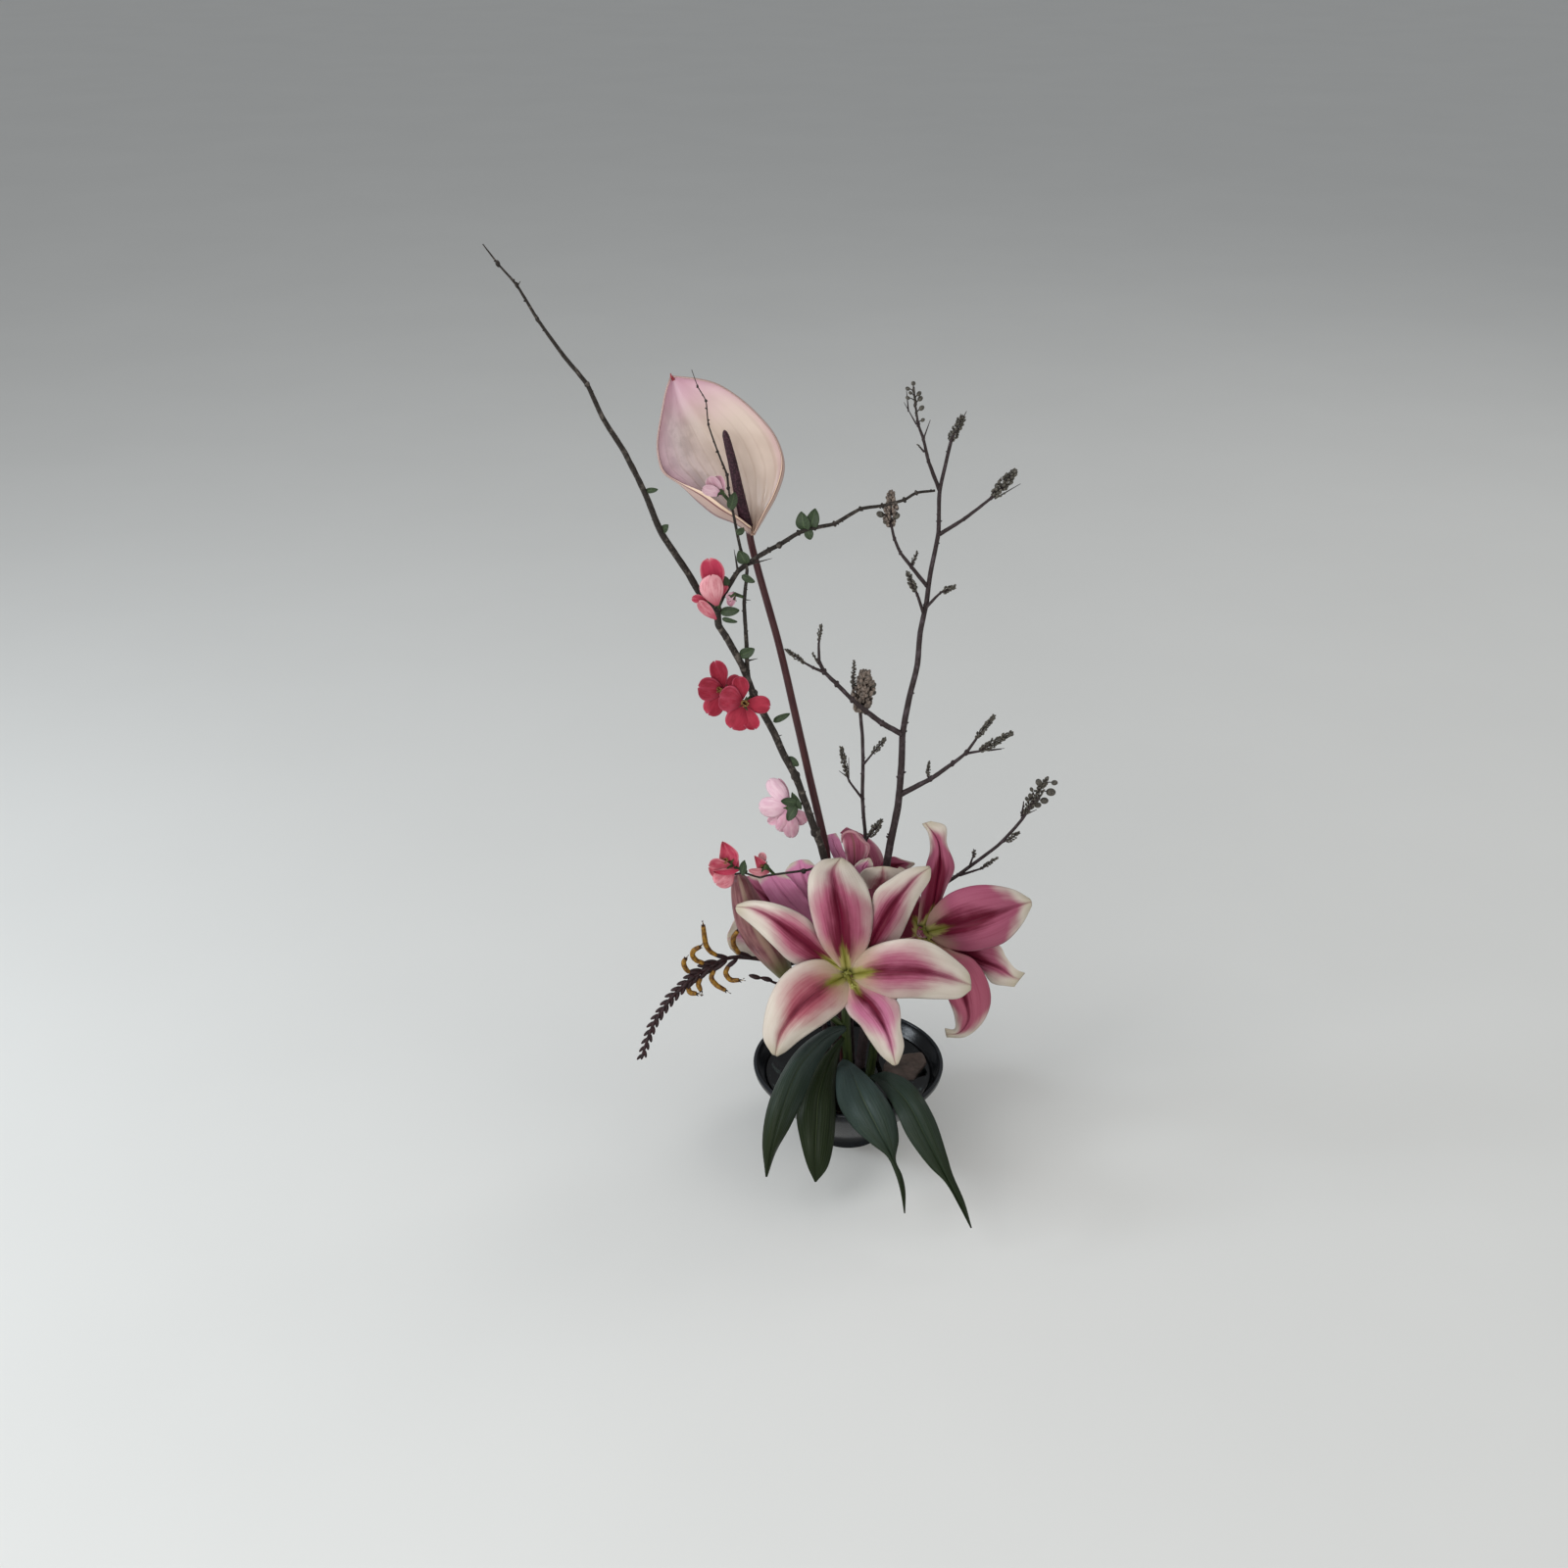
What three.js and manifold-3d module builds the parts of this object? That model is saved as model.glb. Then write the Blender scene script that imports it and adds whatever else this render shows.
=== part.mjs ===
// Ikebana arrangement: a black footed bowl with a pin holder, water and a stone, that holds a flowering
// quince branch, an anthurium, three budded twigs, oriental lilies and a montbretia spike.
// Millimetres, +Z up, the origin at the centre of the foot's underside, the viewer on the -Y side.
import * as THREE from 'three';
import { mergeVertices } from 'three/addons/utils/BufferGeometryUtils.js';
import Module from 'manifold-3d';

const wasm = await Module();
wasm.setup();

// Bowl, water and pin holder
const RIM_RADIUS = 75;
const RIM_HEIGHT = 64;
const FOOT_RADIUS = 30;
const FOOT_HEIGHT = 5;
const FLOOR_RADIUS = 28;
const FLOOR_HEIGHT = 9;
const WALL = 4.2;
const BOWL_SEGMENTS = 28;
const WATER_LEVEL = 54;
const GAP = 0.3;
const WELD_REACH = 1e-3;
const SLIVER = 0.03;
const HOLDER_CENTRE = new THREE.Vector2(4, -2);
const HOLDER_RADIUS = 21;
const HOLDER_BASE = 7;
const PIN_HEIGHT = 11;
const PIN_RADIUS = 0.9;
const PIN_RINGS = [[0, 1], [7, 6], [13, 9], [18, 11]];
const HOLDER_FLOOR = FLOOR_HEIGHT + GAP;
const FOOT_LEVEL = HOLDER_FLOOR + HOLDER_BASE + GAP;

// Where the stems stand on the pin holder
const FEET = {
  quince: [-8, -4],
  anthurium: [-2, 7],
  branch: [6, 5],
  centreTwig: [6, 14],
  rightTwig: [18, 6],
  lilyA: [2, -14],
  lilyB: [14, -6],
  spike: [-12, 5],
};

// Stem radii
const QUINCE_RADIUS = 3.3;
const ANTHURIUM_RADIUS = 3.2;
const BRANCH_RADIUS = 4;
const BRANCH_TIP_RADIUS = 1.1;
const TWIG_RADIUS = 1.7;
const LILY_STEM_RADIUS = 4;
const PEDICEL_RADIUS = 2.6;
const SPIKE_RADIUS = 2;

// Blade thicknesses
const LILY_THICKNESS = 1.2;
const THROAT_DEPTH = 7;
const THROAT_WIDTH = 16;
const LEAF_THICKNESS = 0.9;
const SPATHE_THICKNESS = 1.4;
const QUINCE_PETAL_THICKNESS = 0.8;

// The photograph's view: a 45 mm lens on a 36 mm frame that is 1600 pixels wide
const VIEW_FOCAL = 2000;
const VIEW_MIDDLE = 800;
const VIEW_PITCH = THREE.MathUtils.degToRad(26.5);
const VIEW_PLACE = new THREE.Vector3(-50.76, -1290, 950.5);

// The point at a real depth (its Y) that the photograph shows at a pixel
function seen(px, py, depth) {
  const across = (px - VIEW_MIDDLE) / VIEW_FOCAL;
  const up = (VIEW_MIDDLE - py) / VIEW_FOCAL;
  const ray = new THREE.Vector3(
    across,
    Math.cos(VIEW_PITCH) + up * Math.sin(VIEW_PITCH),
    up * Math.cos(VIEW_PITCH) - Math.sin(VIEW_PITCH),
  );
  return VIEW_PLACE.clone().addScaledVector(ray, (depth - VIEW_PLACE.y) / ray.y);
}

// Pixels as points whose depth runs evenly from the first to the last
function route(pixels, near, far = near) {
  return pixels.map(([px, py], i) => seen(px, py, near + ((far - near) * i) / (pixels.length - 1)));
}

function mm(x, y, z) {
  return new THREE.Vector3(x, y, z);
}

// A repeatable random number source
function seeded(seed) {
  let state = seed;
  return () => {
    state = (state * 1664525 + 1013904223) % 4294967296;
    return state / 4294967296;
  };
}

// A geometry as a solid, turned to face outwards, with corners that lie closer than reach merged
function solid(geometry, reach = 1e-4) {
  const open = geometry.index ? geometry.toNonIndexed() : geometry.clone();
  open.deleteAttribute('normal');
  open.deleteAttribute('uv');
  const merged = mergeVertices(open, reach);
  const corners = Array.from(merged.index.array);
  const kept = [];
  for (let i = 0; i < corners.length; i += 3) {
    const [a, b, c] = corners.slice(i, i + 3);
    if (a !== b && b !== c && c !== a) kept.push(a, b, c);
  }
  const build = (list) => new wasm.Manifold(new wasm.Mesh({
    numProp: 3,
    vertProperties: new Float32Array(merged.attributes.position.array),
    triVerts: new Uint32Array(list),
  }));
  const made = build(kept);
  if (made.volume() > 0) return made;
  const turned = [];
  for (let i = 0; i < kept.length; i += 3) turned.push(kept[i], kept[i + 2], kept[i + 1]);
  return build(turned);
}

function join(solids) {
  return solids.reduce((whole, next) => whole.add(next));
}

// The largest connected body of a cut solid
function largest(cut) {
  return cut.decompose().reduce((best, next) => (next.volume() > best.volume() ? next : best));
}

function material(color, roughness, metalness = 0) {
  return new THREE.MeshStandardMaterial({ color, roughness, metalness });
}

function geometryOf(body) {
  const { vertProperties, triVerts } = body.getMesh();
  const geometry = new THREE.BufferGeometry();
  geometry.setAttribute('position', new THREE.BufferAttribute(new Float32Array(vertProperties), 3));
  geometry.setIndex(Array.from(triVerts));
  return geometry;
}

// A named mesh of one body, without its slivers: they are smoothed away, or pinched off as corners merge
function mesh(name, whole, look) {
  const smooth = largest(whole).asOriginal().simplify(SLIVER);
  const welded = solid(geometryOf(smooth), WELD_REACH);
  const geometry = geometryOf(largest(welded));
  geometry.computeVertexNormals();
  const made = new THREE.Mesh(geometry, look);
  made.name = name;
  return made;
}

// A round stem along points, with its radius as a function of the way along
function limb(points, radiusAt, sides = 5, steps = points.length - 1) {
  const curve = new THREE.CatmullRomCurve3(points, false, 'centripetal');
  const frames = curve.computeFrenetFrames(steps, false);
  const shape = new THREE.CylinderGeometry(1, 1, 1, sides, steps);
  const place = shape.getAttribute('position');
  for (let i = 0; i < place.count; i += 1) {
    const step = Math.round((place.getY(i) + 0.5) * steps);
    const radius = radiusAt(step / steps);
    const point = curve.getPointAt(step / steps);
    point.addScaledVector(frames.normals[step], place.getX(i) * radius);
    point.addScaledVector(frames.binormals[step], -place.getZ(i) * radius);
    place.setXYZ(i, point.x, point.y, point.z);
  }
  return solid(shape);
}

function taper(from, to, grow = 0) {
  return (t) => from + (to - from) * t + grow;
}

// A ball stretched along an axis: for buds, berries, small leaves and calyces
function pod(centre, axis, length, width, thick = width, sides = 5, bands = 3) {
  const shape = new THREE.SphereGeometry(1, sides, bands);
  const turn = new THREE.Quaternion().setFromUnitVectors(mm(0, 1, 0), axis.clone().normalize());
  shape.scale(width / 2, length / 2, thick / 2);
  shape.applyQuaternion(turn);
  shape.translate(centre.x, centre.y, centre.z);
  return solid(shape);
}

// A thin sheet of even thickness over surface(t, u), with t from 0 to 1 along it and u from -1 to 1 across
function sheet(surface, rows, columns, thickness) {
  const shape = new THREE.BoxGeometry(1, 1, 1, columns, 1, rows);
  const place = shape.getAttribute('position');
  const reach = 1e-3;
  for (let i = 0; i < place.count; i += 1) {
    const u = place.getX(i) * 2;
    const t = place.getZ(i) + 0.5;
    const along = surface(Math.min(t + reach, 1), u).sub(surface(Math.max(t - reach, 0), u));
    const across = surface(t, Math.min(u + reach, 1)).sub(surface(t, Math.max(u - reach, -1)));
    const normal = across.cross(along).normalize();
    const point = surface(t, u).addScaledVector(normal, place.getY(i) * thickness);
    place.setXYZ(i, point.x, point.y, point.z);
  }
  return solid(shape);
}

// The curve through pixels, each [px, py] or [px, py, depth]
function pixelCurve(pixels) {
  const points = pixels.map(([px, py, depth = 0]) => mm(px, py, depth));
  return new THREE.CatmullRomCurve3(points, false, 'centripetal');
}

// A petal or leaf from the outline that the photograph shows: its two edges, and its rib with real depths.
// Depths on an edge only pace its points, so that they keep level with the rib's on a blade seen end-on.
// The edges lie back from the rib by back[0] and back[1], and each half bellies towards the viewer.
function outlineSurface({ left, rib, right, back = [0, 0], belly = 0 }) {
  const leftCurve = pixelCurve(left);
  const ribCurve = pixelCurve(rib);
  const rightCurve = pixelCurve(right);
  return (t, u) => {
    const a = leftCurve.getPointAt(t);
    const b = ribCurve.getPointAt(t);
    const c = rightCurve.getPointAt(t);
    const toLeft = (u * u - u) / 2;
    const toRight = (u * u + u) / 2;
    const middle = 1 - u * u;
    const swell = Math.sqrt(Math.max(Math.sin(Math.PI * t), 0));
    const edge = (u < 0 ? back[0] : back[1]) * u * u * swell;
    const lift = belly * 4 * Math.abs(u) * (1 - Math.abs(u)) * swell;
    return seen(
      a.x * toLeft + b.x * middle + c.x * toRight,
      a.y * toLeft + b.y * middle + c.y * toRight,
      b.z + edge - lift,
    );
  };
}

// The side and top directions of a bloom that faces a direction
function bloomAxes({ facing, up = mm(0, 0, 1) }) {
  const forward = facing.clone().normalize();
  const side = new THREE.Vector3().crossVectors(up, forward).normalize();
  const top = new THREE.Vector3().crossVectors(forward, side);
  return { forward, side, top };
}

// How far out and ahead a petal has come at t: it leaves the axis at the angle open[0] and ends at open[1]
function petalBend(t, length, open) {
  const start = THREE.MathUtils.degToRad(open[0]);
  const bend = THREE.MathUtils.degToRad(open[1] - open[0]);
  const lean = start + bend * t;
  return {
    lean,
    out: (length * (Math.cos(start) - Math.cos(lean))) / bend,
    ahead: (length * (Math.sin(lean) - Math.sin(start))) / bend,
  };
}

// A five-lobed corolla of round petals, joined at their claws
function corolla(frame, { length, open, turn }) {
  const { forward, side, top } = bloomAxes(frame);
  const rows = length > 12 ? [0, 0.3, 0.68, 1] : [0, 0.5, 1];
  const profile = [...rows.map((r) => [r, -0.5]), ...rows.slice().reverse().map((r) => [r, 0.5])];
  const shape = new THREE.LatheGeometry(profile.map(([r, y]) => new THREE.Vector2(r, y)), 20);
  const place = shape.getAttribute('position');
  for (let i = 0; i < place.count; i += 1) {
    const t = Math.hypot(place.getX(i), place.getZ(i));
    const round = Math.atan2(place.getZ(i), place.getX(i));
    const lobe = 1 - 0.36 * (1 - Math.abs(Math.cos(2.5 * round))) ** 1.4;
    const { lean, out, ahead } = petalBend(t * lobe, length, open);
    const angle = round + THREE.MathUtils.degToRad(turn);
    const radial = side.clone().multiplyScalar(Math.cos(angle)).addScaledVector(top, Math.sin(angle));
    const behind = forward.clone().negate();
    if (t > 0.01) behind.multiplyScalar(Math.sin(lean)).addScaledVector(radial, Math.cos(lean));
    const dip = 0.1 * length * t * (1 - lobe);
    const point = frame.centre.clone().addScaledVector(radial, out).addScaledVector(forward, ahead - dip);
    point.addScaledVector(behind, -place.getY(i) * QUINCE_PETAL_THICKNESS);
    place.setXYZ(i, point.x, point.y, point.z);
  }
  return solid(shape);
}

// Bowl, water, pin holder and stone

function turned(profile, segments = BOWL_SEGMENTS) {
  const shape = new THREE.LatheGeometry(profile.map(([r, z]) => new THREE.Vector2(r, z)), segments);
  shape.rotateX(Math.PI / 2);
  return solid(shape);
}

// The radius of the inner wall at a height, with a slightly swelling side
function innerRadius(z) {
  const rise = (z - FLOOR_HEIGHT) / (RIM_HEIGHT - FLOOR_HEIGHT);
  const swollen = 0.75 * rise + 0.25 * Math.sin((rise * Math.PI) / 2);
  return FLOOR_RADIUS + (RIM_RADIUS - WALL * 0.6 - FLOOR_RADIUS) * swollen;
}

function bowl() {
  const heights = [18, 32, 47, 60];
  const outside = heights.map((z) => [innerRadius(z) + WALL, z - 1.5]);
  const inside = heights.slice().reverse().map((z) => [innerRadius(z), z]);
  return turned([
    [0, 0],
    [FOOT_RADIUS, 0],
    [FOOT_RADIUS + 0.4, FOOT_HEIGHT],
    ...outside,
    [RIM_RADIUS, RIM_HEIGHT - 1],
    [RIM_RADIUS - 1, RIM_HEIGHT],
    [RIM_RADIUS - 2.4, RIM_HEIGHT - 0.8],
    ...inside,
    [FLOOR_RADIUS, FLOOR_HEIGHT],
    [0, FLOOR_HEIGHT],
  ]);
}

function pins() {
  const made = [];
  PIN_RINGS.forEach(([radius, count]) => {
    for (let i = 0; i < count; i += 1) {
      const turn = (2 * Math.PI * i) / count;
      const pin = new THREE.ConeGeometry(PIN_RADIUS, PIN_HEIGHT + 1, 3);
      pin.rotateX(Math.PI / 2);
      pin.translate(
        HOLDER_CENTRE.x + radius * Math.cos(turn),
        HOLDER_CENTRE.y + radius * Math.sin(turn),
        HOLDER_FLOOR + HOLDER_BASE - 1 + (PIN_HEIGHT + 1) / 2,
      );
      made.push(solid(pin));
    }
  });
  return made;
}

function holderDrum(radius, bottom, top) {
  const drum = new THREE.CylinderGeometry(radius, radius, top - bottom, 24);
  drum.rotateX(Math.PI / 2);
  drum.translate(HOLDER_CENTRE.x, HOLDER_CENTRE.y, (bottom + top) / 2);
  return solid(drum);
}

function pinHolder() {
  return join([holderDrum(HOLDER_RADIUS, HOLDER_FLOOR, HOLDER_FLOOR + HOLDER_BASE), ...pins()]);
}

// The room that the water leaves for the pin holder, open below
function holderPocket() {
  return holderDrum(HOLDER_RADIUS + GAP, HOLDER_FLOOR - 1, HOLDER_FLOOR + HOLDER_BASE + PIN_HEIGHT + GAP);
}

// The stone is a flat slab that leans on the wall at the right, with its front down in the water
const STONE_OUTLINE = [[-18, -8], [-13, 5], [3, 12], [16, 13], [19, 4], [8, -14], [-9, -17]];
const STONE_THICKNESS = 6;
const STONE_PLACE = mm(43, 0, 57);
const STONE_TILT = THREE.MathUtils.degToRad(20);

function stone(grow = 0) {
  const outline = new THREE.Shape(STONE_OUTLINE.map(([x, y]) => new THREE.Vector2(x, y)));
  const slab = new THREE.ExtrudeGeometry(outline, {
    depth: STONE_THICKNESS - 3,
    bevelEnabled: true,
    bevelThickness: 1.5 + grow,
    bevelSize: 1.2 + grow,
    bevelOffset: -1.2,
    bevelSegments: 1,
  });
  slab.translate(0, 0, -STONE_THICKNESS / 2 - 1);
  slab.rotateX(STONE_TILT);
  slab.translate(STONE_PLACE.x, STONE_PLACE.y, STONE_PLACE.z);
  return solid(slab);
}

function clearOf(body, cuts) {
  return cuts.reduce((left, cut) => left.subtract(cut), body);
}

function water(cuts) {
  const heights = [22, 40, WATER_LEVEL];
  const body = turned([
    [0, FLOOR_HEIGHT + GAP],
    [FLOOR_RADIUS - GAP, FLOOR_HEIGHT + GAP],
    ...heights.map((z) => [innerRadius(z) - 0.5, z]),
    [0, WATER_LEVEL],
  ]);
  return clearOf(body, cuts);
}

// Quince branch

const QUINCE_TRUNK = [
  [842, 880], [838.6, 866], [832.3, 849], [822, 820], [811.7, 791.5], [800, 770.5], [790, 748],
  [780.4, 730.4], [768.8, 708], [757, 678.6], [741, 650], [733.3, 638], [732, 621.7],
];
const QUINCE_LEADER = [
  [732, 624], [716.7, 609], [700.5, 582.4], [684.2, 558.4], [673.7, 541.6], [657.9, 502.6],
  [637.9, 462.6],
  [614.7, 425.8], [599, 392], [574.7, 362.6], [548.4, 325.8], [527.4, 291], [508, 269], [492.6, 249],
];
const QUINCE_SIDE = [
  [732, 620], [739, 605.5], [753, 583], [763.7, 574.6], [784.7, 561.3], [795.3, 556], [814.7, 543.7],
  [831, 538.6], [851.4, 534.5], [878, 519.2], [900.4, 516], [922.9, 510], [935, 502.9], [954, 500.6],
];
const QUINCE_TWIG = [
  [763.9, 694], [762.3, 677.8], [761.8, 657.3], [759.3, 616.5], [760.3, 603.3], [762.3, 580.8],
  [755.4, 559],
  [749.4, 530], [743.3, 498.4], [742, 485], [732.4, 460.9], [722.7, 433], [720.3, 408.8], [711.8, 394.2],
  [705.8, 377.3],
];
const QUINCE_LOW_TWIG = [
  [843, 882], [824.4, 887.7], [799.5, 891], [782.3, 893.5], [775.6, 895.4], [758.4, 890.6], [744, 893],
  [733, 891],
];
const QUINCE_DEPTH = { foot: -8, fork: -12, tip: -18, sideTip: 22, twigTip: -6, lowTip: -14 };

// Thorns and stubs: from, to, radius and depth
const QUINCE_THORNS = [
  [[764.5, 576], [788, 569.7], 0.9, -9],
  [[752.8, 582], [749, 560.6], 0.9, -10],
  [[764, 674], [773, 672], 0.7, -10],
  [[759.5, 612], [766, 612.4], 0.6, -9],
  [[791, 752], [798, 750], 0.8, -8],
  [[599.5, 393], [596, 386], 0.8, -16],
  [[527.8, 292], [531, 287], 0.6, -17],
  [[832, 849], [838, 843], 1, -8],
];

// Small leaves: root, tip, width in millimetres and depth
const QUINCE_LEAVES = [
  [[658.5, 501], [671, 499.5], 4, -14],
  [[675, 543], [681, 536], 5.5, -13],
  [[823, 541], [817, 525], 7.5, 6],
  [[827, 540], [832, 521], 7, 7],
  [[824, 540], [828, 551], 5.5, 5],
  [[761, 576], [754, 562], 6, -10],
  [[762, 583], [771, 592], 5, -9],
  [[745, 597], [740, 588], 4.5, -9],
  [[735, 622], [754, 624.5], 6.5, -13],
  [[738, 632], [752, 634.5], 4.5, -13],
  [[756, 668], [769, 661], 7, -11],
  [[789, 740], [805, 729], 5, -8],
  [[801, 772], [815, 780], 6, -8],
  [[745, 520], [750, 502], 7, -9],
  [[752, 545], [759, 538], 5.5, -9],
  [[757, 893], [760, 878], 6, -15],
  [[817, 826], [808, 812], 6, -9],
];

const QUINCE_KNOTS = [
  [[732, 622], 6.5, -12], [[795.3, 556], 5, -4], [[768.8, 708], 7, -9], [[811.7, 791.5], 7.5, -8],
  [[599, 392], 4, -16], [[832.3, 849], 8.4, -8], [[820, 889], 4.4, -10],
];

function knot(pixel, size, depth) {
  return pod(seen(...pixel, depth), mm(0.3, 0.2, 1), size, size * 0.95, size, 5, 2);
}

function smallLeaf(root, tip, width, depth) {
  const from = seen(...root, depth);
  const to = seen(...tip, depth - 3);
  const middle = from.clone().lerp(to, 0.5);
  const length = from.distanceTo(to) + 1.5;
  return pod(middle, to.clone().sub(from), length, width, 1.8, 4, 2);
}

function quinceTwigs(grow) {
  const [x, y] = FEET.quince;
  const hidden = [mm(x, y, FOOT_LEVEL - grow), mm(-10.5, -5.5, 80), mm(-13, -7, 150), mm(-16.5, -8, 205)];
  const { foot, fork, tip, sideTip, twigTip, lowTip } = QUINCE_DEPTH;
  return [
    limb([...hidden, ...route(QUINCE_TRUNK, foot, fork)], taper(QUINCE_RADIUS, 2.4, grow), 6),
    limb(route(QUINCE_LEADER, fork, tip), (t) => 2.3 * (1 - t) ** 0.7 + 0.35 + grow, 5),
    limb(route(QUINCE_SIDE, fork, sideTip), taper(2, 0.9, grow), 5),
    limb(route(QUINCE_TWIG, fork + 2, twigTip), taper(1.6, 0.5, grow), 4),
    limb(route(QUINCE_LOW_TWIG, foot, lowTip), taper(1.5, 1, grow), 4),
  ];
}

function quinceBranch(grow = 0) {
  const thorns = QUINCE_THORNS.map(([from, to, radius, depth]) => {
    const points = [seen(...from, depth), seen(...to, depth - 2)];
    return limb(points, taper(radius, 0.25, grow), 3, 1);
  });
  const knots = QUINCE_KNOTS.map(([pixel, size, depth]) => knot(pixel, size + 2 * grow, depth));
  return join([...quinceTwigs(grow), ...thorns, ...knots]);
}

function quinceWithLeaves() {
  const leaves = QUINCE_LEAVES.map(([root, tip, width, depth]) => smallLeaf(root, tip, width, depth));
  return join([quinceBranch(), ...leaves]);
}

// Quince blooms: centre, facing, petal length, opening angles, how far the petals turn about the axis,
// and the point of the wood that the calyx sits on
const QUINCE_BLOOMS = {
  quince_bloom_coral_high: {
    centre: [733, 601, -20], facing: [-0.8, -0.45, 0.35], petal: 24, open: [30, 80], turn: 90,
    seat: [733.5, 615, -12],
  },
  quince_bloom_red_front: {
    centre: [760, 717.5, -20], facing: [0.1, -0.9, 0.45], petal: 22, open: [45, 88], turn: 100,
    seat: [768, 709, -9],
  },
  quince_bloom_red_back: {
    centre: [739, 703, 2], facing: [-0.5, -0.7, 0.4], petal: 23, open: [38, 84], turn: 60,
    seat: [764, 700, -8],
  },
  quince_bloom_pink_low: {
    centre: [804, 834, 2], facing: [-0.45, 0.8, -0.2], petal: 25, open: [32, 80], turn: 80,
    seat: [818, 820, -8],
  },
  quince_bloom_coral_left: {
    centre: [744, 888, -16], facing: [-0.5, -0.45, 0.75], petal: 21, open: [18, 52], turn: 90,
    seat: [746, 893, -14],
  },
  quince_bud_coral: {
    centre: [779, 886, -18], facing: [-0.7, -0.3, 0.45], petal: 11, open: [5, 40], turn: 20,
    seat: [786, 893, -12],
  },
  quince_bud_pink_high: {
    centre: [731, 500, -18], facing: [-0.5, -0.5, 0.6], petal: 11, open: [15, 55], turn: 40,
    seat: [743.5, 501, -8],
  },
  quince_bud_pink_small: {
    centre: [749, 611, -13], facing: [-0.8, -0.2, 0.35], petal: 9, open: [5, 45], turn: 10,
    seat: [759.6, 612, -9],
  },
};

function quinceBloom({ centre, facing, petal, open, turn, seat }) {
  const heart = seen(...centre);
  const root = seen(...seat);
  const forward = mm(...facing).normalize();
  const crown = corolla({ centre: heart, facing: forward }, { length: petal, open, turn });
  const calyxEnd = heart.clone().addScaledVector(forward, -3.5);
  const cup = limb([calyxEnd, heart.clone().addScaledVector(forward, 0.6)], taper(1.6, 2.6), 5, 1);
  const stalk = limb([root, calyxEnd.clone().addScaledVector(forward, 1)], taper(1.2, 1.4), 3, 1);
  const stamens = pod(heart.clone().addScaledVector(forward, petal * 0.2), forward, petal * 0.5, 3, 3, 4, 2);
  return join([crown, cup, stalk, stamens]);
}

// Anthurium

const ANTHURIUM_STEM = [
  [843, 868], [840.4, 854.6], [835.8, 834.5], [827, 797], [811, 727], [795, 658.5], [772, 576],
  [765.5, 549], [764.5, 541],
];
const SPATHE = {
  left: [
    [766, 546], [751, 535], [730, 526.4], [712.7, 513], [693.6, 494.9], [676.3, 482.4], [671.6, 469],
    [670.2, 451.8], [674.4, 423], [679.2, 398.3], [684.3, 384],
  ],
  rib: [
    [768, 546, 17], [750, 508, 30], [732, 470, 42], [710, 430, 52], [692, 397, 58], [685.2, 382.6, 60],
  ],
  right: [
    [770, 546], [781.6, 526.4], [793, 505.4], [800.3, 482.4], [799.7, 467], [791, 444], [773.9, 423],
    [754.8, 405.9], [731.8, 391.6], [712.7, 386.4], [686, 383.6],
  ],
  back: [-16, -12],
};
const SPADIX = [[764.3, 540, 16], [756, 508, 11], [747, 470, 14], [740.5, 440, 18]];

function anthuriumStem(grow = 0) {
  const [x, y] = FEET.anthurium;
  const hidden = [mm(x, y, FOOT_LEVEL - grow), mm(-6, 9, 80), mm(-12, 10, 160)];
  const points = [...hidden, ...route(ANTHURIUM_STEM, 10, 20)];
  return limb(points, taper(ANTHURIUM_RADIUS + grow, 2 + grow), 6);
}

function spadix(grow = 0) {
  const points = SPADIX.map((place) => seen(...place));
  return limb(points, (t) => 4.6 * (1 - t) ** 0.5 * 0.62 + 2 + grow, 7, 7);
}

// Budded branch and twigs

const BRANCH = [
  [905, 880], [908.8, 859], [916, 824], [920, 779.5], [920.8, 750.8], [927, 715.7], [936, 678.4],
  [939, 645.7],
  [945.3, 615], [949.4, 584.5], [957.6, 543.7], [958.6, 502.9], [964.7, 474.3], [971.8, 445.7],
  [977, 436],
];

// Side twigs of the budded branch: pixels, depths at both ends, radii at both ends
const BRANCH_TWIGS = [
  {
    way: [[958.6, 500], [947.3, 470.2], [942.2, 447.8], [937.1, 433.5], [934, 413], [932.5, 395]],
    depth: [30, 24],
    radius: [1.3, 0.5],
  },
  { way: [[959, 545], [984, 529.4], [1011.6, 508], [1027, 494]], depth: [26, 18], radius: [1.3, 0.7] },
  {
    way: [[945, 597], [930, 578.4], [918.8, 564], [912.7, 549.8], [909, 534]],
    depth: [24, 34],
    radius: [1.3, 0.8],
  },
  { way: [[942, 625], [936, 607], [930, 594.7]], depth: [22, 18], radius: [1.1, 0.7] },
  { way: [[945, 620], [959.6, 605], [967, 601.5]], depth: [22, 18], radius: [1, 0.6] },
  {
    way: [[920, 749], [900, 738], [884, 726], [869.7, 714], [853.8, 698], [841, 685.4], [836, 675]],
    depth: [16, 2],
    radius: [1.9, 1.1],
  },
  { way: [[836, 677], [835.5, 656.7], [837, 648]], depth: [2, 0], radius: [1, 0.6] },
  { way: [[841, 686], [829.9, 681.4], [817, 674.2]], depth: [3, 2], radius: [1, 0.6] },
  {
    way: [[918, 811], [950, 794.5], [972, 779], [986, 768], [996, 754]],
    depth: [14, 4],
    radius: [1.9, 0.8],
  },
  { way: [[985, 769], [1002, 766]], depth: [6, 4], radius: [1, 0.7] },
];

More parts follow.
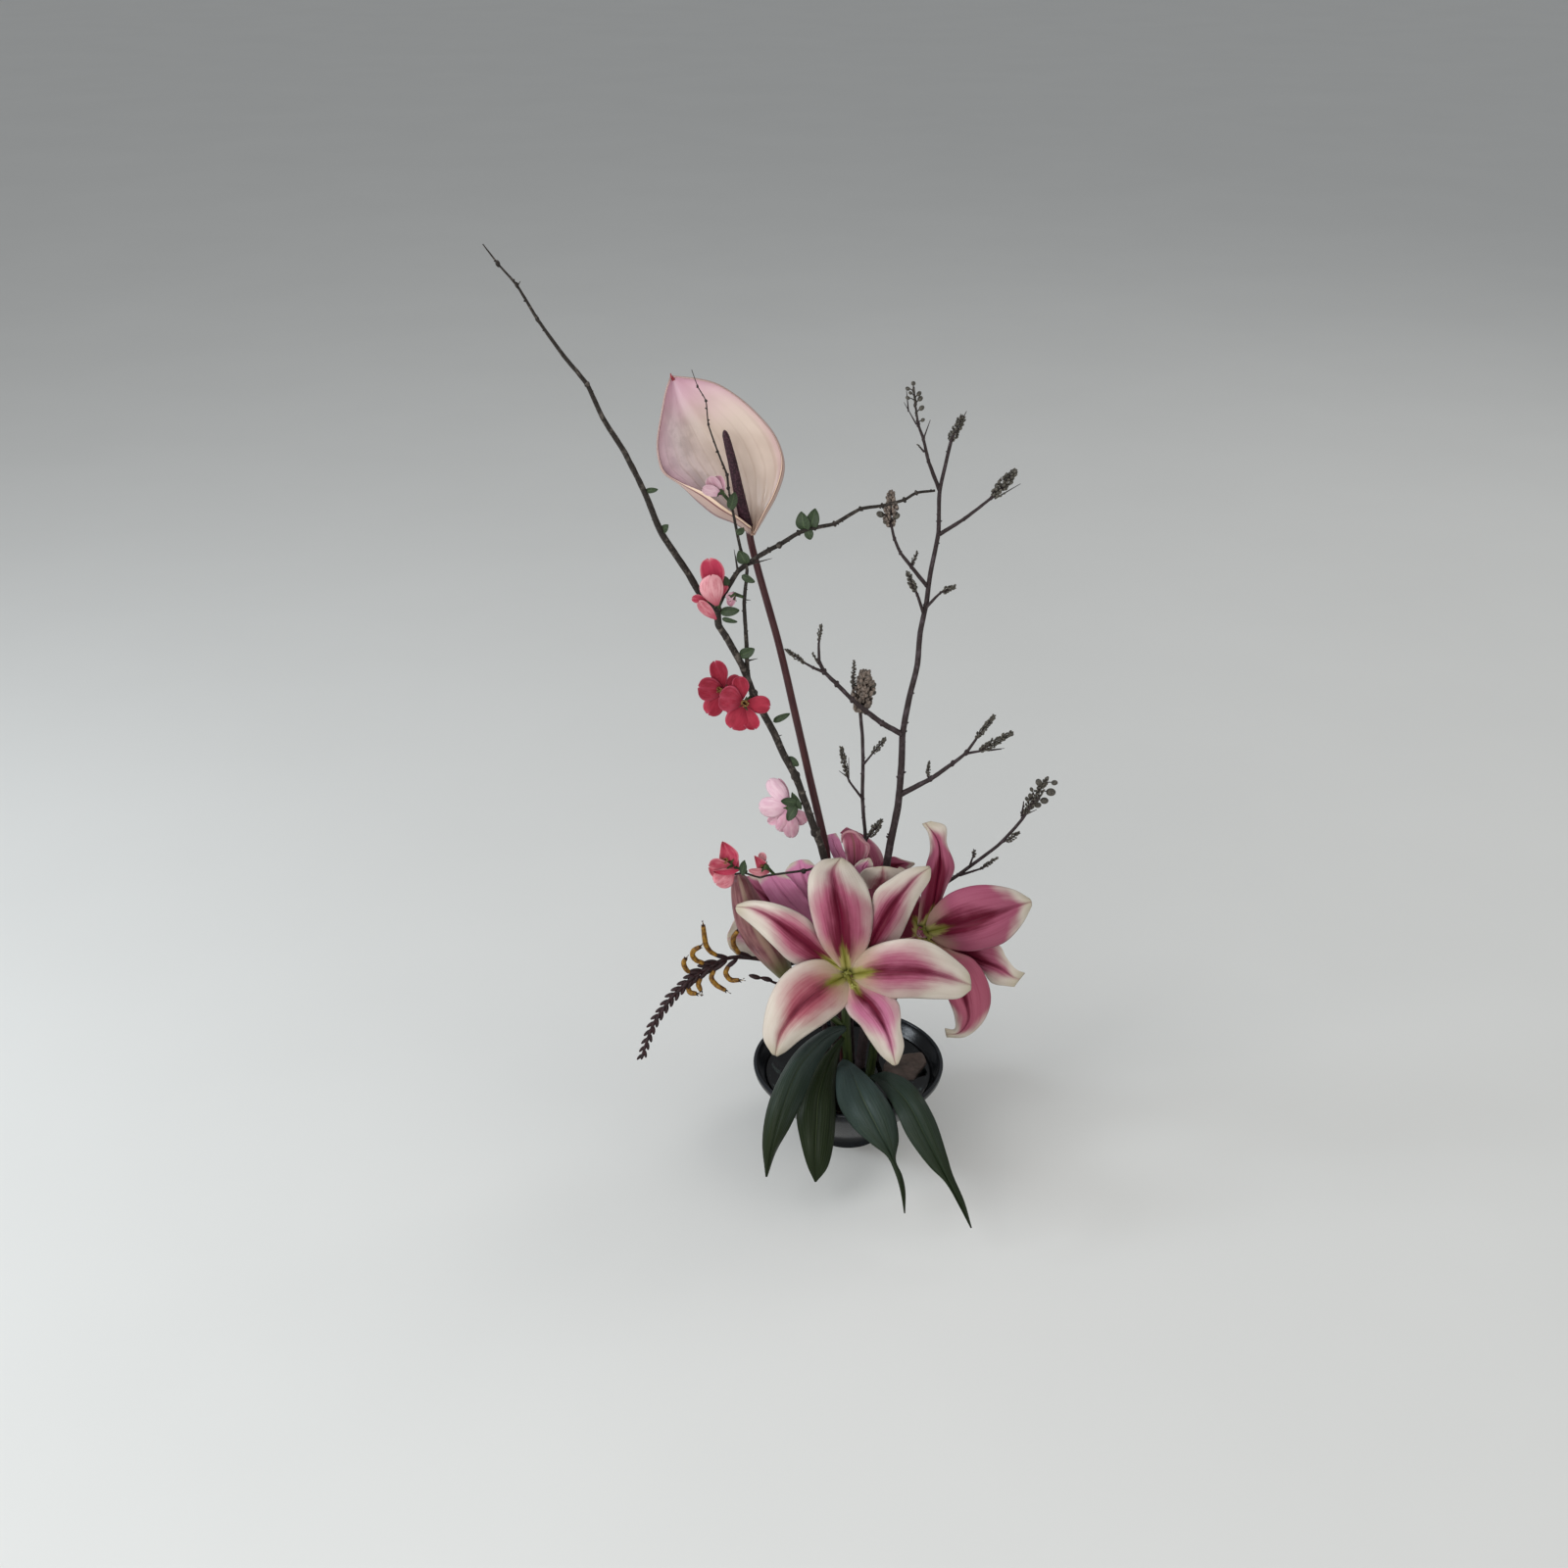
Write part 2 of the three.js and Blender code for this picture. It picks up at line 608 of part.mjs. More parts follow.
const CENTRE_TWIG = [
  [872, 892], [877, 876], [883, 858], [881, 830], [880, 811.4], [880.6, 779.5], [880, 750.8],
  [878.5, 734.8], [877, 718],
];
const CENTRE_TWIGS = [
  { way: [[880, 815], [866.6, 797], [861.5, 782]], depth: [20, 18], radius: [0.9, 0.5] },
  { way: [[880.5, 781], [888.9, 770.7], [894, 765]], depth: [22, 20], radius: [0.8, 0.5] },
  { way: [[882.8, 859], [889, 849]], depth: [17, 14], radius: [0.9, 0.6] },
];
const RIGHT_TWIG = [
  [963.6, 903], [979.8, 891.4], [998, 878], [1018.8, 862.3], [1035.4, 845], [1043.6, 835], [1052, 822],
  [1061, 812],
];
const RIGHT_TWIGS = [
  { way: [[980, 893], [993, 888.9], [1002, 886]], depth: [38, 35], radius: [0.9, 0.6] },
  { way: [[989, 885], [993.9, 871]], depth: [39, 37], radius: [0.8, 0.5] },
  { way: [[1020, 861], [1030, 856]], depth: [42, 40], radius: [0.8, 0.6] },
  { way: [[1043, 836], [1044.5, 818]], depth: [45, 43], radius: [0.5, 0.4] },
];

// Panicles of round buds: from, to, depth, number of buds, bud size in millimetres, spread about the axis
const BRANCH_PANICLES = [
  { from: [937, 433], to: [932, 391], depth: 24, buds: 5, size: 4.4, spread: 5 },
  { from: [937, 433], to: [924, 398], depth: 22, buds: 3, size: 3, spread: 2 },
  { from: [942, 446], to: [949, 429], depth: 25, buds: 2, size: 2.4, spread: 1.2 },
  { from: [969, 452], to: [985, 421], depth: 34, buds: 6, size: 4.2, spread: 3.4 },
  { from: [1012, 507], to: [1038, 480], depth: 18, buds: 7, size: 4.6, spread: 4.4 },
  { from: [911, 540], to: [908.5, 502], depth: 36, buds: 8, size: 5.6, spread: 5.4 },
  { from: [930, 576], to: [936, 563], depth: 28, buds: 2, size: 2.8, spread: 1.2 },
  { from: [932, 600], to: [926, 584], depth: 18, buds: 3, size: 4, spread: 1.8 },
  { from: [965, 602], to: [974, 599], depth: 18, buds: 2, size: 3.6, spread: 1.5 },
  { from: [836, 650], to: [838, 637], depth: 0, buds: 2, size: 3.2, spread: 1.2 },
  { from: [820, 676], to: [802, 662.5], depth: 2, buds: 3, size: 3.2, spread: 1.4 },
  { from: [835, 676], to: [829, 666], depth: 2, buds: 2, size: 2.6, spread: 0.8 },
  { from: [996, 754], to: [1013, 731], depth: 4, buds: 5, size: 4.2, spread: 2 },
  { from: [1001, 766], to: [1031, 749], depth: 4, buds: 5, size: 4.6, spread: 2.6 },
  { from: [947.5, 795], to: [948.5, 779], depth: 11, buds: 2, size: 2.8, spread: 1.2 },
];
const CENTRE_PANICLES = [
  { from: [877, 728], to: [882, 683], depth: 26, buds: 10, size: 6.6, spread: 7 },
  { from: [873, 703], to: [871, 676], depth: 24, buds: 2, size: 3, spread: 1.2 },
  { from: [862, 785], to: [858, 763], depth: 18, buds: 5, size: 3.6, spread: 1.8 },
  { from: [893, 766], to: [903, 755], depth: 20, buds: 4, size: 3.8, spread: 1.6 },
  { from: [889, 850], to: [900, 837], depth: 14, buds: 5, size: 4, spread: 2.6 },
];
const RIGHT_PANICLES = [
  { from: [1047, 832], to: [1072, 797], depth: 46, buds: 12, size: 6, spread: 6.6 },
  { from: [1000, 887], to: [1017, 875], depth: 35, buds: 4, size: 2.8, spread: 1 },
  { from: [1029, 857], to: [1039, 850], depth: 40, buds: 3, size: 3.4, spread: 1.2 },
  { from: [993.5, 874], to: [994, 868], depth: 37, buds: 2, size: 3, spread: 0.8 },
];

function panicle({ from, to, depth, buds, size, spread }, random) {
  const start = seen(...from, depth);
  const end = seen(...to, depth);
  const axis = end.clone().sub(start);
  const out = new THREE.Vector3().crossVectors(axis, mm(0, 1, 0)).normalize();
  const made = [limb([start, end], taper(0.8, 0.45), 3, 1)];
  for (let i = 0; i < buds; i += 1) {
    const along = 0.18 + (0.82 * (i + random() * 0.5)) / buds;
    const turn = i * 2.4 + 0.3 * random();
    const outward = out.clone().applyAxisAngle(axis.clone().normalize(), turn);
    const root = start.clone().lerp(end, along);
    const reach = spread * (1.15 - 0.6 * along) * (0.7 + 0.5 * random());
    const bud = size * (0.85 + 0.3 * random());
    const lean = outward.clone().multiplyScalar(reach).addScaledVector(axis.clone().normalize(), bud * 0.5);
    const length = lean.length() + bud * 0.5;
    const centre = root.clone().addScaledVector(lean.clone().normalize(), length * 0.46);
    made.push(pod(centre, lean, length, bud * 0.85, bud * 0.85, bud > 3.6 ? 4 : 3, 2));
  }
  return join(made);
}

function twigs(list, grow) {
  return list.map(({ way, depth, radius }) => (
    limb(route(way, ...depth), taper(...radius, grow), 3)
  ));
}

function panicles(list, seed) {
  const random = seeded(seed);
  return list.map((spec) => panicle(spec, random));
}

function branchRadius(grow) {
  return (t) => BRANCH_RADIUS - (BRANCH_RADIUS - BRANCH_TIP_RADIUS) * t ** 0.9 + grow;
}

function branchWood(grow = 0) {
  const [x, y] = FEET.branch;
  const hidden = [mm(x, y, FOOT_LEVEL - grow), mm(12, 6.5, 80), mm(20, 8.5, 160)];
  const main = limb([...hidden, ...route(BRANCH, 10, 34)], branchRadius(grow), 5);
  return join([main, ...twigs(BRANCH_TWIGS, grow)]);
}

function centreTwigWood(grow = 0) {
  const [x, y] = FEET.centreTwig;
  const hidden = [mm(x, y, FOOT_LEVEL - grow), mm(3, 17, 80), mm(0, 18, 150)];
  const main = limb([...hidden, ...route(CENTRE_TWIG, 17, 26)], taper(TWIG_RADIUS, 0.9, grow), 5);
  return join([main, ...twigs(CENTRE_TWIGS, grow)]);
}

function rightTwigWood(grow = 0) {
  const [x, y] = FEET.rightTwig;
  const hidden = [mm(x, y, FOOT_LEVEL - grow), mm(24, 15, 60), mm(37, 24, 105), mm(56, 33, 160)];
  const main = limb([...hidden, ...route(RIGHT_TWIG, 38, 46)], taper(TWIG_RADIUS + 0.2, 0.6, grow), 5);
  return join([main, ...twigs(RIGHT_TWIGS, grow)]);
}

// Lily stems, leaves and blooms

const FRONT_THROAT = [865, 995, -42];
const RIGHT_THROAT = [943, 950, 6];
const TOP_THROAT = [888, 905, 8];
const LEFT_THROAT = [834, 945, 22];

function lilyStemA(grow = 0) {
  const [x, y] = FEET.lilyA;
  const throat = seen(...FRONT_THROAT);
  const stem = [mm(x, y, FOOT_LEVEL - grow), mm(0, -17, 60), mm(-3, -19, 110), mm(-3, -21, 132)];
  const toFront = [mm(-3, -20, 122), mm(-3, -23, 148), throat.clone().add(mm(0, 15, -6))];
  const toBud = [mm(-3, -20, 106), mm(-17, -20, 120), mm(-36, -14, 134), mm(-49, -4, 145)];
  const toLeft = [
    mm(-19, -19, 121), mm(-27, -6, 133), mm(-25, 7, 148), seen(...LEFT_THROAT).add(mm(2, -5, -12)),
  ];
  return join([
    limb(stem, taper(LILY_STEM_RADIUS, 3.4, grow), 6, 4),
    limb(toFront, taper(3.2, PEDICEL_RADIUS, grow), 5, 4),
    limb(toBud, taper(2.8, PEDICEL_RADIUS, grow), 5, 4),
    limb(toLeft, taper(2.6, PEDICEL_RADIUS, grow), 5, 4),
  ]);
}

function lilyStemB(grow = 0) {
  const [x, y] = FEET.lilyB;
  const throat = seen(...RIGHT_THROAT);
  const stem = [mm(x, y, FOOT_LEVEL - grow), mm(17.5, -7, 60), mm(24, -6, 110), mm(30, -2, 135)];
  const toRight = [mm(29, -3, 130), mm(42, 8, 152), throat.clone().add(mm(-6, 9, -9))];
  const toTop = [mm(26, -5, 118), mm(25, -3, 150), mm(19, 1, 180), seen(...TOP_THROAT).add(mm(1, 0, -12))];
  return join([
    limb(stem, taper(LILY_STEM_RADIUS, 3.2, grow), 6, 4),
    limb(toRight, taper(3, PEDICEL_RADIUS, grow), 5, 4),
    limb(toTop, taper(2.6, PEDICEL_RADIUS, grow), 5, 4),
  ]);
}

const LILY_LEAVES = {
  lily_leaf_1: {
    left: [[862, 1046], [845, 1049], [815, 1070], [795, 1100], [783, 1130], [778, 1165], [781.3, 1201]],
    rib: [
      [863, 1048, -22], [838, 1062, -54], [815, 1090, -84], [799, 1130, -106], [788, 1168, -118],
      [782, 1201, -124],
    ],
    right: [[864, 1051], [852, 1062], [835, 1085], [820, 1120], [806, 1150], [792, 1175], [782.8, 1201]],
    back: [4, 3],
  },
  lily_leaf_2: {
    left: [[860, 1057], [836, 1083], [820, 1112], [813, 1138], [817, 1165], [825, 1190], [831.4, 1205]],
    rib: [
      [861, 1058, -20], [846, 1084, -46], [836, 1115, -73], [833, 1150, -92], [832, 1180, -103],
      [832, 1205, -108],
    ],
    right: [
      [862, 1059], [854, 1080], [851, 1110], [851.5, 1140], [849, 1170], [842, 1192], [832.8, 1205],
    ],
    back: [1, 0],
  },
  lily_leaf_3: {
    left: [
      [860, 1080, -20], [854, 1090, -50], [855, 1125, -82], [870, 1150, -100], [890, 1168, -115],
      [905, 1180, -124], [917, 1200, -134], [922.6, 1238, -144],
    ],
    rib: [
      [862, 1081, -20], [868, 1092, -54], [880, 1120, -88], [895, 1150, -110], [909, 1178, -125],
      [919, 1202, -135], [923, 1238, -144],
    ],
    right: [
      [864, 1081, -20], [874, 1088, -52], [893, 1106, -80], [912, 1135, -102], [917, 1162, -116],
      [914, 1184, -126], [920, 1203, -134], [923.6, 1238, -144],
    ],
    back: [3, 3],
  },
  lily_leaf_4: {
    left: [
      [887, 1099, -11], [895, 1105, -55], [912, 1130, -95], [926, 1160, -118], [948, 1190, -134],
      [965, 1207, -145], [978, 1229, -152], [990.4, 1253, -160],
    ],
    rib: [
      [888, 1098, -11], [904, 1103, -60], [926, 1125, -100], [943, 1157, -121], [957, 1185, -136],
      [974, 1218, -152], [991, 1253, -160],
    ],
    right: [
      [889, 1097, -11], [908, 1094, -58], [932, 1107, -90], [953, 1140, -112], [966, 1178, -130],
      [972, 1198, -140], [984, 1226, -152], [991.6, 1253, -160],
    ],
    back: [-1, 5],
  },
};

const FRONT_PETALS = [
  {
    left: [[862, 992], [838, 992], [806, 981], [790, 966], [768, 945], [752, 931], [750.6, 927]],
    rib: [
      [862, 990, -42], [837, 974, -52], [816, 958, -54], [790, 938, -46], [768, 927, -36],
      [751, 925.5, -31],
    ],
    right: [[864, 988], [846, 965], [826.6, 939.4], [806, 927], [785, 920.5], [765, 919], [752, 923]],
    back: [4, 4], belly: 2,
  },
  {
    left: [
      [859, 992], [848, 979], [836, 960], [829, 938], [824.6, 915], [826, 892], [838, 878],
      [855, 875.5],
    ],
    rib: [
      [864, 990, -42], [860, 962, -58], [857, 935, -58], [852, 908, -45], [850, 888, -26],
      [858, 875, -14],
    ],
    right: [
      [868, 992], [884.8, 967], [890.2, 945], [890, 925], [884, 903], [877, 892], [869, 882],
      [860, 875.5],
    ],
    back: [4, 4], belly: 4,
  },
  {
    left: [[865, 990], [878, 962], [888, 935], [892.9, 909.8], [910, 896], [928, 886], [948, 883.5]],
    rib: [
      [868, 991, -42], [886, 966, -50], [899, 942, -50], [917, 915, -38], [936, 894, -24],
      [949, 885, -17],
    ],
    right: [[870, 993], [901, 972], [917.3, 957.8], [927, 938], [938, 915], [949, 897], [950, 887]],
    back: [4, 5], belly: 2,
  },
  {
    left: [
      [866, 989], [876, 974], [900, 962], [927.6, 957.8], [950, 962], [972, 976.5], [988, 992],
      [990.6, 1000],
    ],
    rib: [
      [869, 994, -42], [897, 991, -62], [931, 990, -70], [958, 994, -66], [980, 1001, -58],
      [991, 1005, -53],
    ],
    right: [
      [867, 999], [882, 1011], [901, 1018], [930, 1018.5], [958, 1019.5], [979, 1018.5], [990.8, 1010],
    ],
    back: [3, 6], belly: 4,
  },
  {
    left: [[864, 997], [860, 1016], [866, 1035], [877, 1045.5], [887, 1060.8], [899, 1077], [911, 1087]],
    rib: [
      [867, 998, -42], [877, 1014, -54], [888, 1026, -64], [900, 1043, -72], [908, 1062, -78],
      [914, 1087, -80],
    ],
    right: [[870, 997], [897, 1008], [915.8, 1022], [919, 1035], [919, 1048], [922.4, 1068], [917, 1085]],
    back: [4, 4], belly: 2,
  },
  {
    left: [
      [862, 993], [842, 979.5], [820, 981.5], [800, 994], [786, 1016], [779.5, 1040], [779, 1060],
      [788, 1076],
    ],
    rib: [
      [862, 996, -42], [842, 1006, -60], [822, 1021, -74], [807, 1038, -80], [796, 1056, -80],
      [791, 1077, -76],
    ],
    right: [
      [866, 999], [871, 1010], [862, 1027], [846, 1041], [828, 1053], [814, 1063], [802, 1073],
      [793, 1078],
    ],
    back: [4, 5], belly: 4,
  },
];

const RIGHT_PETALS = [
  {
    left: [[943, 946], [950, 930], [966.8, 913], [987.9, 904.7], [1010, 903], [1035, 908], [1050, 916.5]],
    rib: [
      [945, 951, 6], [967, 946, -8], [993, 939, -14], [1018, 931, -12], [1038, 924, -4],
      [1052.6, 920, 2],
    ],
    right: [
      [945, 956], [962, 966], [984.7, 970.5], [1005, 968.5], [1026, 961], [1043, 943], [1052.6, 925],
    ],
    back: [4, 5], belly: 4,
  },
  {
    left: [[940, 945], [944, 925], [945, 905], [946, 883], [949, 868], [947, 850], [941, 840.5]],
    rib: [[943, 946, 6], [952, 925, 2], [956, 902, 4], [959, 880, 8], [957, 858, 14], [944, 839.4, 20]],
    right: [[946, 948], [958, 925], [966, 905], [974, 885], [966, 860], [965, 843], [950, 837.8]],
    back: [4, 4], belly: 2,
  },
  {
    left: [[940, 954], [948, 975], [958, 998], [967, 1018], [974, 1037], [974, 1050], [964, 1049]],
    rib: [
      [943, 956, 6], [962, 975, -6], [976, 998, -14], [985, 1020, -18], [988, 1040, -16],
      [978, 1054, -8], [965, 1055, -4],
    ],
    right: [
      [947, 956], [972, 970], [992, 978], [1006, 997], [1011, 1021], [1003, 1043], [985, 1058],
      [966, 1058.5],
    ],
    back: [4, 4], belly: 3,
  },
  {
    left: [[946, 949], [975, 955], [1005, 961], [1020, 965], [1027, 977], [1037, 989], [1046, 993]],
    rib: [[946, 953, 8], [972, 966, 10], [997, 979, 8], [1019, 987, 6], [1034, 997, 6], [1041, 999, 8]],
    right: [
      [944, 955], [965, 972], [988, 979], [1001.6, 989.4], [1012, 1003], [1026.8, 1006], [1035, 1007],
    ],
    back: [-2, 3], belly: 1,
  },
  {
    left: [[938, 951], [926, 950], [916, 942], [908, 930], [905, 915], [908, 900], [914, 889]],
    rib: [[941, 948, 7], [934, 938, 8], [926, 924, 8], [920, 908, 6], [917, 896, 4], [916, 886, 3]],
    right: [[943, 945], [942, 930], [939, 915], [934, 902], [928, 892], [922, 886], [918, 884.5]],
    back: [3, 3], belly: 2,
  },
  {
    left: [[942, 956], [934, 972], [926, 985], [922, 998], [924, 1010], [930, 1018], [936, 1022]],
    rib: [
      [942, 955, 8], [944, 972, 4], [943, 988, -2], [941, 1003, -6], [939, 1014, -6], [938, 1023, -4],
    ],
    right: [[944, 955], [953, 968], [957, 982], [956, 996], [952, 1008], [946, 1017], [940, 1022]],
    back: [3, 3], belly: 2,
  },
];

// The upper bloom faces up and back, with a petal that rolls over in front of the budded twig
const TOP_PETALS = [
  {
    left: [[886, 903], [882, 888], [874, 868], [863, 855], [857, 850]],
    rib: [[888, 903, 10], [890, 886, 22], [884, 866, 30], [874, 851, 34], [860, 847, 37]],
    right: [[892, 903], [902, 887], [900, 871], [889, 857], [864, 843.8]],
  },
  {
    left: [[884, 904], [867, 889], [863, 874], [860.5, 862], [858, 852]],
    rib: [[886, 904, 8], [873, 888, 6], [872, 873, 4], [871, 859, 2], [867.5, 848, 3]],
    right: [[888, 905], [879, 886], [883, 874], [886.5, 864], [877, 850]],
  },
  {
    left: [[883, 902], [858, 886], [848, 870], [844, 858], [844, 852]],
    rib: [[885, 902, 8], [866, 887, 9], [855, 870, 13], [850, 858, 17], [848, 851, 20]],
    right: [[888, 902], [872, 883], [861, 868], [857, 857], [853, 850]],
  },
  {
    left: [[890, 899], [900, 880], [911, 874], [922, 877.5], [932, 880]],
    rib: [[891, 903, 10], [903, 891, 20], [914, 883, 22], [924, 881, 23], [933.5, 881, 24]],
    right: [[891, 907], [906, 902], [917, 894], [927, 887], [933, 882.5]],
  },
  {
    left: [[885, 905], [875, 893], [871, 886], [876, 879], [884, 876]],
    rib: [[887, 905, 7], [882, 894, 2], [881, 885, 0], [885, 879, -1], [887, 875.5, -1]],
    right: [[890, 906], [889, 896], [891, 888], [891, 882], [889, 877]],
  },
  {
    left: [[886, 909], [880, 903], [876.5, 894], [882, 887], [894, 884.5]],
    rib: [[889, 909, 6], [896, 903, -1], [900, 896, -6], [901, 889, -8], [901, 884, -8]],
    right: [[892, 910], [911, 906], [921, 897], [921, 889], [908, 884.5]],
  },
];

// The bloom at the left faces away behind the bud
const LEFT_PETALS = [
  {
    left: [[828, 946], [797, 934], [784, 916], [776, 903], [771, 893]],
    rib: [[832, 945, 21], [812, 926, 15], [800, 912, 14], [792, 901, 17], [786, 892, 22]],
    right: [[837, 943], [825, 920], [815, 906], [808, 898], [801, 892]],
  },
  {
    left: [[824, 947], [785, 938], [760, 918], [754, 904], [756, 895]],
    rib: [[829, 945, 24], [800, 926, 26], [778, 912, 27], [767, 901, 29], [762, 894, 33]],
    right: [[834, 942], [812, 915], [793, 905], [778, 897], [768, 893]],
  },
  {
    left: [[831, 943], [814, 918], [804, 901], [801, 890], [806, 882]],
    rib: [[834, 943, 24], [828, 915, 26], [822, 899, 28], [818, 887, 32], [816, 877.5, 38]],
    right: [[838, 944], [843, 920], [840, 900], [834, 886], [826, 878]],
  },
  {
    left: [[826, 944], [796, 937], [772, 934], [752, 936], [744, 950]],
    rib: [[826, 949, 24], [798, 952, 22], [774, 953, 19], [755, 955, 16], [742, 958, 14]],
    right: [[828, 954], [800, 969], [776, 976], [756, 977], [745, 968]],
  },
  {
    left: [[830, 944], [808, 926], [798, 912], [792, 903], [796, 897]],
    rib: [[834, 944, 27], [824, 926, 42], [815, 910, 56], [808, 900, 66], [803, 894, 72]],
    right: [[839, 944], [838, 922], [830, 908], [820, 899], [811, 893]],
  },
  {
    left: [[830, 950], [808, 944], [790, 942], [778, 944], [772, 950]],
    rib: [[832, 950, 26], [810, 956, 34], [793, 958, 42], [781, 957, 50], [770, 953, 56]],
    right: [[836, 952], [814, 968], [797, 972], [783, 967], [771, 957]],
  },
];

// The narrow cup at the foot of a bloom, from its stalk up to the throat
function throatCup(centre, back, cut) {
  const root = centre.clone().add(back);
  const mouth = centre.clone().addScaledVector(back, -0.15);
  const cup = limb([root, root.clone().lerp(centre, 0.6), mouth], taper(4.4, 6.4), 7, 2);
  return cup.subtract(cut);
}

// Six petals of [rows, columns] cells, the flat knot that they grow from, and the cup behind it
function bloom(petals, [rows, columns], throat, back, cut) {
  const made = petals.map((petal) => sheet(outlineSurface(petal), rows, columns, LILY_THICKNESS));
  const centre = seen(...throat);
  const knotOfPetals = pod(centre, back, THROAT_DEPTH, THROAT_WIDTH, THROAT_WIDTH, 9, 4);
  return join([knotOfPetals, ...made, throatCup(centre, back, cut)]);
}

// Pistil with its stigma
function pistil(throat, forward, length, grow = 0) {
  const base = seen(...throat);
  const way = forward.clone().normalize();
  const end = base.clone().addScaledVector(way, length);
  const style = limb([base.clone().addScaledVector(way, -1), end], taper(1.5, 1.1, grow), 6, 2);
  const stigma = pod(end, way, 3 + 2 * grow, 4.6 + 2 * grow, 4.6 + 2 * grow, 6, 3);
  return join([style, stigma]);
}

// Closed lily bud
const BUD = [[800, 991, -3], [787, 970, -6], [772, 943, -8], [761, 915, -8], [755, 893, -6]];

function lilyBud(grow = 0) {
  const points = BUD.map((place) => seen(...place));
  const girth = (t) => 3.4 + 9.6 * Math.sin(Math.PI * Math.min(0.12 + 0.8 * t, 1)) ** 1.3 + grow;
  const base = points[0];
  const neck = limb([base.clone().add(mm(5, 1, -7)), base.clone().add(mm(-4, 0, 5))], taper(3.6, 4.4), 6, 1);
  return join([limb(points, girth, 7, 6), neck]);
}

// Montbretia spike

const SPIKE = [
  [800, 984, 14], [774.5, 978.5, 10], [745.4, 977.3, 4], [727.2, 984.5, 0], [710.3, 994.2, -4],
  [698.2, 1005, -8],
  [686, 1017, -12], [675, 1032, -16], [666.7, 1045, -20], [660.6, 1061, -24], [654.5, 1080, -28],
];
// Curved flower tubes, each from its calyx at the axis outwards
const SPIKE_TUBES = [
  [[757, 977, 4], [756.3, 971, 3], [749.7, 964, 2], [749, 951.8, 1], [749.7, 940, 0]],
  [[736, 980, 1], [731, 974, 0], [724.8, 969, -1], [720.6, 961.5, -2], [719.4, 953.5, -3]],
  [[722, 987, -2], [714, 981, -3], [707.5, 978, -4], [706.6, 971, -5], [712, 966, -6]],
  [[707, 996, -5], [703, 990, -6], [697, 987, -7], [696.5, 981, -8], [699.4, 978, -9]],
  [[752, 978, 2], [746, 984, -1], [741.8, 990, -2], [743, 998, -3], [753, 1000, -4]],
  [[737, 981, 1], [729.5, 991, -2], [727, 998, -3], [731, 1006, -4], [744, 1011, -5]],
  [[718, 991, -3], [713.9, 998, -5], [712.7, 1004, -6], [715, 1011, -7]],
  [[709, 996, -5], [703, 1004, -7], [704, 1011, -8], [710, 1013.6, -9]],
];
const SPIKE_STUB = [[795, 1003, 10], [782, 999, 9], [770, 996.6, 8]];
const SPIKE_BRACTS = 9;

function spikeStem(grow = 0) {
  const [x, y] = FEET.spike;
  const hidden = [mm(x, y, FOOT_LEVEL - grow), mm(-17, 9, 70), mm(-23, 13, 115), mm(-36, 15, 144)];
  const points = [...hidden, ...SPIKE.map((place) => seen(...place))];
  return limb(points, taper(SPIKE_RADIUS, 0.7, grow), 5);
}

function bractPair(curve, t, random) {
  const place = curve.getPointAt(t);
  const along = curve.getTangentAt(t);
  const side = new THREE.Vector3().crossVectors(along, mm(0, -1, 0.5)).normalize();
  const size = 12.5 - 6.5 * t;
  return [-1, 1].map((hand) => {
    const lean = along.clone().multiplyScalar(0.85).addScaledVector(side, 0.8 * hand);
    lean.y += 0.25 * (random() - 0.5);
    lean.normalize();
    const centre = place.clone().addScaledVector(lean, size * 0.4);
    return pod(centre, lean, size, size * 0.42, size * 0.36, 3, 2);
  });
}

// A flower tube narrows in the middle and flares at its mouth
function tubeRadius(t) {
  return 1.9 - 0.5 * Math.sin(Math.PI * t) + 0.5 * t;
}

function spike() {
  const curve = new THREE.CatmullRomCurve3(SPIKE.map((place) => seen(...place)), false, 'centripetal');
  const random = seeded(5);
  const bracts = [];
  for (let i = 0; i < SPIKE_BRACTS; i += 1) {
    const t = 0.2 + (0.78 * i) / (SPIKE_BRACTS - 1);
    bracts.push(...bractPair(curve, t, random));
  }
  const tubes = SPIKE_TUBES.map((way) => {
    const points = way.map((place) => seen(...place));
    return limb(points, tubeRadius, 4, 3);
  });
  const stubPoints = SPIKE_STUB.map((place) => seen(...place));
  const stub = limb([mm(-44, 15, 148), ...stubPoints], taper(1.2, 0.8), 4, 3);
  const stubBuds = stubPoints.slice(1).map((place) => pod(place, mm(-1, 0, 0.3), 7, 2.8, 2.8, 4, 3));
  return join([spikeStem(), ...bracts, ...tubes, stub, ...stubBuds]);
}

// The whole arrangement

const LOOKS = {
  glaze: material(0x15171c, 0.22),
  water: material(0x1c2426, 0.05),
  metal: material(0x6a6a60, 0.45, 0.8),
  stone: material(0x5b504b, 0.85),
  quinceWood: material(0x2e3028, 0.75),
  quinceRed: material(0xb83a55, 0.6),
  quinceCoral: material(0xc8566c, 0.6),
  quincePink: material(0xd9b0b8, 0.6),
  anthuriumStem: material(0x432428, 0.5),
  spathe: material(0xcdb0b0, 0.35),
  spadix: material(0x3d2230, 0.6),
  buddedWood: material(0x352c2e, 0.75),
  lilyStem: material(0x3c4523, 0.55),
  lilyLeaf: material(0x1f3019, 0.4),
  lilyPetal: material(0xc98fa8, 0.55),
  lilyPistil: material(0x8a8a35, 0.5),
  lilyBud: material(0x6b4248, 0.55),
  spike: material(0x2b1a1e, 0.6),
};

const arrangement = new THREE.Group();
const add = (name, whole, look) => arrangement.add(mesh(name, whole, look));

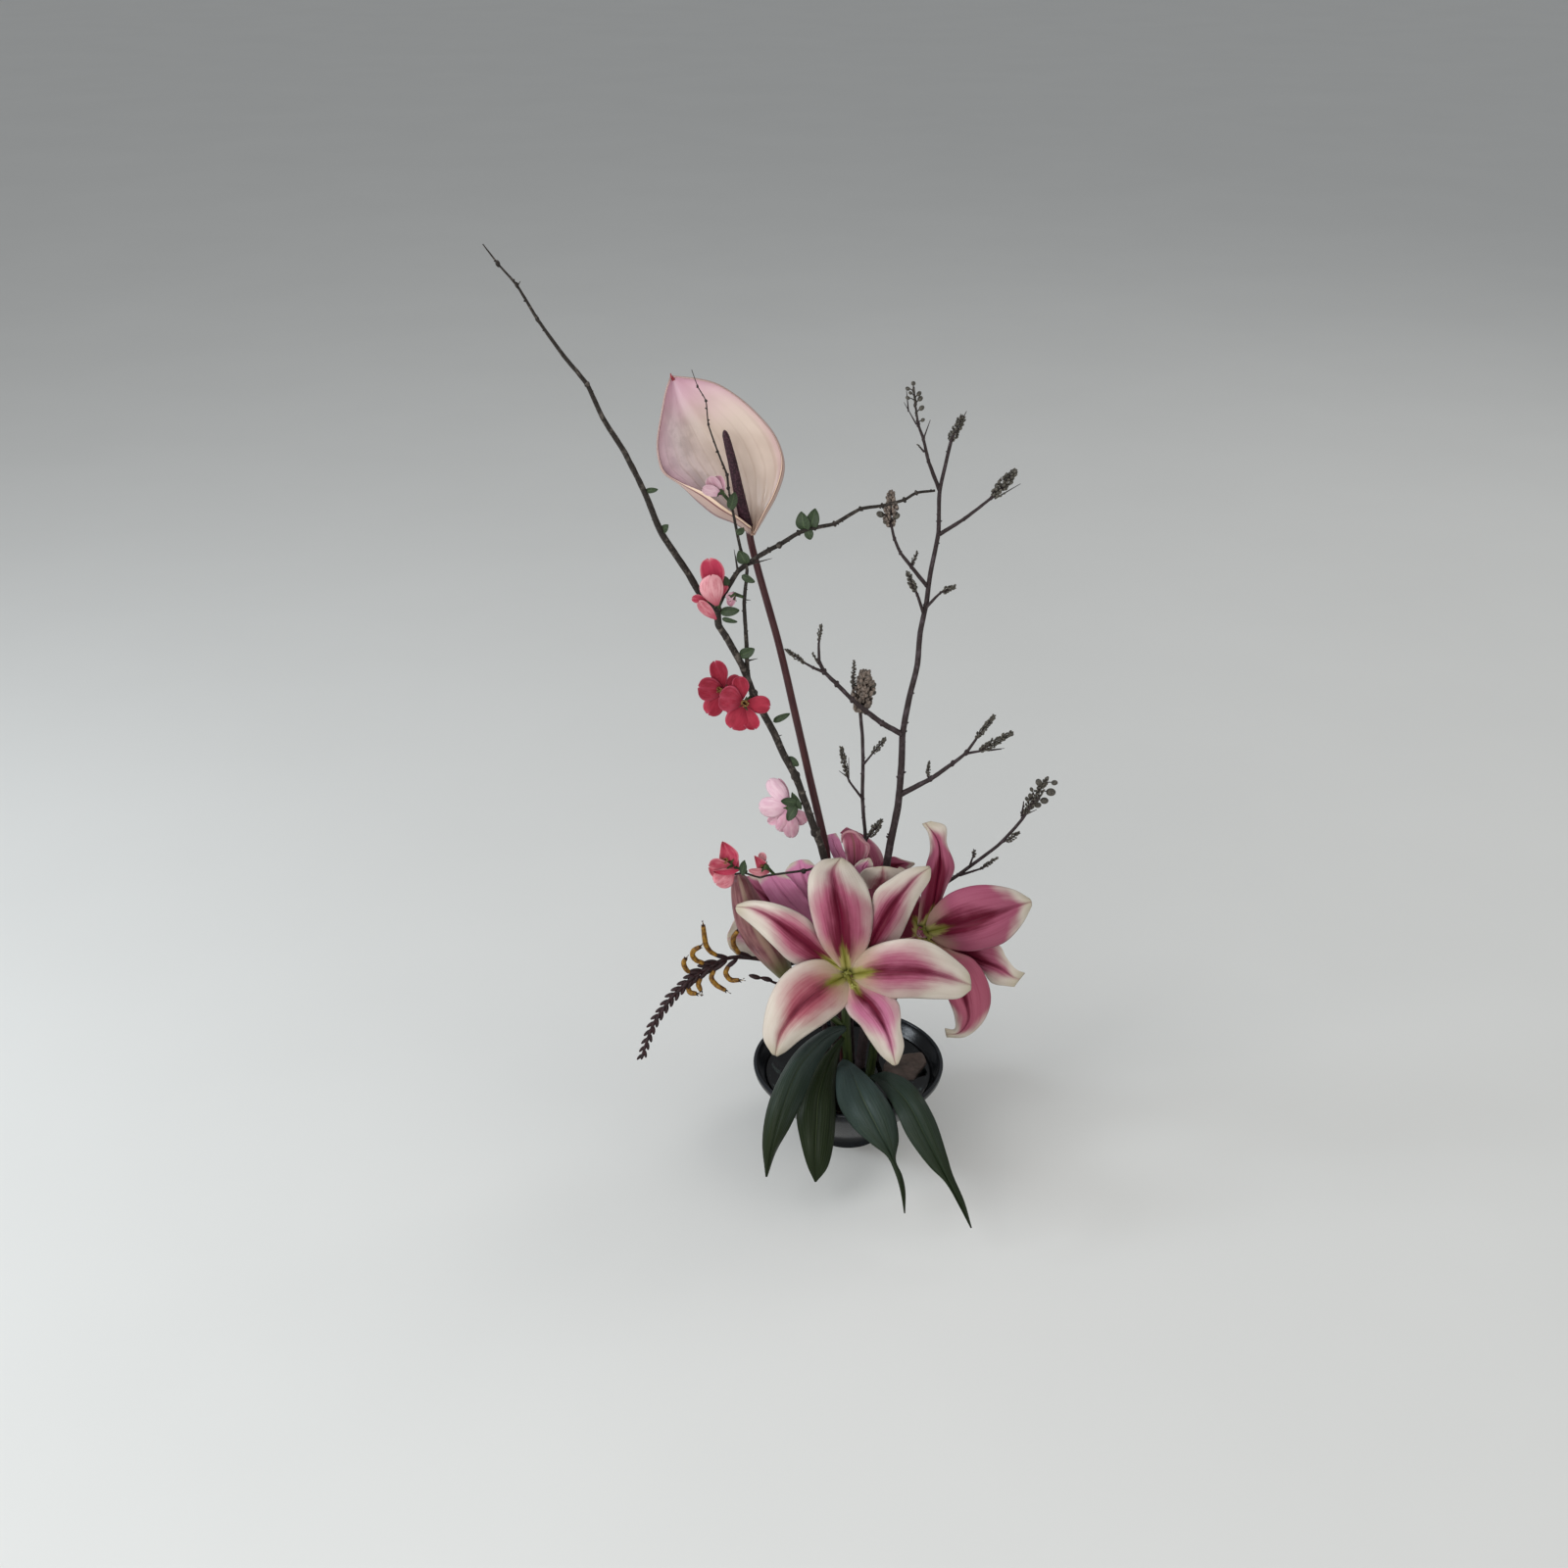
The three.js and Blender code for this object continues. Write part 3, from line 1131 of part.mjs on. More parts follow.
const FAT = GAP + 0.05;
const fatStems = [
  quinceTwigs(FAT)[0],
  anthuriumStem(FAT),
  branchWood(FAT),
  centreTwigWood(FAT),
  rightTwigWood(FAT),
  lilyStemA(FAT),
  lilyStemB(FAT),
  spikeStem(FAT),
];
const fatQuince = quinceBranch(FAT);
const [, fatAnthurium, , , , fatStemA, fatStemB] = fatStems;

add('bowl', bowl(), LOOKS.glaze);
add('kenzan', clearOf(pinHolder(), fatStems), LOOKS.metal);
add('stone', stone(), LOOKS.stone);
add('water', water([holderPocket(), stone(GAP), ...fatStems]), LOOKS.water);

add('quince_branch', quinceWithLeaves(), LOOKS.quinceWood);
Object.entries(QUINCE_BLOOMS).forEach(([name, spec]) => {
  let look = LOOKS.quinceCoral;
  if (name.includes('red')) look = LOOKS.quinceRed;
  if (name.includes('pink')) look = LOOKS.quincePink;
  add(name, quinceBloom(spec).subtract(fatQuince), look);
});

add('anthurium_stem', anthuriumStem(), LOOKS.anthuriumStem);
add('anthurium_spadix', spadix().subtract(fatAnthurium), LOOKS.spadix);
const spathe = sheet(outlineSurface(SPATHE), 8, 6, SPATHE_THICKNESS);
add('anthurium_spathe', spathe.subtract(fatAnthurium).subtract(spadix(GAP)), LOOKS.spathe);

add('budded_branch', join([branchWood(), ...panicles(BRANCH_PANICLES, 3)]), LOOKS.buddedWood);
add('budded_twig_centre', join([centreTwigWood(), ...panicles(CENTRE_PANICLES, 11)]), LOOKS.buddedWood);
add('budded_twig_right', join([rightTwigWood(), ...panicles(RIGHT_PANICLES, 19)]), LOOKS.buddedWood);

add('lily_stem_a', lilyStemA(), LOOKS.lilyStem);
add('lily_stem_b', lilyStemB(), LOOKS.lilyStem);
Object.entries(LILY_LEAVES).forEach(([name, spec]) => {
  const blade = sheet(outlineSurface({ ...spec, belly: 1.5 }), 10, 4, LEAF_THICKNESS);
  add(name, blade.subtract(fatStemA).subtract(fatStemB), LOOKS.lilyLeaf);
});

// Each bloom: its petals, their cells, its throat, the way back to its stalk, and the stalk
const LILY_BLOOMS = {
  lily_bloom_front: [FRONT_PETALS, [5, 4], FRONT_THROAT, mm(0, 13, -5), fatStemA],
  lily_bloom_right: [RIGHT_PETALS, [5, 4], RIGHT_THROAT, mm(-6, 9, -8), fatStemB],
  lily_bloom_top: [TOP_PETALS, [4, 2], TOP_THROAT, mm(1, 0, -11), fatStemB],
  lily_bloom_left: [LEFT_PETALS, [4, 2], LEFT_THROAT, mm(2, -5, -11), fatStemA],
};
const PISTILS = {
  lily_pistil_front: [FRONT_THROAT, mm(0.1, -0.8, 0.2), 26],
  lily_pistil_right: [RIGHT_THROAT, mm(0.1, -0.9, 0.3), 22],
};
const fatPistils = Object.values(PISTILS).map((spec) => pistil(...spec, GAP));
Object.entries(LILY_BLOOMS).forEach(([name, spec]) => {
  add(name, clearOf(bloom(...spec), [...fatStems, ...fatPistils, lilyBud(GAP)]), LOOKS.lilyPetal);
});
Object.entries(PISTILS).forEach(([name, spec]) => add(name, pistil(...spec), LOOKS.lilyPistil));
add('lily_bud', lilyBud().subtract(fatStemA), LOOKS.lilyBud);

add('montbretia_spike', spike(), LOOKS.spike);

export default arrangement;
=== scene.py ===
"""Ikebana in a black glazed bowl: lilies, a quince branch, an anthurium, budded branches and a
montbretia spike. Every piece is in metres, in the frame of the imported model."""

import bisect
import math
import random

import bmesh
import bpy
from mathutils import Matrix, Vector, noise


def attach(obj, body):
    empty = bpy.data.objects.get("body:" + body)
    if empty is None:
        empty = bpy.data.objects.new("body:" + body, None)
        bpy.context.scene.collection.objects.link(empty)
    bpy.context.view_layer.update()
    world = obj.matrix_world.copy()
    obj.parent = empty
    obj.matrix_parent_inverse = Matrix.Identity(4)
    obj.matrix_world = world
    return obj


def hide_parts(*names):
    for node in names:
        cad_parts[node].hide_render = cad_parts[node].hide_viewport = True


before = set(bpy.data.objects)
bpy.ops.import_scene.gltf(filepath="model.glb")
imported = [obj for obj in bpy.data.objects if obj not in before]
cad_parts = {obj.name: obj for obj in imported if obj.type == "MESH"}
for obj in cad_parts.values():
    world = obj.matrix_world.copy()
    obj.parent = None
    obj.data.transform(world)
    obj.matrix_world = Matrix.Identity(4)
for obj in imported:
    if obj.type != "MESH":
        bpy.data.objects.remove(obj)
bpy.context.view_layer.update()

MM = 0.001
# The camera: the side of its picture in pixels, then its lens, sensor and place in millimetres
VIEW_SIDE = 1600
VIEW_LENS = 45
VIEW_SENSOR = 36
VIEW_FOCAL = VIEW_SIDE * VIEW_LENS / VIEW_SENSOR
VIEW_MIDDLE = VIEW_SIDE / 2
VIEW_PITCH = math.radians(26.5)
VIEW_PLACE = Vector((-50.76, -1290, 950.5))
# The turn from one part to the next round a stem, in radians
GOLDEN_TURN = 2.4


# Places and curves


def mm(x, y, z):
    return Vector((x, y, z)) * MM


def seen(px, py, depth=0):
    """The point at a real depth (its Y, in millimetres) that the photograph shows at a pixel."""
    up = (VIEW_MIDDLE - py) / VIEW_FOCAL
    ray = Vector((
        (px - VIEW_MIDDLE) / VIEW_FOCAL,
        math.cos(VIEW_PITCH) + up * math.sin(VIEW_PITCH),
        up * math.cos(VIEW_PITCH) - math.sin(VIEW_PITCH),
    ))
    return (VIEW_PLACE + ray * ((depth - VIEW_PLACE.y) / ray.y)) * MM


def through(pixels, near, far=None):
    """Pixels as points whose depth runs evenly from near to far."""
    far = near if far is None else far
    last = len(pixels) - 1
    return [seen(*pixel, near + (far - near) * i / last) for i, pixel in enumerate(pixels)]


def ease(low, high, value):
    share = min(max((value - low) / (high - low), 0), 1)
    return share * share * (3 - 2 * share)


def wander(x, y=0.0, z=0.0):
    """A smooth random value between about -1 and 1."""
    return noise.noise(Vector((x, y, z)))


def bend(before, start, end, after, share):
    """A point of the smooth curve from start to end, between two more points."""
    first = max((start - before).length ** 0.5, 1e-6)
    span = max((end - start).length ** 0.5, 1e-6)
    last = max((after - end).length ** 0.5, 1e-6)
    leave = (start - before) / first - (end - before) / (first + span) + (end - start) / span
    meet = (end - start) / span - (after - start) / (span + last) + (after - end) / last
    leave, meet = leave * span, meet * span
    cubic = 2 * start - 2 * end + leave + meet
    square = -3 * start + 3 * end - 2 * leave - meet
    return ((cubic * share + square) * share + leave) * share + start


class Route:
    """A curve through points, read by its share of the length. With kink at 1 it runs straight."""

    def __init__(self, points, pieces=16, kink=0.0):
        ends = [points[0] * 2 - points[1], *points, points[-1] * 2 - points[-2]]
        self.line = [points[0]]
        for i in range(len(points) - 1):
            for k in range(1, pieces + 1):
                straight = points[i].lerp(points[i + 1], k / pieces)
                self.line.append(bend(*ends[i : i + 4], k / pieces).lerp(straight, kink))
        self.marks = [0.0]
        for a, b in zip(self.line, self.line[1:]):
            self.marks.append(self.marks[-1] + (b - a).length)
        self.length = self.marks[-1]

    def at(self, t):
        want = min(max(t, 0), 1) * self.length
        i = bisect.bisect_right(self.marks, want, 1, len(self.marks) - 1)
        span = self.marks[i] - self.marks[i - 1]
        share = (want - self.marks[i - 1]) / span if span else 0
        return self.line[i - 1].lerp(self.line[i], share)

    def heading(self, t, reach=0.004):
        return (self.at(t + reach) - self.at(t - reach)).normalized()

    def frames(self, steps):
        """Places along the curve, each with two directions across it that don't twist."""
        side = self.heading(0).orthogonal().normalized()
        made = []
        for k in range(steps + 1):
            ahead = self.heading(k / steps)
            side = (side - ahead * side.dot(ahead)).normalized()
            made.append((self.at(k / steps), side, ahead.cross(side)))
        return made


# Shapes


def grid(bm, columns, rows):
    """A grid of new corners, each with its place across and along it from 0 to 1."""
    made = bmesh.ops.create_grid(bm, x_segments=columns, y_segments=rows, size=0.5)["verts"]
    low, high = made[0].co.copy(), made[-1].co.copy()
    return {v: ((v.co.x - low.x) / (high.x - low.x), (v.co.y - low.y) / (high.y - low.y)) for v in made}


def lay_uv(bm, places, stretch=(1, 1), shift=(0, 0)):
    layer = bm.loops.layers.uv.verify()
    faces = {f for v in places for f in v.link_faces}
    for face in faces:
        for loop in face.loops:
            across, along = places[loop.vert]
            loop[layer].uv = (across * stretch[0] + shift[0], along * stretch[1] + shift[1])


def limb(bm, points, radius_at, sides=12, step=1.5, relief=0.0, grain=60, seed=0, kink=0.0):
    """A round stem along points; radius_at(t) is in millimetres. Its UV runs in centimetres along it."""
    way = Route(points, kink=kink)
    steps = max(3, round(way.length / (step * MM)))
    places = grid(bm, sides, steps)
    lay_uv(bm, places, (1, way.length * 100), (0, seed))
    frames = way.frames(steps)
    for corner, (across, along) in places.items():
        centre, side, other = frames[round(along * steps)]
        turn = 2 * math.pi * across
        radius = radius_at(along) * MM
        if relief:
            bump = wander(math.cos(turn) * 1.3 + seed, math.sin(turn) * 1.3, along * way.length * grain)
            radius *= 1 + relief * bump
        corner.co = centre + (side * math.cos(turn) + other * math.sin(turn)) * radius
    bmesh.ops.remove_doubles(bm, verts=list(places), dist=1e-6)
    return way


def close_ends(bm):
    bmesh.ops.holes_fill(bm, edges=[e for e in bm.edges if e.is_boundary])
    bmesh.ops.recalc_face_normals(bm, faces=bm.faces)


def lay_round_uv(bm):
    """Gives the faces that have no UV one from their place, so that bark runs over knots too."""
    layer = bm.loops.layers.uv.verify()
    for face in bm.faces:
        if any(loop[layer].uv.length > 0 for loop in face.loops):
            continue
        for loop in face.loops:
            x, y, z = loop.vert.co * 100
            loop[layer].uv = (x * 0.9 + y * 0.4, z)


def taper(start, end, power=1.0):
    return lambda t: start + (end - start) * t ** power


def turn_to(centre, axis, across, length, thick=None):
    """The placing of a shape that stands along Z so that it lies along an axis, in millimetres of size."""
    thick = across if thick is None else thick
    sizes = Matrix.Diagonal((across * MM, thick * MM, length * MM, 1))
    return Matrix.Translation(centre) @ axis.to_track_quat("Z", "Y").to_matrix().to_4x4() @ sizes


def pod(bm, centre, axis, length, across, thick=None, sides=10, bands=7, pointed=0.0, rough=0.0, look=0):
    """A ball stretched along an axis and drawn out to a point at its far end; rough is in millimetres."""
    small = bmesh.new()
    corners = bmesh.ops.create_uvsphere(small, u_segments=sides, v_segments=bands, radius=0.5)["verts"]
    for corner in corners:
        height = corner.co.z + 0.5
        pinch = 1 - pointed * height ** 2
        corner.co.x *= pinch
        corner.co.y *= pinch
    bmesh.ops.transform(small, matrix=turn_to(centre, axis, across, length, thick), verts=corners)
    for corner in corners:
        x, y, z = corner.co * 600
        corner.co += (corner.co - centre).normalized() * wander(x, y, z) * rough * MM
    for face in small.faces:
        face.material_index = look
    made = bpy.data.meshes.new("pod")
    small.to_mesh(made)
    small.free()
    bm.from_mesh(made)
    bpy.data.meshes.remove(made)


def blade(bm, surface, rows, columns, tints=None, thin=0.25, deck=0):
    """A sheet over surface(t, u), with t from 0 to 1 along it and u from -1 to 1 across."""
    bm.loops.layers.uv.verify()
    kept = bm.verts.layers.float
    for name in tints or {}:
        if kept.get(name) is None:
            kept.new(name)
    weights = bm.verts.layers.deform.verify()
    layers = {name: kept[name] for name in tints or {}}
    places = grid(bm, columns, rows)
    lay_uv(bm, places)
    for face in {f for v in places for f in v.link_faces}:
        face.material_index = deck
    for corner, (across, along) in places.items():
        u = across * 2 - 1
        corner.co = surface(along, u)
        corner[weights][0] = max(thin, (1 - u * u) * (1 - 0.75 * along ** 3))
        for name, value in (tints or {}).items():
            corner[layers[name]] = value
    return places


def pixel_route(pixels):
    return Route([Vector((*pixel, 0, 0)[:3]) for pixel in pixels])


def outline(left, rib, right, back=(0, 0), belly=0):
    """The pixel and depth at (t, u) of a petal or leaf between its two edges and over its rib.
    The edges lie back from the rib, and each half bellies towards the viewer."""
    edges = pixel_route(left), pixel_route(rib), pixel_route(right)
    rows = {}

    def surface(t, u):
        if t not in rows:
            rows[t] = [edge.at(t) for edge in edges]
        a, b, c = rows[t]
        to_left, to_right, middle = (u * u - u) / 2, (u * u + u) / 2, 1 - u * u
        swell = math.sqrt(max(math.sin(math.pi * t), 0))
        edge = (back[0] if u < 0 else back[1]) * u * u * swell
        lift = belly * 4 * abs(u) * (1 - abs(u)) * swell
        return (
            a.x * to_left + b.x * middle + c.x * to_right,
            a.y * to_left + b.y * middle + c.y * to_right,
            b.z + edge - lift,
        )

    return surface


def faces_viewer(base):
    """Whether the first side of a sheet laid out in pixels is the one that the photograph shows."""
    left, right = base(0.5, -0.4), base(0.5, 0.4)
    low, high = base(0.4, 0), base(0.6, 0)
    turn = (right[0] - left[0]) * (high[1] - low[1]) - (right[1] - left[1]) * (high[0] - low[0])
    return turn < 0


def lathe(bm, profile, steps=96):
    """Turns a profile of (radius, height) in millimetres about the upright axis."""
    corners = [bm.verts.new((radius * MM, 0, height * MM)) for radius, height in profile]
    edges = [bm.edges.new(pair) for pair in zip(corners, corners[1:])]
    bmesh.ops.spin(
        bm, geom=corners + edges, cent=(0, 0, 0), axis=(0, 0, 1), dvec=(0, 0, 0),
        angle=2 * math.pi, steps=steps, use_merge=True,
    )
    bmesh.ops.remove_doubles(bm, verts=bm.verts, dist=1e-6)
    bmesh.ops.recalc_face_normals(bm, faces=bm.faces)


def piece(bm, name, nodes, materials, thickness=0.0, sharp=None):
    """Makes a mesh a piece of the arrangement that stands for nodes of the model."""
    mesh = bpy.data.meshes.new(name)
    bm.to_mesh(mesh)
    bm.free()
    mesh.shade_smooth()
    if sharp:
        mesh.set_sharp_from_angle(angle=math.radians(sharp))
    made = bpy.data.objects.new(name, mesh)
    bpy.context.scene.collection.objects.link(made)
    for look in materials:
        mesh.materials.append(look)
    if thickness:
        made.vertex_groups.new(name="thick")
        wall = made.modifiers.new("wall", "SOLIDIFY")
        wall.thickness = thickness * MM
        wall.offset = 0
        wall.use_quality_normals = True
        wall.vertex_group = "thick"
        wall.thickness_vertex_group = 0.05
        wall.material_offset = 1
    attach(made, "root")
    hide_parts(*nodes)
    return made


# Materials


def tone(code):
    """A colour written as six hexadecimal digits, as Blender's own linear values."""
    parts = [int(code[i : i + 2], 16) / 255 for i in (0, 2, 4)]
    return (*[p / 12.92 if p <= 0.04045 else ((p + 0.055) / 1.055) ** 2.4 for p in parts], 1)


def put(tree, kind, *feeds, out=0, **settings):
    """Adds a node, sets it, feeds its inputs in order, and gives one of its outputs."""
    made = tree.nodes.new(kind)
    for key, value in settings.items():
        setattr(made, key, value)
    for socket, feed in zip(made.inputs, feeds):
        join(tree, feed, socket)
    return made.outputs[out]


def join(tree, feed, socket):
    """Feeds a socket with a node's output, a plain value or a colour of six hexadecimal digits."""
    if isinstance(feed, bpy.types.NodeSocket):
        tree.links.new(feed, socket)
    elif feed is not None:
        socket.default_value = tone(feed) if isinstance(feed, str) else feed


def sums(tree, operation, a, b=None, c=None, clamp=False):
    return put(tree, "ShaderNodeMath", a, b, c, operation=operation, use_clamp=clamp)


def plus(tree, a, b):
    return sums(tree, "ADD", a, b)


def minus(tree, a, b):
    return sums(tree, "SUBTRACT", a, b)


def times(tree, a, b, clamp=False):
    return sums(tree, "MULTIPLY", a, b, clamp=clamp)


def spread(tree, value, size, start):
    """A value from 0 to 1 as one that runs from start over a range of the given size."""
    return sums(tree, "MULTIPLY_ADD", value, size, start)


def fade(tree, value, low, high, start=0.0, end=1.0):
    """Runs smoothly from start to end as value goes from low to high."""
    return put(tree, "ShaderNodeMapRange", value, low, high, start, end, interpolation_type="SMOOTHSTEP")


def blend(tree, share, a, b):
    made = tree.nodes.new("ShaderNodeMix")
    made.data_type = "RGBA"
    join(tree, share, made.inputs[0])
    join(tree, a, made.inputs[6])
    join(tree, b, made.inputs[7])
    return made.outputs[2]


def ramp(tree, value, stops):
    """Reads a number off a scale of (place, number) stops."""
    made = tree.nodes.new("ShaderNodeValToRGB")
    scale = made.color_ramp
    scale.interpolation = "EASE"
    while len(scale.elements) < len(stops):
        scale.elements.new(0.5)
    for element, (place, shade) in zip(scale.elements, stops):
        element.position = place
        element.color = (shade, shade, shade, 1)
    join(tree, value, made.inputs[0])
    return made.outputs[0]


def scaled(tree, vector, sizes):
    return put(tree, "ShaderNodeMapping", vector, None, None, sizes)


def cloud(tree, vector, scale, detail=3.0, rough=0.55):
    made = tree.nodes.new("ShaderNodeTexNoise")
    join(tree, vector, made.inputs["Vector"])
    for name, value in (("Scale", scale), ("Detail", detail), ("Roughness", rough)):
        made.inputs[name].default_value = value
    return made.outputs[0]


def cells(tree, vector, scale):
    """The distance from the middle of the nearest of many small cells."""
    made = tree.nodes.new("ShaderNodeTexVoronoi")
    join(tree, vector, made.inputs["Vector"])
    made.inputs["Scale"].default_value = scale
    return made.outputs[0]


def relief(tree, height, strength, distance):
    """A surface normal raised by height; distance is in millimetres."""
    return put(tree, "ShaderNodeBump", strength, distance * MM, None, height)


def effect(name, entries, exits):
    """An empty node group with named inputs and outputs, for an effect that several materials use."""
    tree = bpy.data.node_groups.new(name, "ShaderNodeTree")
    for kind, sockets in (("INPUT", entries), ("OUTPUT", exits)):
        for label, form in sockets:
            tree.interface.new_socket(label, in_out=kind, socket_type="NodeSocket" + form)
    return tree, tree.nodes.new("NodeGroupInput").outputs, tree.nodes.new("NodeGroupOutput").inputs


def use(tree, group, **feeds):
    made = tree.nodes.new("ShaderNodeGroup")
    made.node_tree = group
    for label, feed in feeds.items():
        join(tree, feed, made.inputs[label])
    return made.outputs


def finish(name, skin, shine=0.5, **sockets):
    """A material. skin(tree) gives its colour, roughness, normal and share of metal; shine is its gloss."""
    look = bpy.data.materials.new(name)
    look.use_nodes = True
    tree = look.node_tree
    shader = tree.nodes["Principled BSDF"]
    shader.inputs["Specular IOR Level"].default_value = shine
    for label, value in sockets.items():
        shader.inputs[label.replace("_", " ")].default_value = value
    for label, feed in zip(("Base Color", "Roughness", "Normal", "Metallic"), skin(tree)):
        join(tree, feed, shader.inputs[label])
    return look


def own_uv(tree):
    return put(tree, "ShaderNodeTexCoord", out=2)


def own_place(tree):
    return put(tree, "ShaderNodeTexCoord", out=3)


def split(tree, vector):
    made = tree.nodes.new("ShaderNodeSeparateXYZ")
    tree.links.new(vector, made.inputs[0])
    return made.outputs[0], made.outputs[1], made.outputs[2]


def mark(tree, name):
    """A value that the piece carries on its corners."""
    return put(tree, "ShaderNodeAttribute", out=2, attribute_name=name)


# Places of the pieces: pixels of the photograph, with depths and sizes in millimetres

QUINCE_TRUNK = [
    [842, 880], [838.6, 866], [832.3, 849], [822, 820], [811.7, 791.5], [800, 770.5], [790, 748],
    [780.4, 730.4], [768.8, 708], [757, 678.6], [741, 650], [733.3, 638], [732, 621.7],
]
QUINCE_LEADER = [
    [732, 624], [716.7, 609], [700.5, 582.4], [684.2, 558.4], [673.7, 541.6], [657.9, 502.6],
    [637.9, 462.6], [614.7, 425.8], [599, 392], [574.7, 362.6], [548.4, 325.8], [527.4, 291], [508, 269],
    [492.6, 249],
]
QUINCE_SIDE = [
    [732, 620], [739, 605.5], [753, 583], [763.7, 574.6], [784.7, 561.3], [795.3, 556], [814.7, 543.7],
    [831, 538.6], [851.4, 534.5], [878, 519.2], [900.4, 516], [922.9, 510], [935, 502.9], [954, 500.6],
]
QUINCE_TWIG = [
    [763.9, 694], [762.3, 677.8], [761.8, 657.3], [759.3, 616.5], [760.3, 603.3], [762.3, 580.8],
    [755.4, 559], [749.4, 530], [743.3, 498.4], [742, 485], [732.4, 460.9], [722.7, 433], [720.3, 408.8],
    [711.8, 394.2], [705.8, 377.3],
]
QUINCE_LOW_TWIG = [
    [843, 882], [824.4, 887.7], [799.5, 891], [782.3, 893.5], [775.6, 895.4], [758.4, 890.6], [744, 893],
    [733, 891],
]
# For each thorn: its foot, its tip, its radius and its depth
QUINCE_THORNS = [
    [[764.5, 576], [788, 569.7], 0.9, -9],
    [[752.8, 582], [749, 560.6], 0.9, -10],
    [[764, 674], [773, 672], 0.7, -10],
    [[759.5, 612], [766, 612.4], 0.6, -9],
    [[791, 752], [798, 750], 0.8, -8],
    [[599.5, 393], [596, 386], 0.8, -16],
    [[527.8, 292], [531, 287], 0.6, -17],
    [[832, 849], [838, 843], 1, -8],
]
# For each leaf: its root, its tip, its width and its depth
QUINCE_LEAVES = [
    [[658.5, 501], [671, 499.5], 4, -14],
    [[675, 543], [681, 536], 5.5, -13],
    [[822, 541.5], [816.5, 525], 10.5, 6],
    [[827, 539.5], [831.5, 521.5], 9.5, 7],
    [[824, 540], [827, 550.5], 6.5, 5],
    [[813, 819], [796.5, 817], 6.5, -13],
    [[812, 822], [803.5, 837], 7.5, -13],
    [[762, 575], [754, 563.5], 9, -10],
    [[757, 587], [769.5, 594.5], 5.5, -9],
    [[743, 600], [740, 588.5], 5, -9],
    [[735, 624.5], [754, 623], 7, -13],
    [[737, 631], [751.5, 635.5], 4, -13],
    [[755, 669], [769, 663], 8, -11],
    [[789, 736], [805, 729], 5, -8],
    [[803, 773], [815, 781], 6, -8],
    [[745, 520], [750, 502], 7, -9],
    [[752, 545], [759, 538], 5.5, -9],
    [[757, 893], [760, 878], 6, -15],
    [[817, 826], [808, 812], 6, -9],
]
# For each knot: its place, its size and its depth
QUINCE_KNOTS = [
    [[732, 622], 6.5, -12], [[795.3, 556], 5, -4], [[768.8, 708], 7, -9], [[811.7, 791.5], 7.5, -8],
    [[711.7, 393.8], 1.7, -6.4], [[720.4, 409], 1.9, -6.8], [[722.7, 433], 2.1, -7.2],
    [[731.5, 461], 2.2, -7.6], [[742, 484.5], 2.6, -8], [[743.3, 498.4], 2.8, -8.4], [[599, 392], 4, -16],
    [[832.3, 849], 8.4, -8], [[820, 889], 4.4, -10],
]
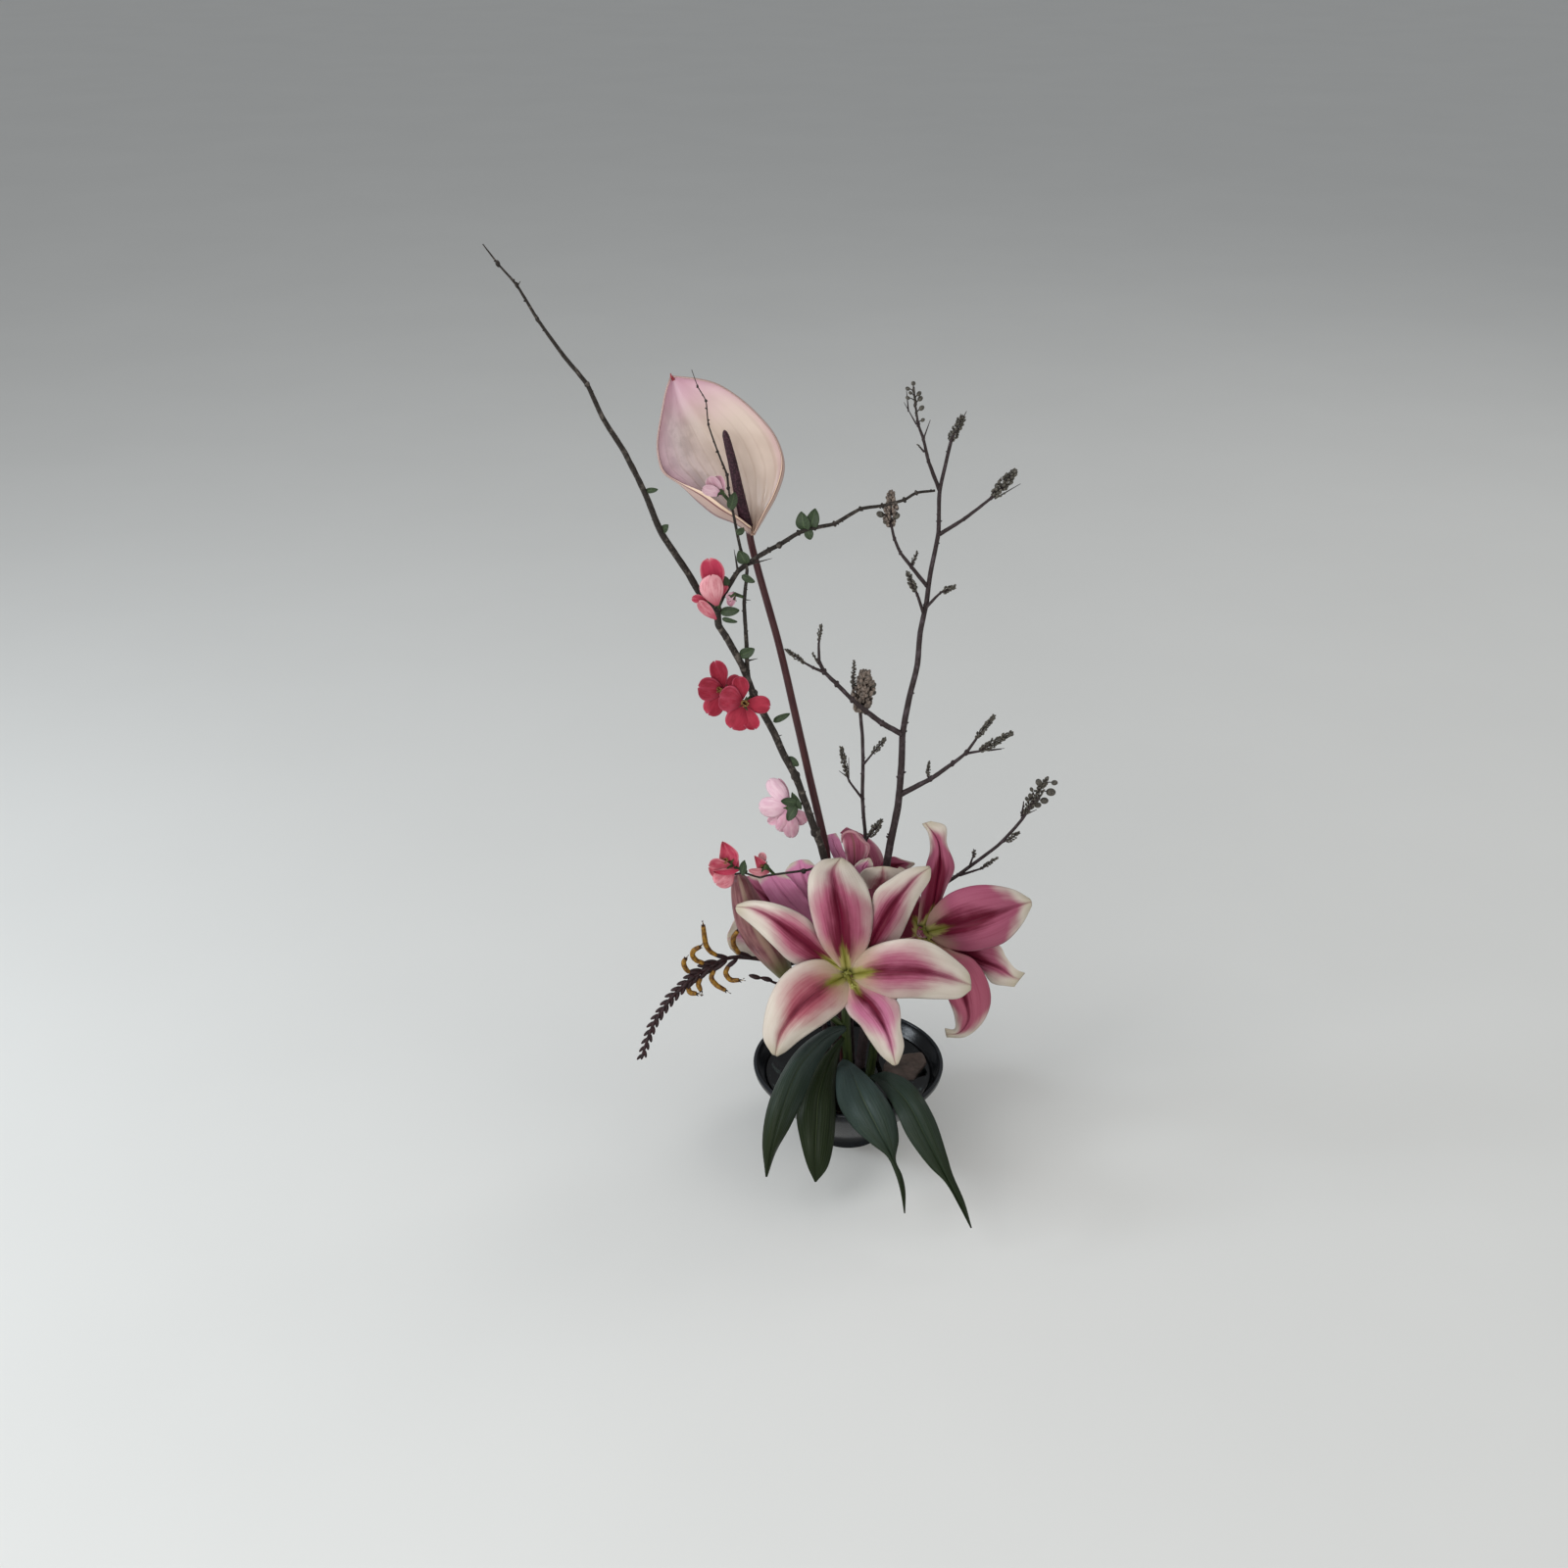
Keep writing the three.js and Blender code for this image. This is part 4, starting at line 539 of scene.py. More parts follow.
# For each bloom: its heart, the way it faces, where its stalk leaves the wood, and for each petal its foot,
# its tip, its width in pixels, how far its margins stand towards the viewer, how deep its colour is and,
# for some, how far it is drawn out to a point
QUINCE_BLOOMS = {
    "quince_bloom_coral_high": {
        "centre": [731, 612, -22], "facing": [-0.75, -0.5, 0.3], "seat": [733.5, 622, -12],
        "petals": [
            [[729, 606, -20], [723.5, 569.5, -24], 25, 1.5, 1.0],
            [[731.5, 618, -26], [725.5, 586.5, -34], 25, -2.5, 0.22],
            [[722, 614.5, -22], [705.8, 610.5, -26], 9, 1.5, 0.85],
            [[731, 632, -22], [712.6, 613.5, -30], 12, 1, 0.5],
            [[733, 612, -14], [738.5, 588, -8], 18, -1.5, 0.9],
        ],
    },
    "quince_bloom_red_front": {
        "centre": [759.5, 718, -20], "facing": [0.1, -0.9, 0.45], "seat": [768, 709, -9],
        "petals": [
            [[757.5, 713.5, -21], [753.8, 690.3, -27], 17.5, 2.5, 0.9],
            [[758, 717, -21], [733.8, 711, -29], 27.5, 3, 0.75],
            [[758.5, 719.5, -21], [746.5, 743.6, -28], 26, -2, 1.0],
            [[760.5, 720, -21], [770.5, 744.3, -26], 17.5, 2, 1.0],
            [[760.5, 717, -21], [786, 721, -27], 19, -2, 1.0],
        ],
    },
    "quince_bloom_red_back": {
        "centre": [739, 705, 0], "facing": [-0.5, -0.7, 0.4], "seat": [764, 700, -8],
        "petals": [
            [[738, 703, 0], [729.2, 674.3, -8], 18, 2, 0.9],
            [[739, 705, 0], [712.3, 701, -10], 25, 2.5, 0.8],
            [[738.5, 707, 0], [722, 728.8, -9], 21, -2, 0.95],
            [[740, 706, 0], [752, 727, 4], 20, 1.5, 0.9],
            [[740, 703, 0], [756, 692, 6], 18, -1.5, 0.9],
        ],
    },
    "quince_bloom_pink_low": {
        "centre": [806, 824, -4], "facing": [-0.45, 0.8, -0.2], "seat": [818, 820, -8],
        "petals": [
            [[805, 821, -4], [784.5, 795.2, 8], 18, -2, 0.1],
            [[805, 821, -2], [793.5, 794.5, 12], 10, -1, 0.55],
            [[804, 823, -4], [774.3, 822.5, 6], 21, -2.5, 0.2],
            [[804, 826, -4], [783.5, 839.5, 8], 12, 1.5, 0.45],
            [[805, 828, -4], [794.3, 847.8, 4], 15, -2, 0.5],
            [[808, 829, -4], [807.3, 855, 4], 16, -2, 0.45],
            [[810, 826, -4], [821.5, 840.5, 6], 15, -1.5, 0.5],
        ],
    },
    "quince_bloom_coral_left": {
        "centre": [744, 882, -18], "facing": [-0.5, -0.45, 0.75], "seat": [762, 889.5, -13],
        "petals": [
            [[746, 888, -16], [737, 858.6, -15], 25, 2.5, 0.85, 0.9],
            [[749, 886, -18], [723, 884.5, -24], 21, 2.5, 0.7],
            [[749, 886, -19], [730, 902, -27], 21, -1.5, 0.45],
            [[754, 888, -20], [727, 889.5, -26], 8, 1.5, 0.95, 0.7],
            [[752, 889, -15], [744.5, 867, -13], 13, 2, 1.0, 0.7],
        ],
    },
    "quince_bud_coral": {
        "centre": [780, 884, -18], "facing": [-0.7, -0.3, 0.45], "seat": [790, 892, -12],
        "petals": [
            [[780, 882, -12], [776.5, 869.8, -14], 8.5, 1, 0.05],
            [[785, 890, -15], [763.8, 888, -22], 9.5, 1.5, 0.35, 0.5],
            [[784, 890.5, -14], [769.7, 873, -21], 14, 2, 0.8, 1.0],
        ],
    },
    "quince_bud_pink_high": {
        "centre": [734, 501, -16], "facing": [-0.6, -0.4, 0.5], "seat": [745.5, 513, -8],
        "petals": [
            [[738, 505, -14], [722.5, 487.5, -22], 15, 2.5, 0.25],
            [[738, 504, -14], [732, 485.4, -18], 13, 2, 0.4],
            [[737, 505, -16], [716.6, 498.5, -24], 12, 2, 0.1],
        ],
    },
    "quince_bud_pink_small": {
        "centre": [747, 609, -12], "facing": [-0.5, -0.2, -0.6], "seat": [759, 609.5, -9],
        "petals": [
            [[750, 605, -11], [744.6, 618.6, -14], 9, 2, 0.5],
            [[750, 605, -12], [741.2, 611, -15], 8, 2, 0.2],
        ],
    },
}
ANTHURIUM_STEM = [
    [843, 868], [840.4, 854.6], [835.8, 834.5], [827, 797], [811, 727], [795, 658.5], [772, 576],
    [765.5, 549], [764.5, 541],
]
SPATHE = {
    "left": [
        [766, 546], [751, 535], [730, 526.4], [712.7, 513], [693.6, 494.9], [676.3, 482.4], [671.6, 469],
        [670.2, 451.8], [674.4, 423], [679.2, 398.3], [684.3, 384],
    ],
    "rib": [
        [768, 546, 17], [750, 508, 30], [732, 470, 42], [710, 430, 52], [692, 397, 58],
        [685.2, 382.6, 60],
    ],
    "right": [
        [770, 546], [781.6, 526.4], [793, 505.4], [800.3, 482.4], [799.7, 467], [791, 444], [773.9, 423],
        [754.8, 405.9], [731.8, 391.6], [712.7, 386.4], [686, 383.6],
    ],
    "back": [-16, -12],
}
# The free margins of the spathe, level with its left and right outlines
SPATHE_LIP = [
    (766.4, 537.2), (754, 527.6), (741.6, 519), (718.4, 502.4), (695.6, 492.4), (678.6, 481.4),
    (673.4, 468.8), (671.6, 451.8), (675.6, 423.3), (680.4, 399), (684.8, 385.4),
]
SPATHE_ROLL = [
    (768.6, 544), (778, 524.4), (788.6, 504), (796, 481.8), (797, 467), (789.4, 445), (772.9, 424.2),
    (754.2, 407.2), (731.4, 393), (712.4, 387.8), (686.4, 384.4),
]
SPATHE_FOLD = 0.16
SPADIX = [[762, 537, 16], [755.2, 508, 11], [747, 470, 14], [739, 438.6, 18]]
BRANCH = [
    [905, 880], [908.8, 859], [916, 824], [920, 779.5], [920.8, 750.8], [927, 715.7], [936, 678.4],
    [939, 645.7], [945.3, 615], [949.4, 584.5], [957.6, 543.7], [958.6, 502.9], [964.7, 474.3],
    [971.8, 445.7], [977, 436],
]
# For each twig: its line, its depth at both ends and its radius at both ends
BRANCH_TWIGS = [
    (
        [[958.6, 500], [947.3, 470.2], [942.2, 447.8], [937.1, 433.5], [934, 413], [932.5, 395]],
        30, 24, 1.3, 0.5,
    ),
    ([[959, 545], [984, 529.4], [1011.6, 508], [1027, 494]], 26, 18, 1.3, 0.7),
    ([[945, 597], [930, 578.4], [918.8, 564], [912.7, 549.8], [909, 534]], 24, 34, 1.3, 0.8),
    ([[942, 625], [936, 607], [930, 594.7]], 22, 18, 1.1, 0.7),
    ([[945, 620], [959.6, 605], [967, 601.5]], 22, 18, 1, 0.6),
    (
        [[920, 749], [900, 738], [884, 726], [869.7, 714], [853.8, 698], [841, 685.4], [836, 675]],
        16, 2, 1.9, 1.1,
    ),
    ([[836, 677], [835.5, 656.7], [837, 648]], 2, 0, 1, 0.6),
    ([[841, 686], [829.9, 681.4], [817, 674.2]], 3, 2, 1, 0.6),
    ([[918, 811], [950, 794.5], [972, 779], [986, 768], [996, 754]], 14, 4, 1.9, 0.8),
    ([[985, 769], [1002, 766]], 6, 4, 1, 0.7),
]
CENTRE_TWIG = [
    [872, 892], [877, 876], [883, 858], [881, 830], [880, 811.4], [880.6, 779.5], [880, 750.8],
    [878.5, 734.8], [877, 718],
]
CENTRE_TWIGS = [
    ([[880, 815], [866.6, 797], [861.5, 782]], 20, 18, 0.9, 0.5),
    ([[880.5, 781], [888.9, 770.7], [894, 765]], 22, 20, 0.8, 0.5),
    ([[882.8, 859], [889, 849]], 17, 14, 0.9, 0.6),
]
RIGHT_TWIG = [
    [963.6, 903], [979.8, 891.4], [998, 878], [1018.8, 862.3], [1035.4, 845], [1043.6, 835], [1052, 822],
    [1061, 812],
]
RIGHT_TWIGS = [
    ([[980, 893], [993, 888.9], [1002, 886]], 38, 35, 0.9, 0.6),
    ([[989, 885], [993.9, 871]], 39, 37, 0.8, 0.5),
    ([[1020, 861], [1030, 856]], 42, 40, 0.8, 0.6),
    ([[1043, 836], [1044.5, 818]], 45, 43, 0.5, 0.4),
]
# For each head of buds: its two ends, its depth, the size of its buds and how far they spread, and for
# some the places and sizes of loose buds and the feet and tips of thin prongs
BRANCH_PANICLES = [
    {
        "from": [936.5, 432], "to": [932, 396], "depth": 24, "size": 2.6, "spread": 0.6,
        "beads": [
            [926.3, 396.6, 3.2], [926.3, 406, 3], [937.8, 401.7, 3.6], [939, 406.8, 3.8],
            [940.4, 416.4, 4], [941.6, 428.6, 3], [932, 391.2, 3], [929, 401, 2.6],
        ],
        "prongs": [[935, 433, 922.5, 410.6], [927, 420, 925, 398], [942.9, 446.3, 949.3, 428.5]],
    },
    {"from": [943, 461], "to": [936.2, 453.5], "depth": 26, "size": 2.2, "spread": 0.4},
    {
        "from": [969, 450], "to": [983, 425], "depth": 34, "size": 4.2, "spread": 5.4,
        "prongs": [[981, 430, 986.3, 419.5], [980, 431, 980.3, 422]],
    },
    {
        "from": [1013, 508], "to": [1036.5, 479.5], "depth": 18, "size": 4.6, "spread": 6.6,
        "prongs": [[1013, 503, 1022, 486.5], [1015, 509, 1041.5, 493.5]],
    },
    {
        "from": [908.5, 538], "to": [909.5, 501.5], "depth": 36, "size": 5.4, "spread": 7, "dry": True,
        "beads": [[898.3, 524.8, 5.4], [914.6, 526.7, 5.2], [903, 533, 3]],
    },
    {"from": [930, 578], "to": [936, 563], "depth": 28, "size": 3, "spread": 1.6},
    {"from": [934, 604], "to": [926, 584], "depth": 18, "size": 4, "spread": 3.2},
    {"from": [962, 604], "to": [975, 598.5], "depth": 18, "size": 3.8, "spread": 3},
    {"from": [835.6, 654], "to": [838, 637], "depth": 0, "size": 3.2, "spread": 1.8},
    {"from": [822, 677], "to": [801.5, 662.5], "depth": 2, "size": 3.4, "spread": 2.2},
    {"from": [835, 677], "to": [829, 666], "depth": 2, "size": 2.6, "spread": 0.8},
    {"from": [996, 754], "to": [1015, 729.5], "depth": 4, "size": 3.8, "spread": 2.8},
    {
        "from": [999, 766.5], "to": [1033, 747.5], "depth": 4, "size": 4.2, "spread": 4.2,
        "prongs": [[1006, 765.5, 1025, 763.6], [1008, 766, 1022, 764.6]],
    },
    {"from": [947, 793], "to": [947.8, 777], "depth": 11, "size": 3.2, "spread": 1.8},
]
CENTRE_PANICLES = [
    {
        "from": [878, 727], "to": [883.5, 685], "depth": 26, "size": 7.4, "spread": 11, "dry": True,
        "beads": [[891, 699, 4.6], [891, 707, 4.4], [872.5, 701, 4.4], [869.5, 696, 3.2]],
    },
    {"from": [870.5, 703], "to": [871.5, 674], "depth": 24, "size": 3, "spread": 2},
    {
        "from": [865, 792], "to": [858, 762], "depth": 18, "size": 3.6, "spread": 3,
        "prongs": [[866, 794, 866, 773], [865, 793, 856, 786.5]],
    },
    {"from": [890, 769], "to": [904, 753.5], "depth": 20, "size": 3.6, "spread": 2.8},
    {"from": [886.5, 854], "to": [900, 836.5], "depth": 14, "size": 4, "spread": 5},
]
RIGHT_PANICLES = [
    {
        "from": [1043, 833], "to": [1068, 795], "depth": 46, "size": 4.2, "spread": 5,
        "beads": [
            [1060, 798.5, 5.6], [1076, 798.7, 4.6], [1072.3, 808.3, 6.8], [1065.6, 817, 5.8],
            [1059, 821.5, 5], [1052.6, 805.6, 3.4], [1051, 812, 3.6], [1068.8, 793.8, 2.6],
            [1047.5, 815, 3],
        ],
        "prongs": [[1042, 833, 1044.5, 817.5], [1047, 831, 1058, 826]],
    },
    {"from": [1000, 887], "to": [1018, 875], "depth": 35, "size": 3, "spread": 2.4},
    {"from": [1027, 859], "to": [1040, 849], "depth": 40, "size": 3.4, "spread": 3},
    {"from": [993.5, 875], "to": [994, 867], "depth": 37, "size": 3, "spread": 1.6},
]
# How much painted bluish sheen each leaf has on its face
LEAF_PAINTED_SHEEN = {"lily_leaf_1": 0.75, "lily_leaf_2": 0.05, "lily_leaf_3": 1, "lily_leaf_4": 0.5}
# For each leaf or petal: its left edge, its rib with depths, its right edge, how far each edge lies back
# from the rib, and how far its halves belly out
LILY_LEAVES = {
    "lily_leaf_1": (
        [[862, 1046], [845, 1049], [815, 1070], [795, 1100], [783, 1130], [778, 1165], [781.3, 1201]],
        [
            [863, 1048, -22], [838, 1062, -54], [815, 1090, -84], [799, 1130, -106], [788, 1168, -118],
            [782, 1201, -124],
        ],
        [[864, 1051], [852, 1062], [835, 1085], [820, 1120], [806, 1150], [792, 1175], [782.8, 1201]],
        [4, 3],
    ),
    "lily_leaf_2": (
        [[860, 1057], [836, 1083], [820, 1112], [813, 1138], [817, 1165], [824, 1190], [831.4, 1206]],
        [
            [861, 1058, -20], [846, 1084, -46], [836, 1115, -73], [833, 1150, -92], [832, 1180, -103],
            [832, 1206, -108],
        ],
        [[862, 1059], [855, 1080], [852, 1110], [852.5, 1140], [850, 1170], [844, 1192], [833, 1206]],
        [1, 0],
    ),
    "lily_leaf_3": (
        [
            [860, 1080, -20], [854, 1090, -50], [855, 1125, -82], [870, 1150, -100], [890, 1168, -115],
            [905, 1180, -124], [914.5, 1200, -133], [919.4, 1218, -139], [922.6, 1238, -144],
        ],
        [
            [862, 1081, -20], [868, 1092, -54], [880, 1120, -88], [895, 1150, -110], [909, 1178, -125],
            [919, 1202, -135], [923, 1238, -144],
        ],
        [
            [864, 1081, -20], [874, 1088, -52], [893, 1106, -80], [912, 1135, -102], [917, 1162, -116],
            [914, 1184, -126], [920.4, 1199, -133], [923.8, 1215, -139], [923.6, 1238, -144],
        ],
        [3, 3],
    ),
    "lily_leaf_4": (
        [
            [887, 1099, -11], [895, 1105, -55], [912, 1130, -95], [926, 1160, -118], [948, 1190, -134],
            [965, 1207, -145], [978, 1229, -152], [990.4, 1253, -160],
        ],
        [
            [888, 1098, -11], [904, 1103, -60], [926, 1125, -100], [943, 1157, -121], [957, 1185, -136],
            [974, 1218, -152], [991, 1253, -160],
        ],
        [
            [889, 1097, -11], [908, 1094, -58], [932, 1107, -90], [953, 1140, -112], [966, 1178, -130],
            [972, 1198, -140], [984, 1226, -152], [991.6, 1253, -160],
        ],
        [-1, 5],
    ),
}
FRONT_PETALS = [
    (
        [[862, 992], [838, 992], [806, 981], [790, 966], [768, 945], [752, 931], [750.6, 927]],
        [
            [862, 990, -42], [837, 974, -52], [816, 958, -54], [790, 938, -46], [768, 927, -36],
            [751, 925.5, -31],
        ],
        [[864, 988], [846, 965], [826.6, 939.4], [806, 927], [785, 920.5], [765, 919], [752, 923]],
        [4, 4], 2,
    ),
    (
        [
            [859, 992], [848, 979], [836, 960], [829, 938], [824.6, 915], [826, 892], [838, 878],
            [855, 875.5],
        ],
        [
            [864, 990, -42], [860, 962, -58], [857, 935, -58], [852, 908, -45], [850, 888, -26],
            [858, 875, -14],
        ],
        [
            [868, 992], [884.8, 967], [890.2, 945], [890, 925], [884, 903], [877, 892], [869, 882],
            [860, 875.5],
        ],
        [4, 4], 4,
    ),
    (
        [[865, 990], [878, 962], [888, 935], [892.9, 909.8], [910, 896], [928, 886], [948, 883.5]],
        [
            [868, 991, -42], [886, 966, -50], [899, 942, -50], [917, 915, -38], [936, 894, -24],
            [949, 885, -17],
        ],
        [[870, 993], [901, 972], [917.3, 957.8], [927, 938], [938, 915], [949, 897], [950, 887]],
        [4, 5], 2,
    ),
    (
        [
            [866, 989], [876, 974], [900, 962], [927.6, 957.8], [950, 962], [972, 976.5], [988, 992],
            [990.6, 1000],
        ],
        [
            [869, 994, -42], [897, 991, -62], [931, 990, -70], [958, 994, -66], [980, 1001, -58],
            [991, 1005, -53],
        ],
        [
            [867, 999], [882, 1011], [901, 1018], [930, 1018.5], [958, 1019.5], [979, 1018.5],
            [990.8, 1010],
        ],
        [3, 6], 4,
    ),
    (
        [[864, 997], [860, 1016], [866, 1035], [877, 1045.5], [887, 1060.8], [899, 1077], [911, 1087]],
        [
            [867, 998, -42], [877, 1014, -54], [888, 1026, -64], [900, 1043, -72], [908, 1062, -78],
            [914, 1087, -80],
        ],
        [[870, 997], [897, 1008], [915.8, 1022], [919, 1035], [919, 1048], [922.4, 1068], [917, 1085]],
        [4, 4], 2,
    ),
    (
        [
            [862, 993], [842, 979.5], [820, 981.5], [800, 994], [786, 1016], [779.5, 1040], [779, 1060],
            [788, 1076],
        ],
        [
            [862, 996, -42], [842, 1006, -60], [822, 1021, -74], [807, 1038, -80], [796, 1056, -80],
            [791, 1077, -76],
        ],
        [
            [866, 999], [871, 1010], [862, 1027], [846, 1041], [828, 1053], [814, 1063], [802, 1073],
            [793, 1078],
        ],
        [4, 5], 4,
    ),
]
RIGHT_PETALS = [
    (
        [[943, 946], [950, 930], [966.8, 913], [987.9, 904.7], [1010, 903], [1035, 908], [1050, 916.5]],
        [
            [945, 951, 6], [967, 946, -8], [993, 939, -14], [1018, 931, -12], [1038, 924, -4],
            [1052.6, 920, 2],
        ],
        [[945, 956], [962, 966], [984.7, 970.5], [1005, 968.5], [1026, 961], [1043, 943], [1052.6, 925]],
        [4, 5], 4,
    ),
    (
        [[936, 945], [938, 925], [941.5, 905], [945, 883], [949, 868], [947, 850], [941, 840.5]],
        [[943, 946, 6], [952, 925, 2], [956, 902, 4], [959, 880, 8], [957, 858, 14], [944, 839.4, 20]],
        [[946, 948], [958, 925], [966, 905], [974, 885], [966, 860], [965, 843], [950, 837.8]],
        [4, 4], 2,
    ),
    (
        [[940, 954], [948, 975], [958, 998], [967, 1018], [974, 1037], [974, 1050], [964, 1049]],
        [
            [943, 956, 6], [962, 975, -6], [976, 998, -14], [985, 1020, -18], [988, 1040, -16],
            [978, 1054, -8], [965, 1055, -4],
        ],
        [
            [947, 956], [972, 970], [992, 978], [1006, 997], [1011, 1021], [1003, 1043], [985, 1058],
            [966, 1058.5],
        ],
        [4, 4], 3,
    ),
    (
        [[946, 949], [975, 955], [1005, 961], [1020, 965], [1027, 977], [1037, 989], [1046, 993]],
        [[946, 953, 8], [972, 966, 10], [997, 979, 8], [1019, 987, 6], [1034, 997, 6], [1041, 999, 8]],
        [[944, 955], [965, 972], [988, 979], [1001.6, 989.4], [1012, 1003], [1026.8, 1006], [1035, 1007]],
        [-2, 3], 1,
    ),
    (
        [[930, 966], [916, 960], [909, 948], [908, 930], [905, 915], [908, 900], [914, 889]],
        [[941, 948, 7], [934, 938, 8], [926, 924, 8], [920, 908, 6], [917, 896, 4], [916, 886, 3]],
        [[943, 945], [942, 930], [939, 915], [934, 902], [928, 892], [922, 886], [918, 884.5]],
        [3, 3], 2,
    ),
    (
        [[928, 948], [921, 966], [920, 982], [922, 993], [925, 1003], [930, 1008], [935, 1011]],
        [[942, 955, 8], [944, 970, 4], [943, 984, -2], [941, 996, -6], [939, 1005, -6], [938, 1012, -4]],
        [[944, 955], [953, 968], [957, 980], [955, 991], [951, 1000], [946, 1007], [940, 1011]],
        [3, 3], 2,
    ),
]
TOP_PETALS = [
    (
        [[886, 903], [882, 888], [874, 868], [863, 855], [857, 850]],
        [[888, 903, 10], [890, 886, 22], [884, 866, 30], [874, 851, 34], [860, 847, 37]],
        [[892, 903], [902, 887], [900, 871], [889, 857], [864, 843.8]],
    ),
    (
        [[884, 904], [867, 889], [863, 874], [860.5, 862], [858, 852]],
        [[886, 904, 8], [873, 888, 6], [872, 873, 4], [871, 859, 2], [867.5, 848, 3]],
        [[888, 905], [879, 886], [883, 874], [886.5, 864], [877, 850]],
    ),
    (
        [[883, 902], [858, 886], [848, 870], [844, 858], [844, 852]],
        [[885, 902, 8], [866, 887, 9], [855, 870, 13], [850, 858, 17], [848, 851, 20]],
        [[888, 902], [872, 883], [861, 868], [857, 857], [853, 850]],
    ),
    (
        [[890, 899], [900, 880], [911, 874], [922, 877.5], [932, 880]],
        [[891, 903, 10], [903, 891, 20], [914, 883, 22], [924, 881, 23], [933.5, 881, 24]],
        [[891, 907], [906, 902], [917, 894], [927, 887], [933, 882.5]],
    ),
    (
        [[885, 905], [875, 893], [871, 886], [876, 879], [884, 876]],
        [[887, 905, 7], [882, 894, 2], [881, 885, 0], [885, 879, -1], [887, 875.5, -1]],
        [[890, 906], [889, 896], [891, 888], [891, 882], [889, 877]],
    ),
    (
        [[886, 909], [880, 903], [876.5, 894], [882, 887], [894, 884.5]],
        [[889, 909, 6], [896, 903, -1], [900, 896, -6], [901, 889, -8], [901, 884, -8]],
        [[892, 910], [911, 906], [921, 897], [921, 889], [908, 884.5]],
    ),
]
TOP_MARGIN = [
    [859, 860, 4], [860, 852.5, 1], [865, 848.6, -1], [872, 849.4, -2], [877, 855, -2], [881, 859, -2],
    [886, 862, -1], [886.4, 868, 0], [884, 875.5, 1],
]
LEFT_PETALS = [
    (
        [[828, 946], [797, 934], [784, 916], [776, 903], [771, 893]],
        [[832, 945, 21], [812, 926, 15], [800, 912, 14], [792, 901, 17], [786, 892, 22]],
        [[837, 943], [825, 920], [815, 906], [808, 898], [801, 892]],
    ),
    (
        [[824, 947], [785, 938], [760, 918], [754, 904], [756, 895]],
        [[829, 945, 24], [800, 926, 26], [778, 912, 27], [767, 901, 29], [762, 894, 33]],
        [[834, 942], [812, 915], [793, 905], [778, 897], [768, 893]],
    ),
    (
        [[831, 943], [814, 918], [804, 901], [801, 890], [806, 882]],
        [[834, 943, 24], [828, 915, 26], [822, 899, 28], [818, 887, 32], [816, 877.5, 38]],
        [[838, 944], [843, 920], [840, 900], [834, 886], [826, 878]],
    ),
    (
        [[826, 944], [796, 937], [772, 934], [752, 936], [744, 950]],
        [[826, 949, 24], [798, 952, 22], [774, 953, 19], [755, 955, 16], [742, 958, 14]],
        [[828, 954], [800, 969], [776, 976], [756, 977], [745, 968]],
    ),
    (
        [[830, 944], [808, 926], [798, 912], [792, 903], [796, 897]],
        [[834, 944, 27], [824, 926, 42], [815, 910, 56], [808, 900, 66], [803, 894, 72]],
        [[839, 944], [838, 922], [830, 908], [820, 899], [811, 893]],
    ),
    (
        [[830, 950], [808, 944], [790, 942], [778, 944], [772, 950]],
        [[832, 950, 26], [810, 956, 34], [793, 958, 42], [781, 957, 50], [770, 953, 56]],
        [[836, 952], [814, 968], [797, 972], [783, 967], [771, 957]],
    ),
]
BUD = [[801, 993, -3], [787, 970, -6], [771, 943, -8], [759.5, 915, -8], [753, 892, -6]]
SPIKE = [
    [800, 984, 14], [774.5, 978.5, 10], [745.4, 977.3, 4], [727.2, 984.5, 0], [710.3, 994.2, -4],
    [698.2, 1005, -8], [686, 1017, -12], [675, 1032, -16], [666.7, 1045, -20], [660.6, 1061, -24],
    [654.5, 1080, -28],
]
SPIKE_TUBES = [
    [[766, 976, 6], [754, 972.4, 2], [749, 965, 1], [748.4, 957, 0], [752.7, 950, 0]],
    [
        [743, 977.5, 2], [731, 974.8, 0], [724.6, 970.6, -1], [720.4, 964, -2], [718.6, 954, -3],
        [717.6, 945, -4],
    ],
    [
        [729.7, 983, 0], [717.6, 982.7, -3], [710.3, 979.7, -4], [706.7, 974.8, -5], [707.9, 970, -6],
        [714, 966.4, -7],
    ],
    [[715, 991, -4], [703, 991.8, -6], [699.4, 988, -7], [697.6, 982, -8], [699.4, 978.6, -9]],
    [[752, 979, 2], [743, 986, -1], [740.6, 993, -2], [745.4, 999.6, -3], [754, 1000.3, -4]],
    [[741, 981, 1], [728.6, 989.6, -2], [726, 998, -3], [731, 1005, -4], [740, 1010.4, -5]],
    [[725, 987.5, -3], [714.6, 998, -5], [712.7, 1004, -6], [715, 1010.5, -7]],
    [[711, 997, -5], [702, 1007, -7], [704, 1012.4, -8], [710.6, 1014, -9]],
]
SPIKE_BRACTS = 15
SPIKE_STUB = [[795, 1003, 10], [782, 999, 9], [770, 996.6, 8]]
# Where each stem stands on the pin holder
FEET = {
    "quince": (-8, -4), "anthurium": (-2, 7), "branch": (6, 5), "centre_twig": (6, 14),
    "right_twig": (18, 6), "lily_a": (2, -14), "lily_b": (14, -6), "spike": (-12, 5),
}
FRONT_THROAT = (865, 995, -42)
RIGHT_THROAT = (943, 950, 6)
TOP_THROAT = (888, 905, 8)
LEFT_THROAT = (834, 945, 22)

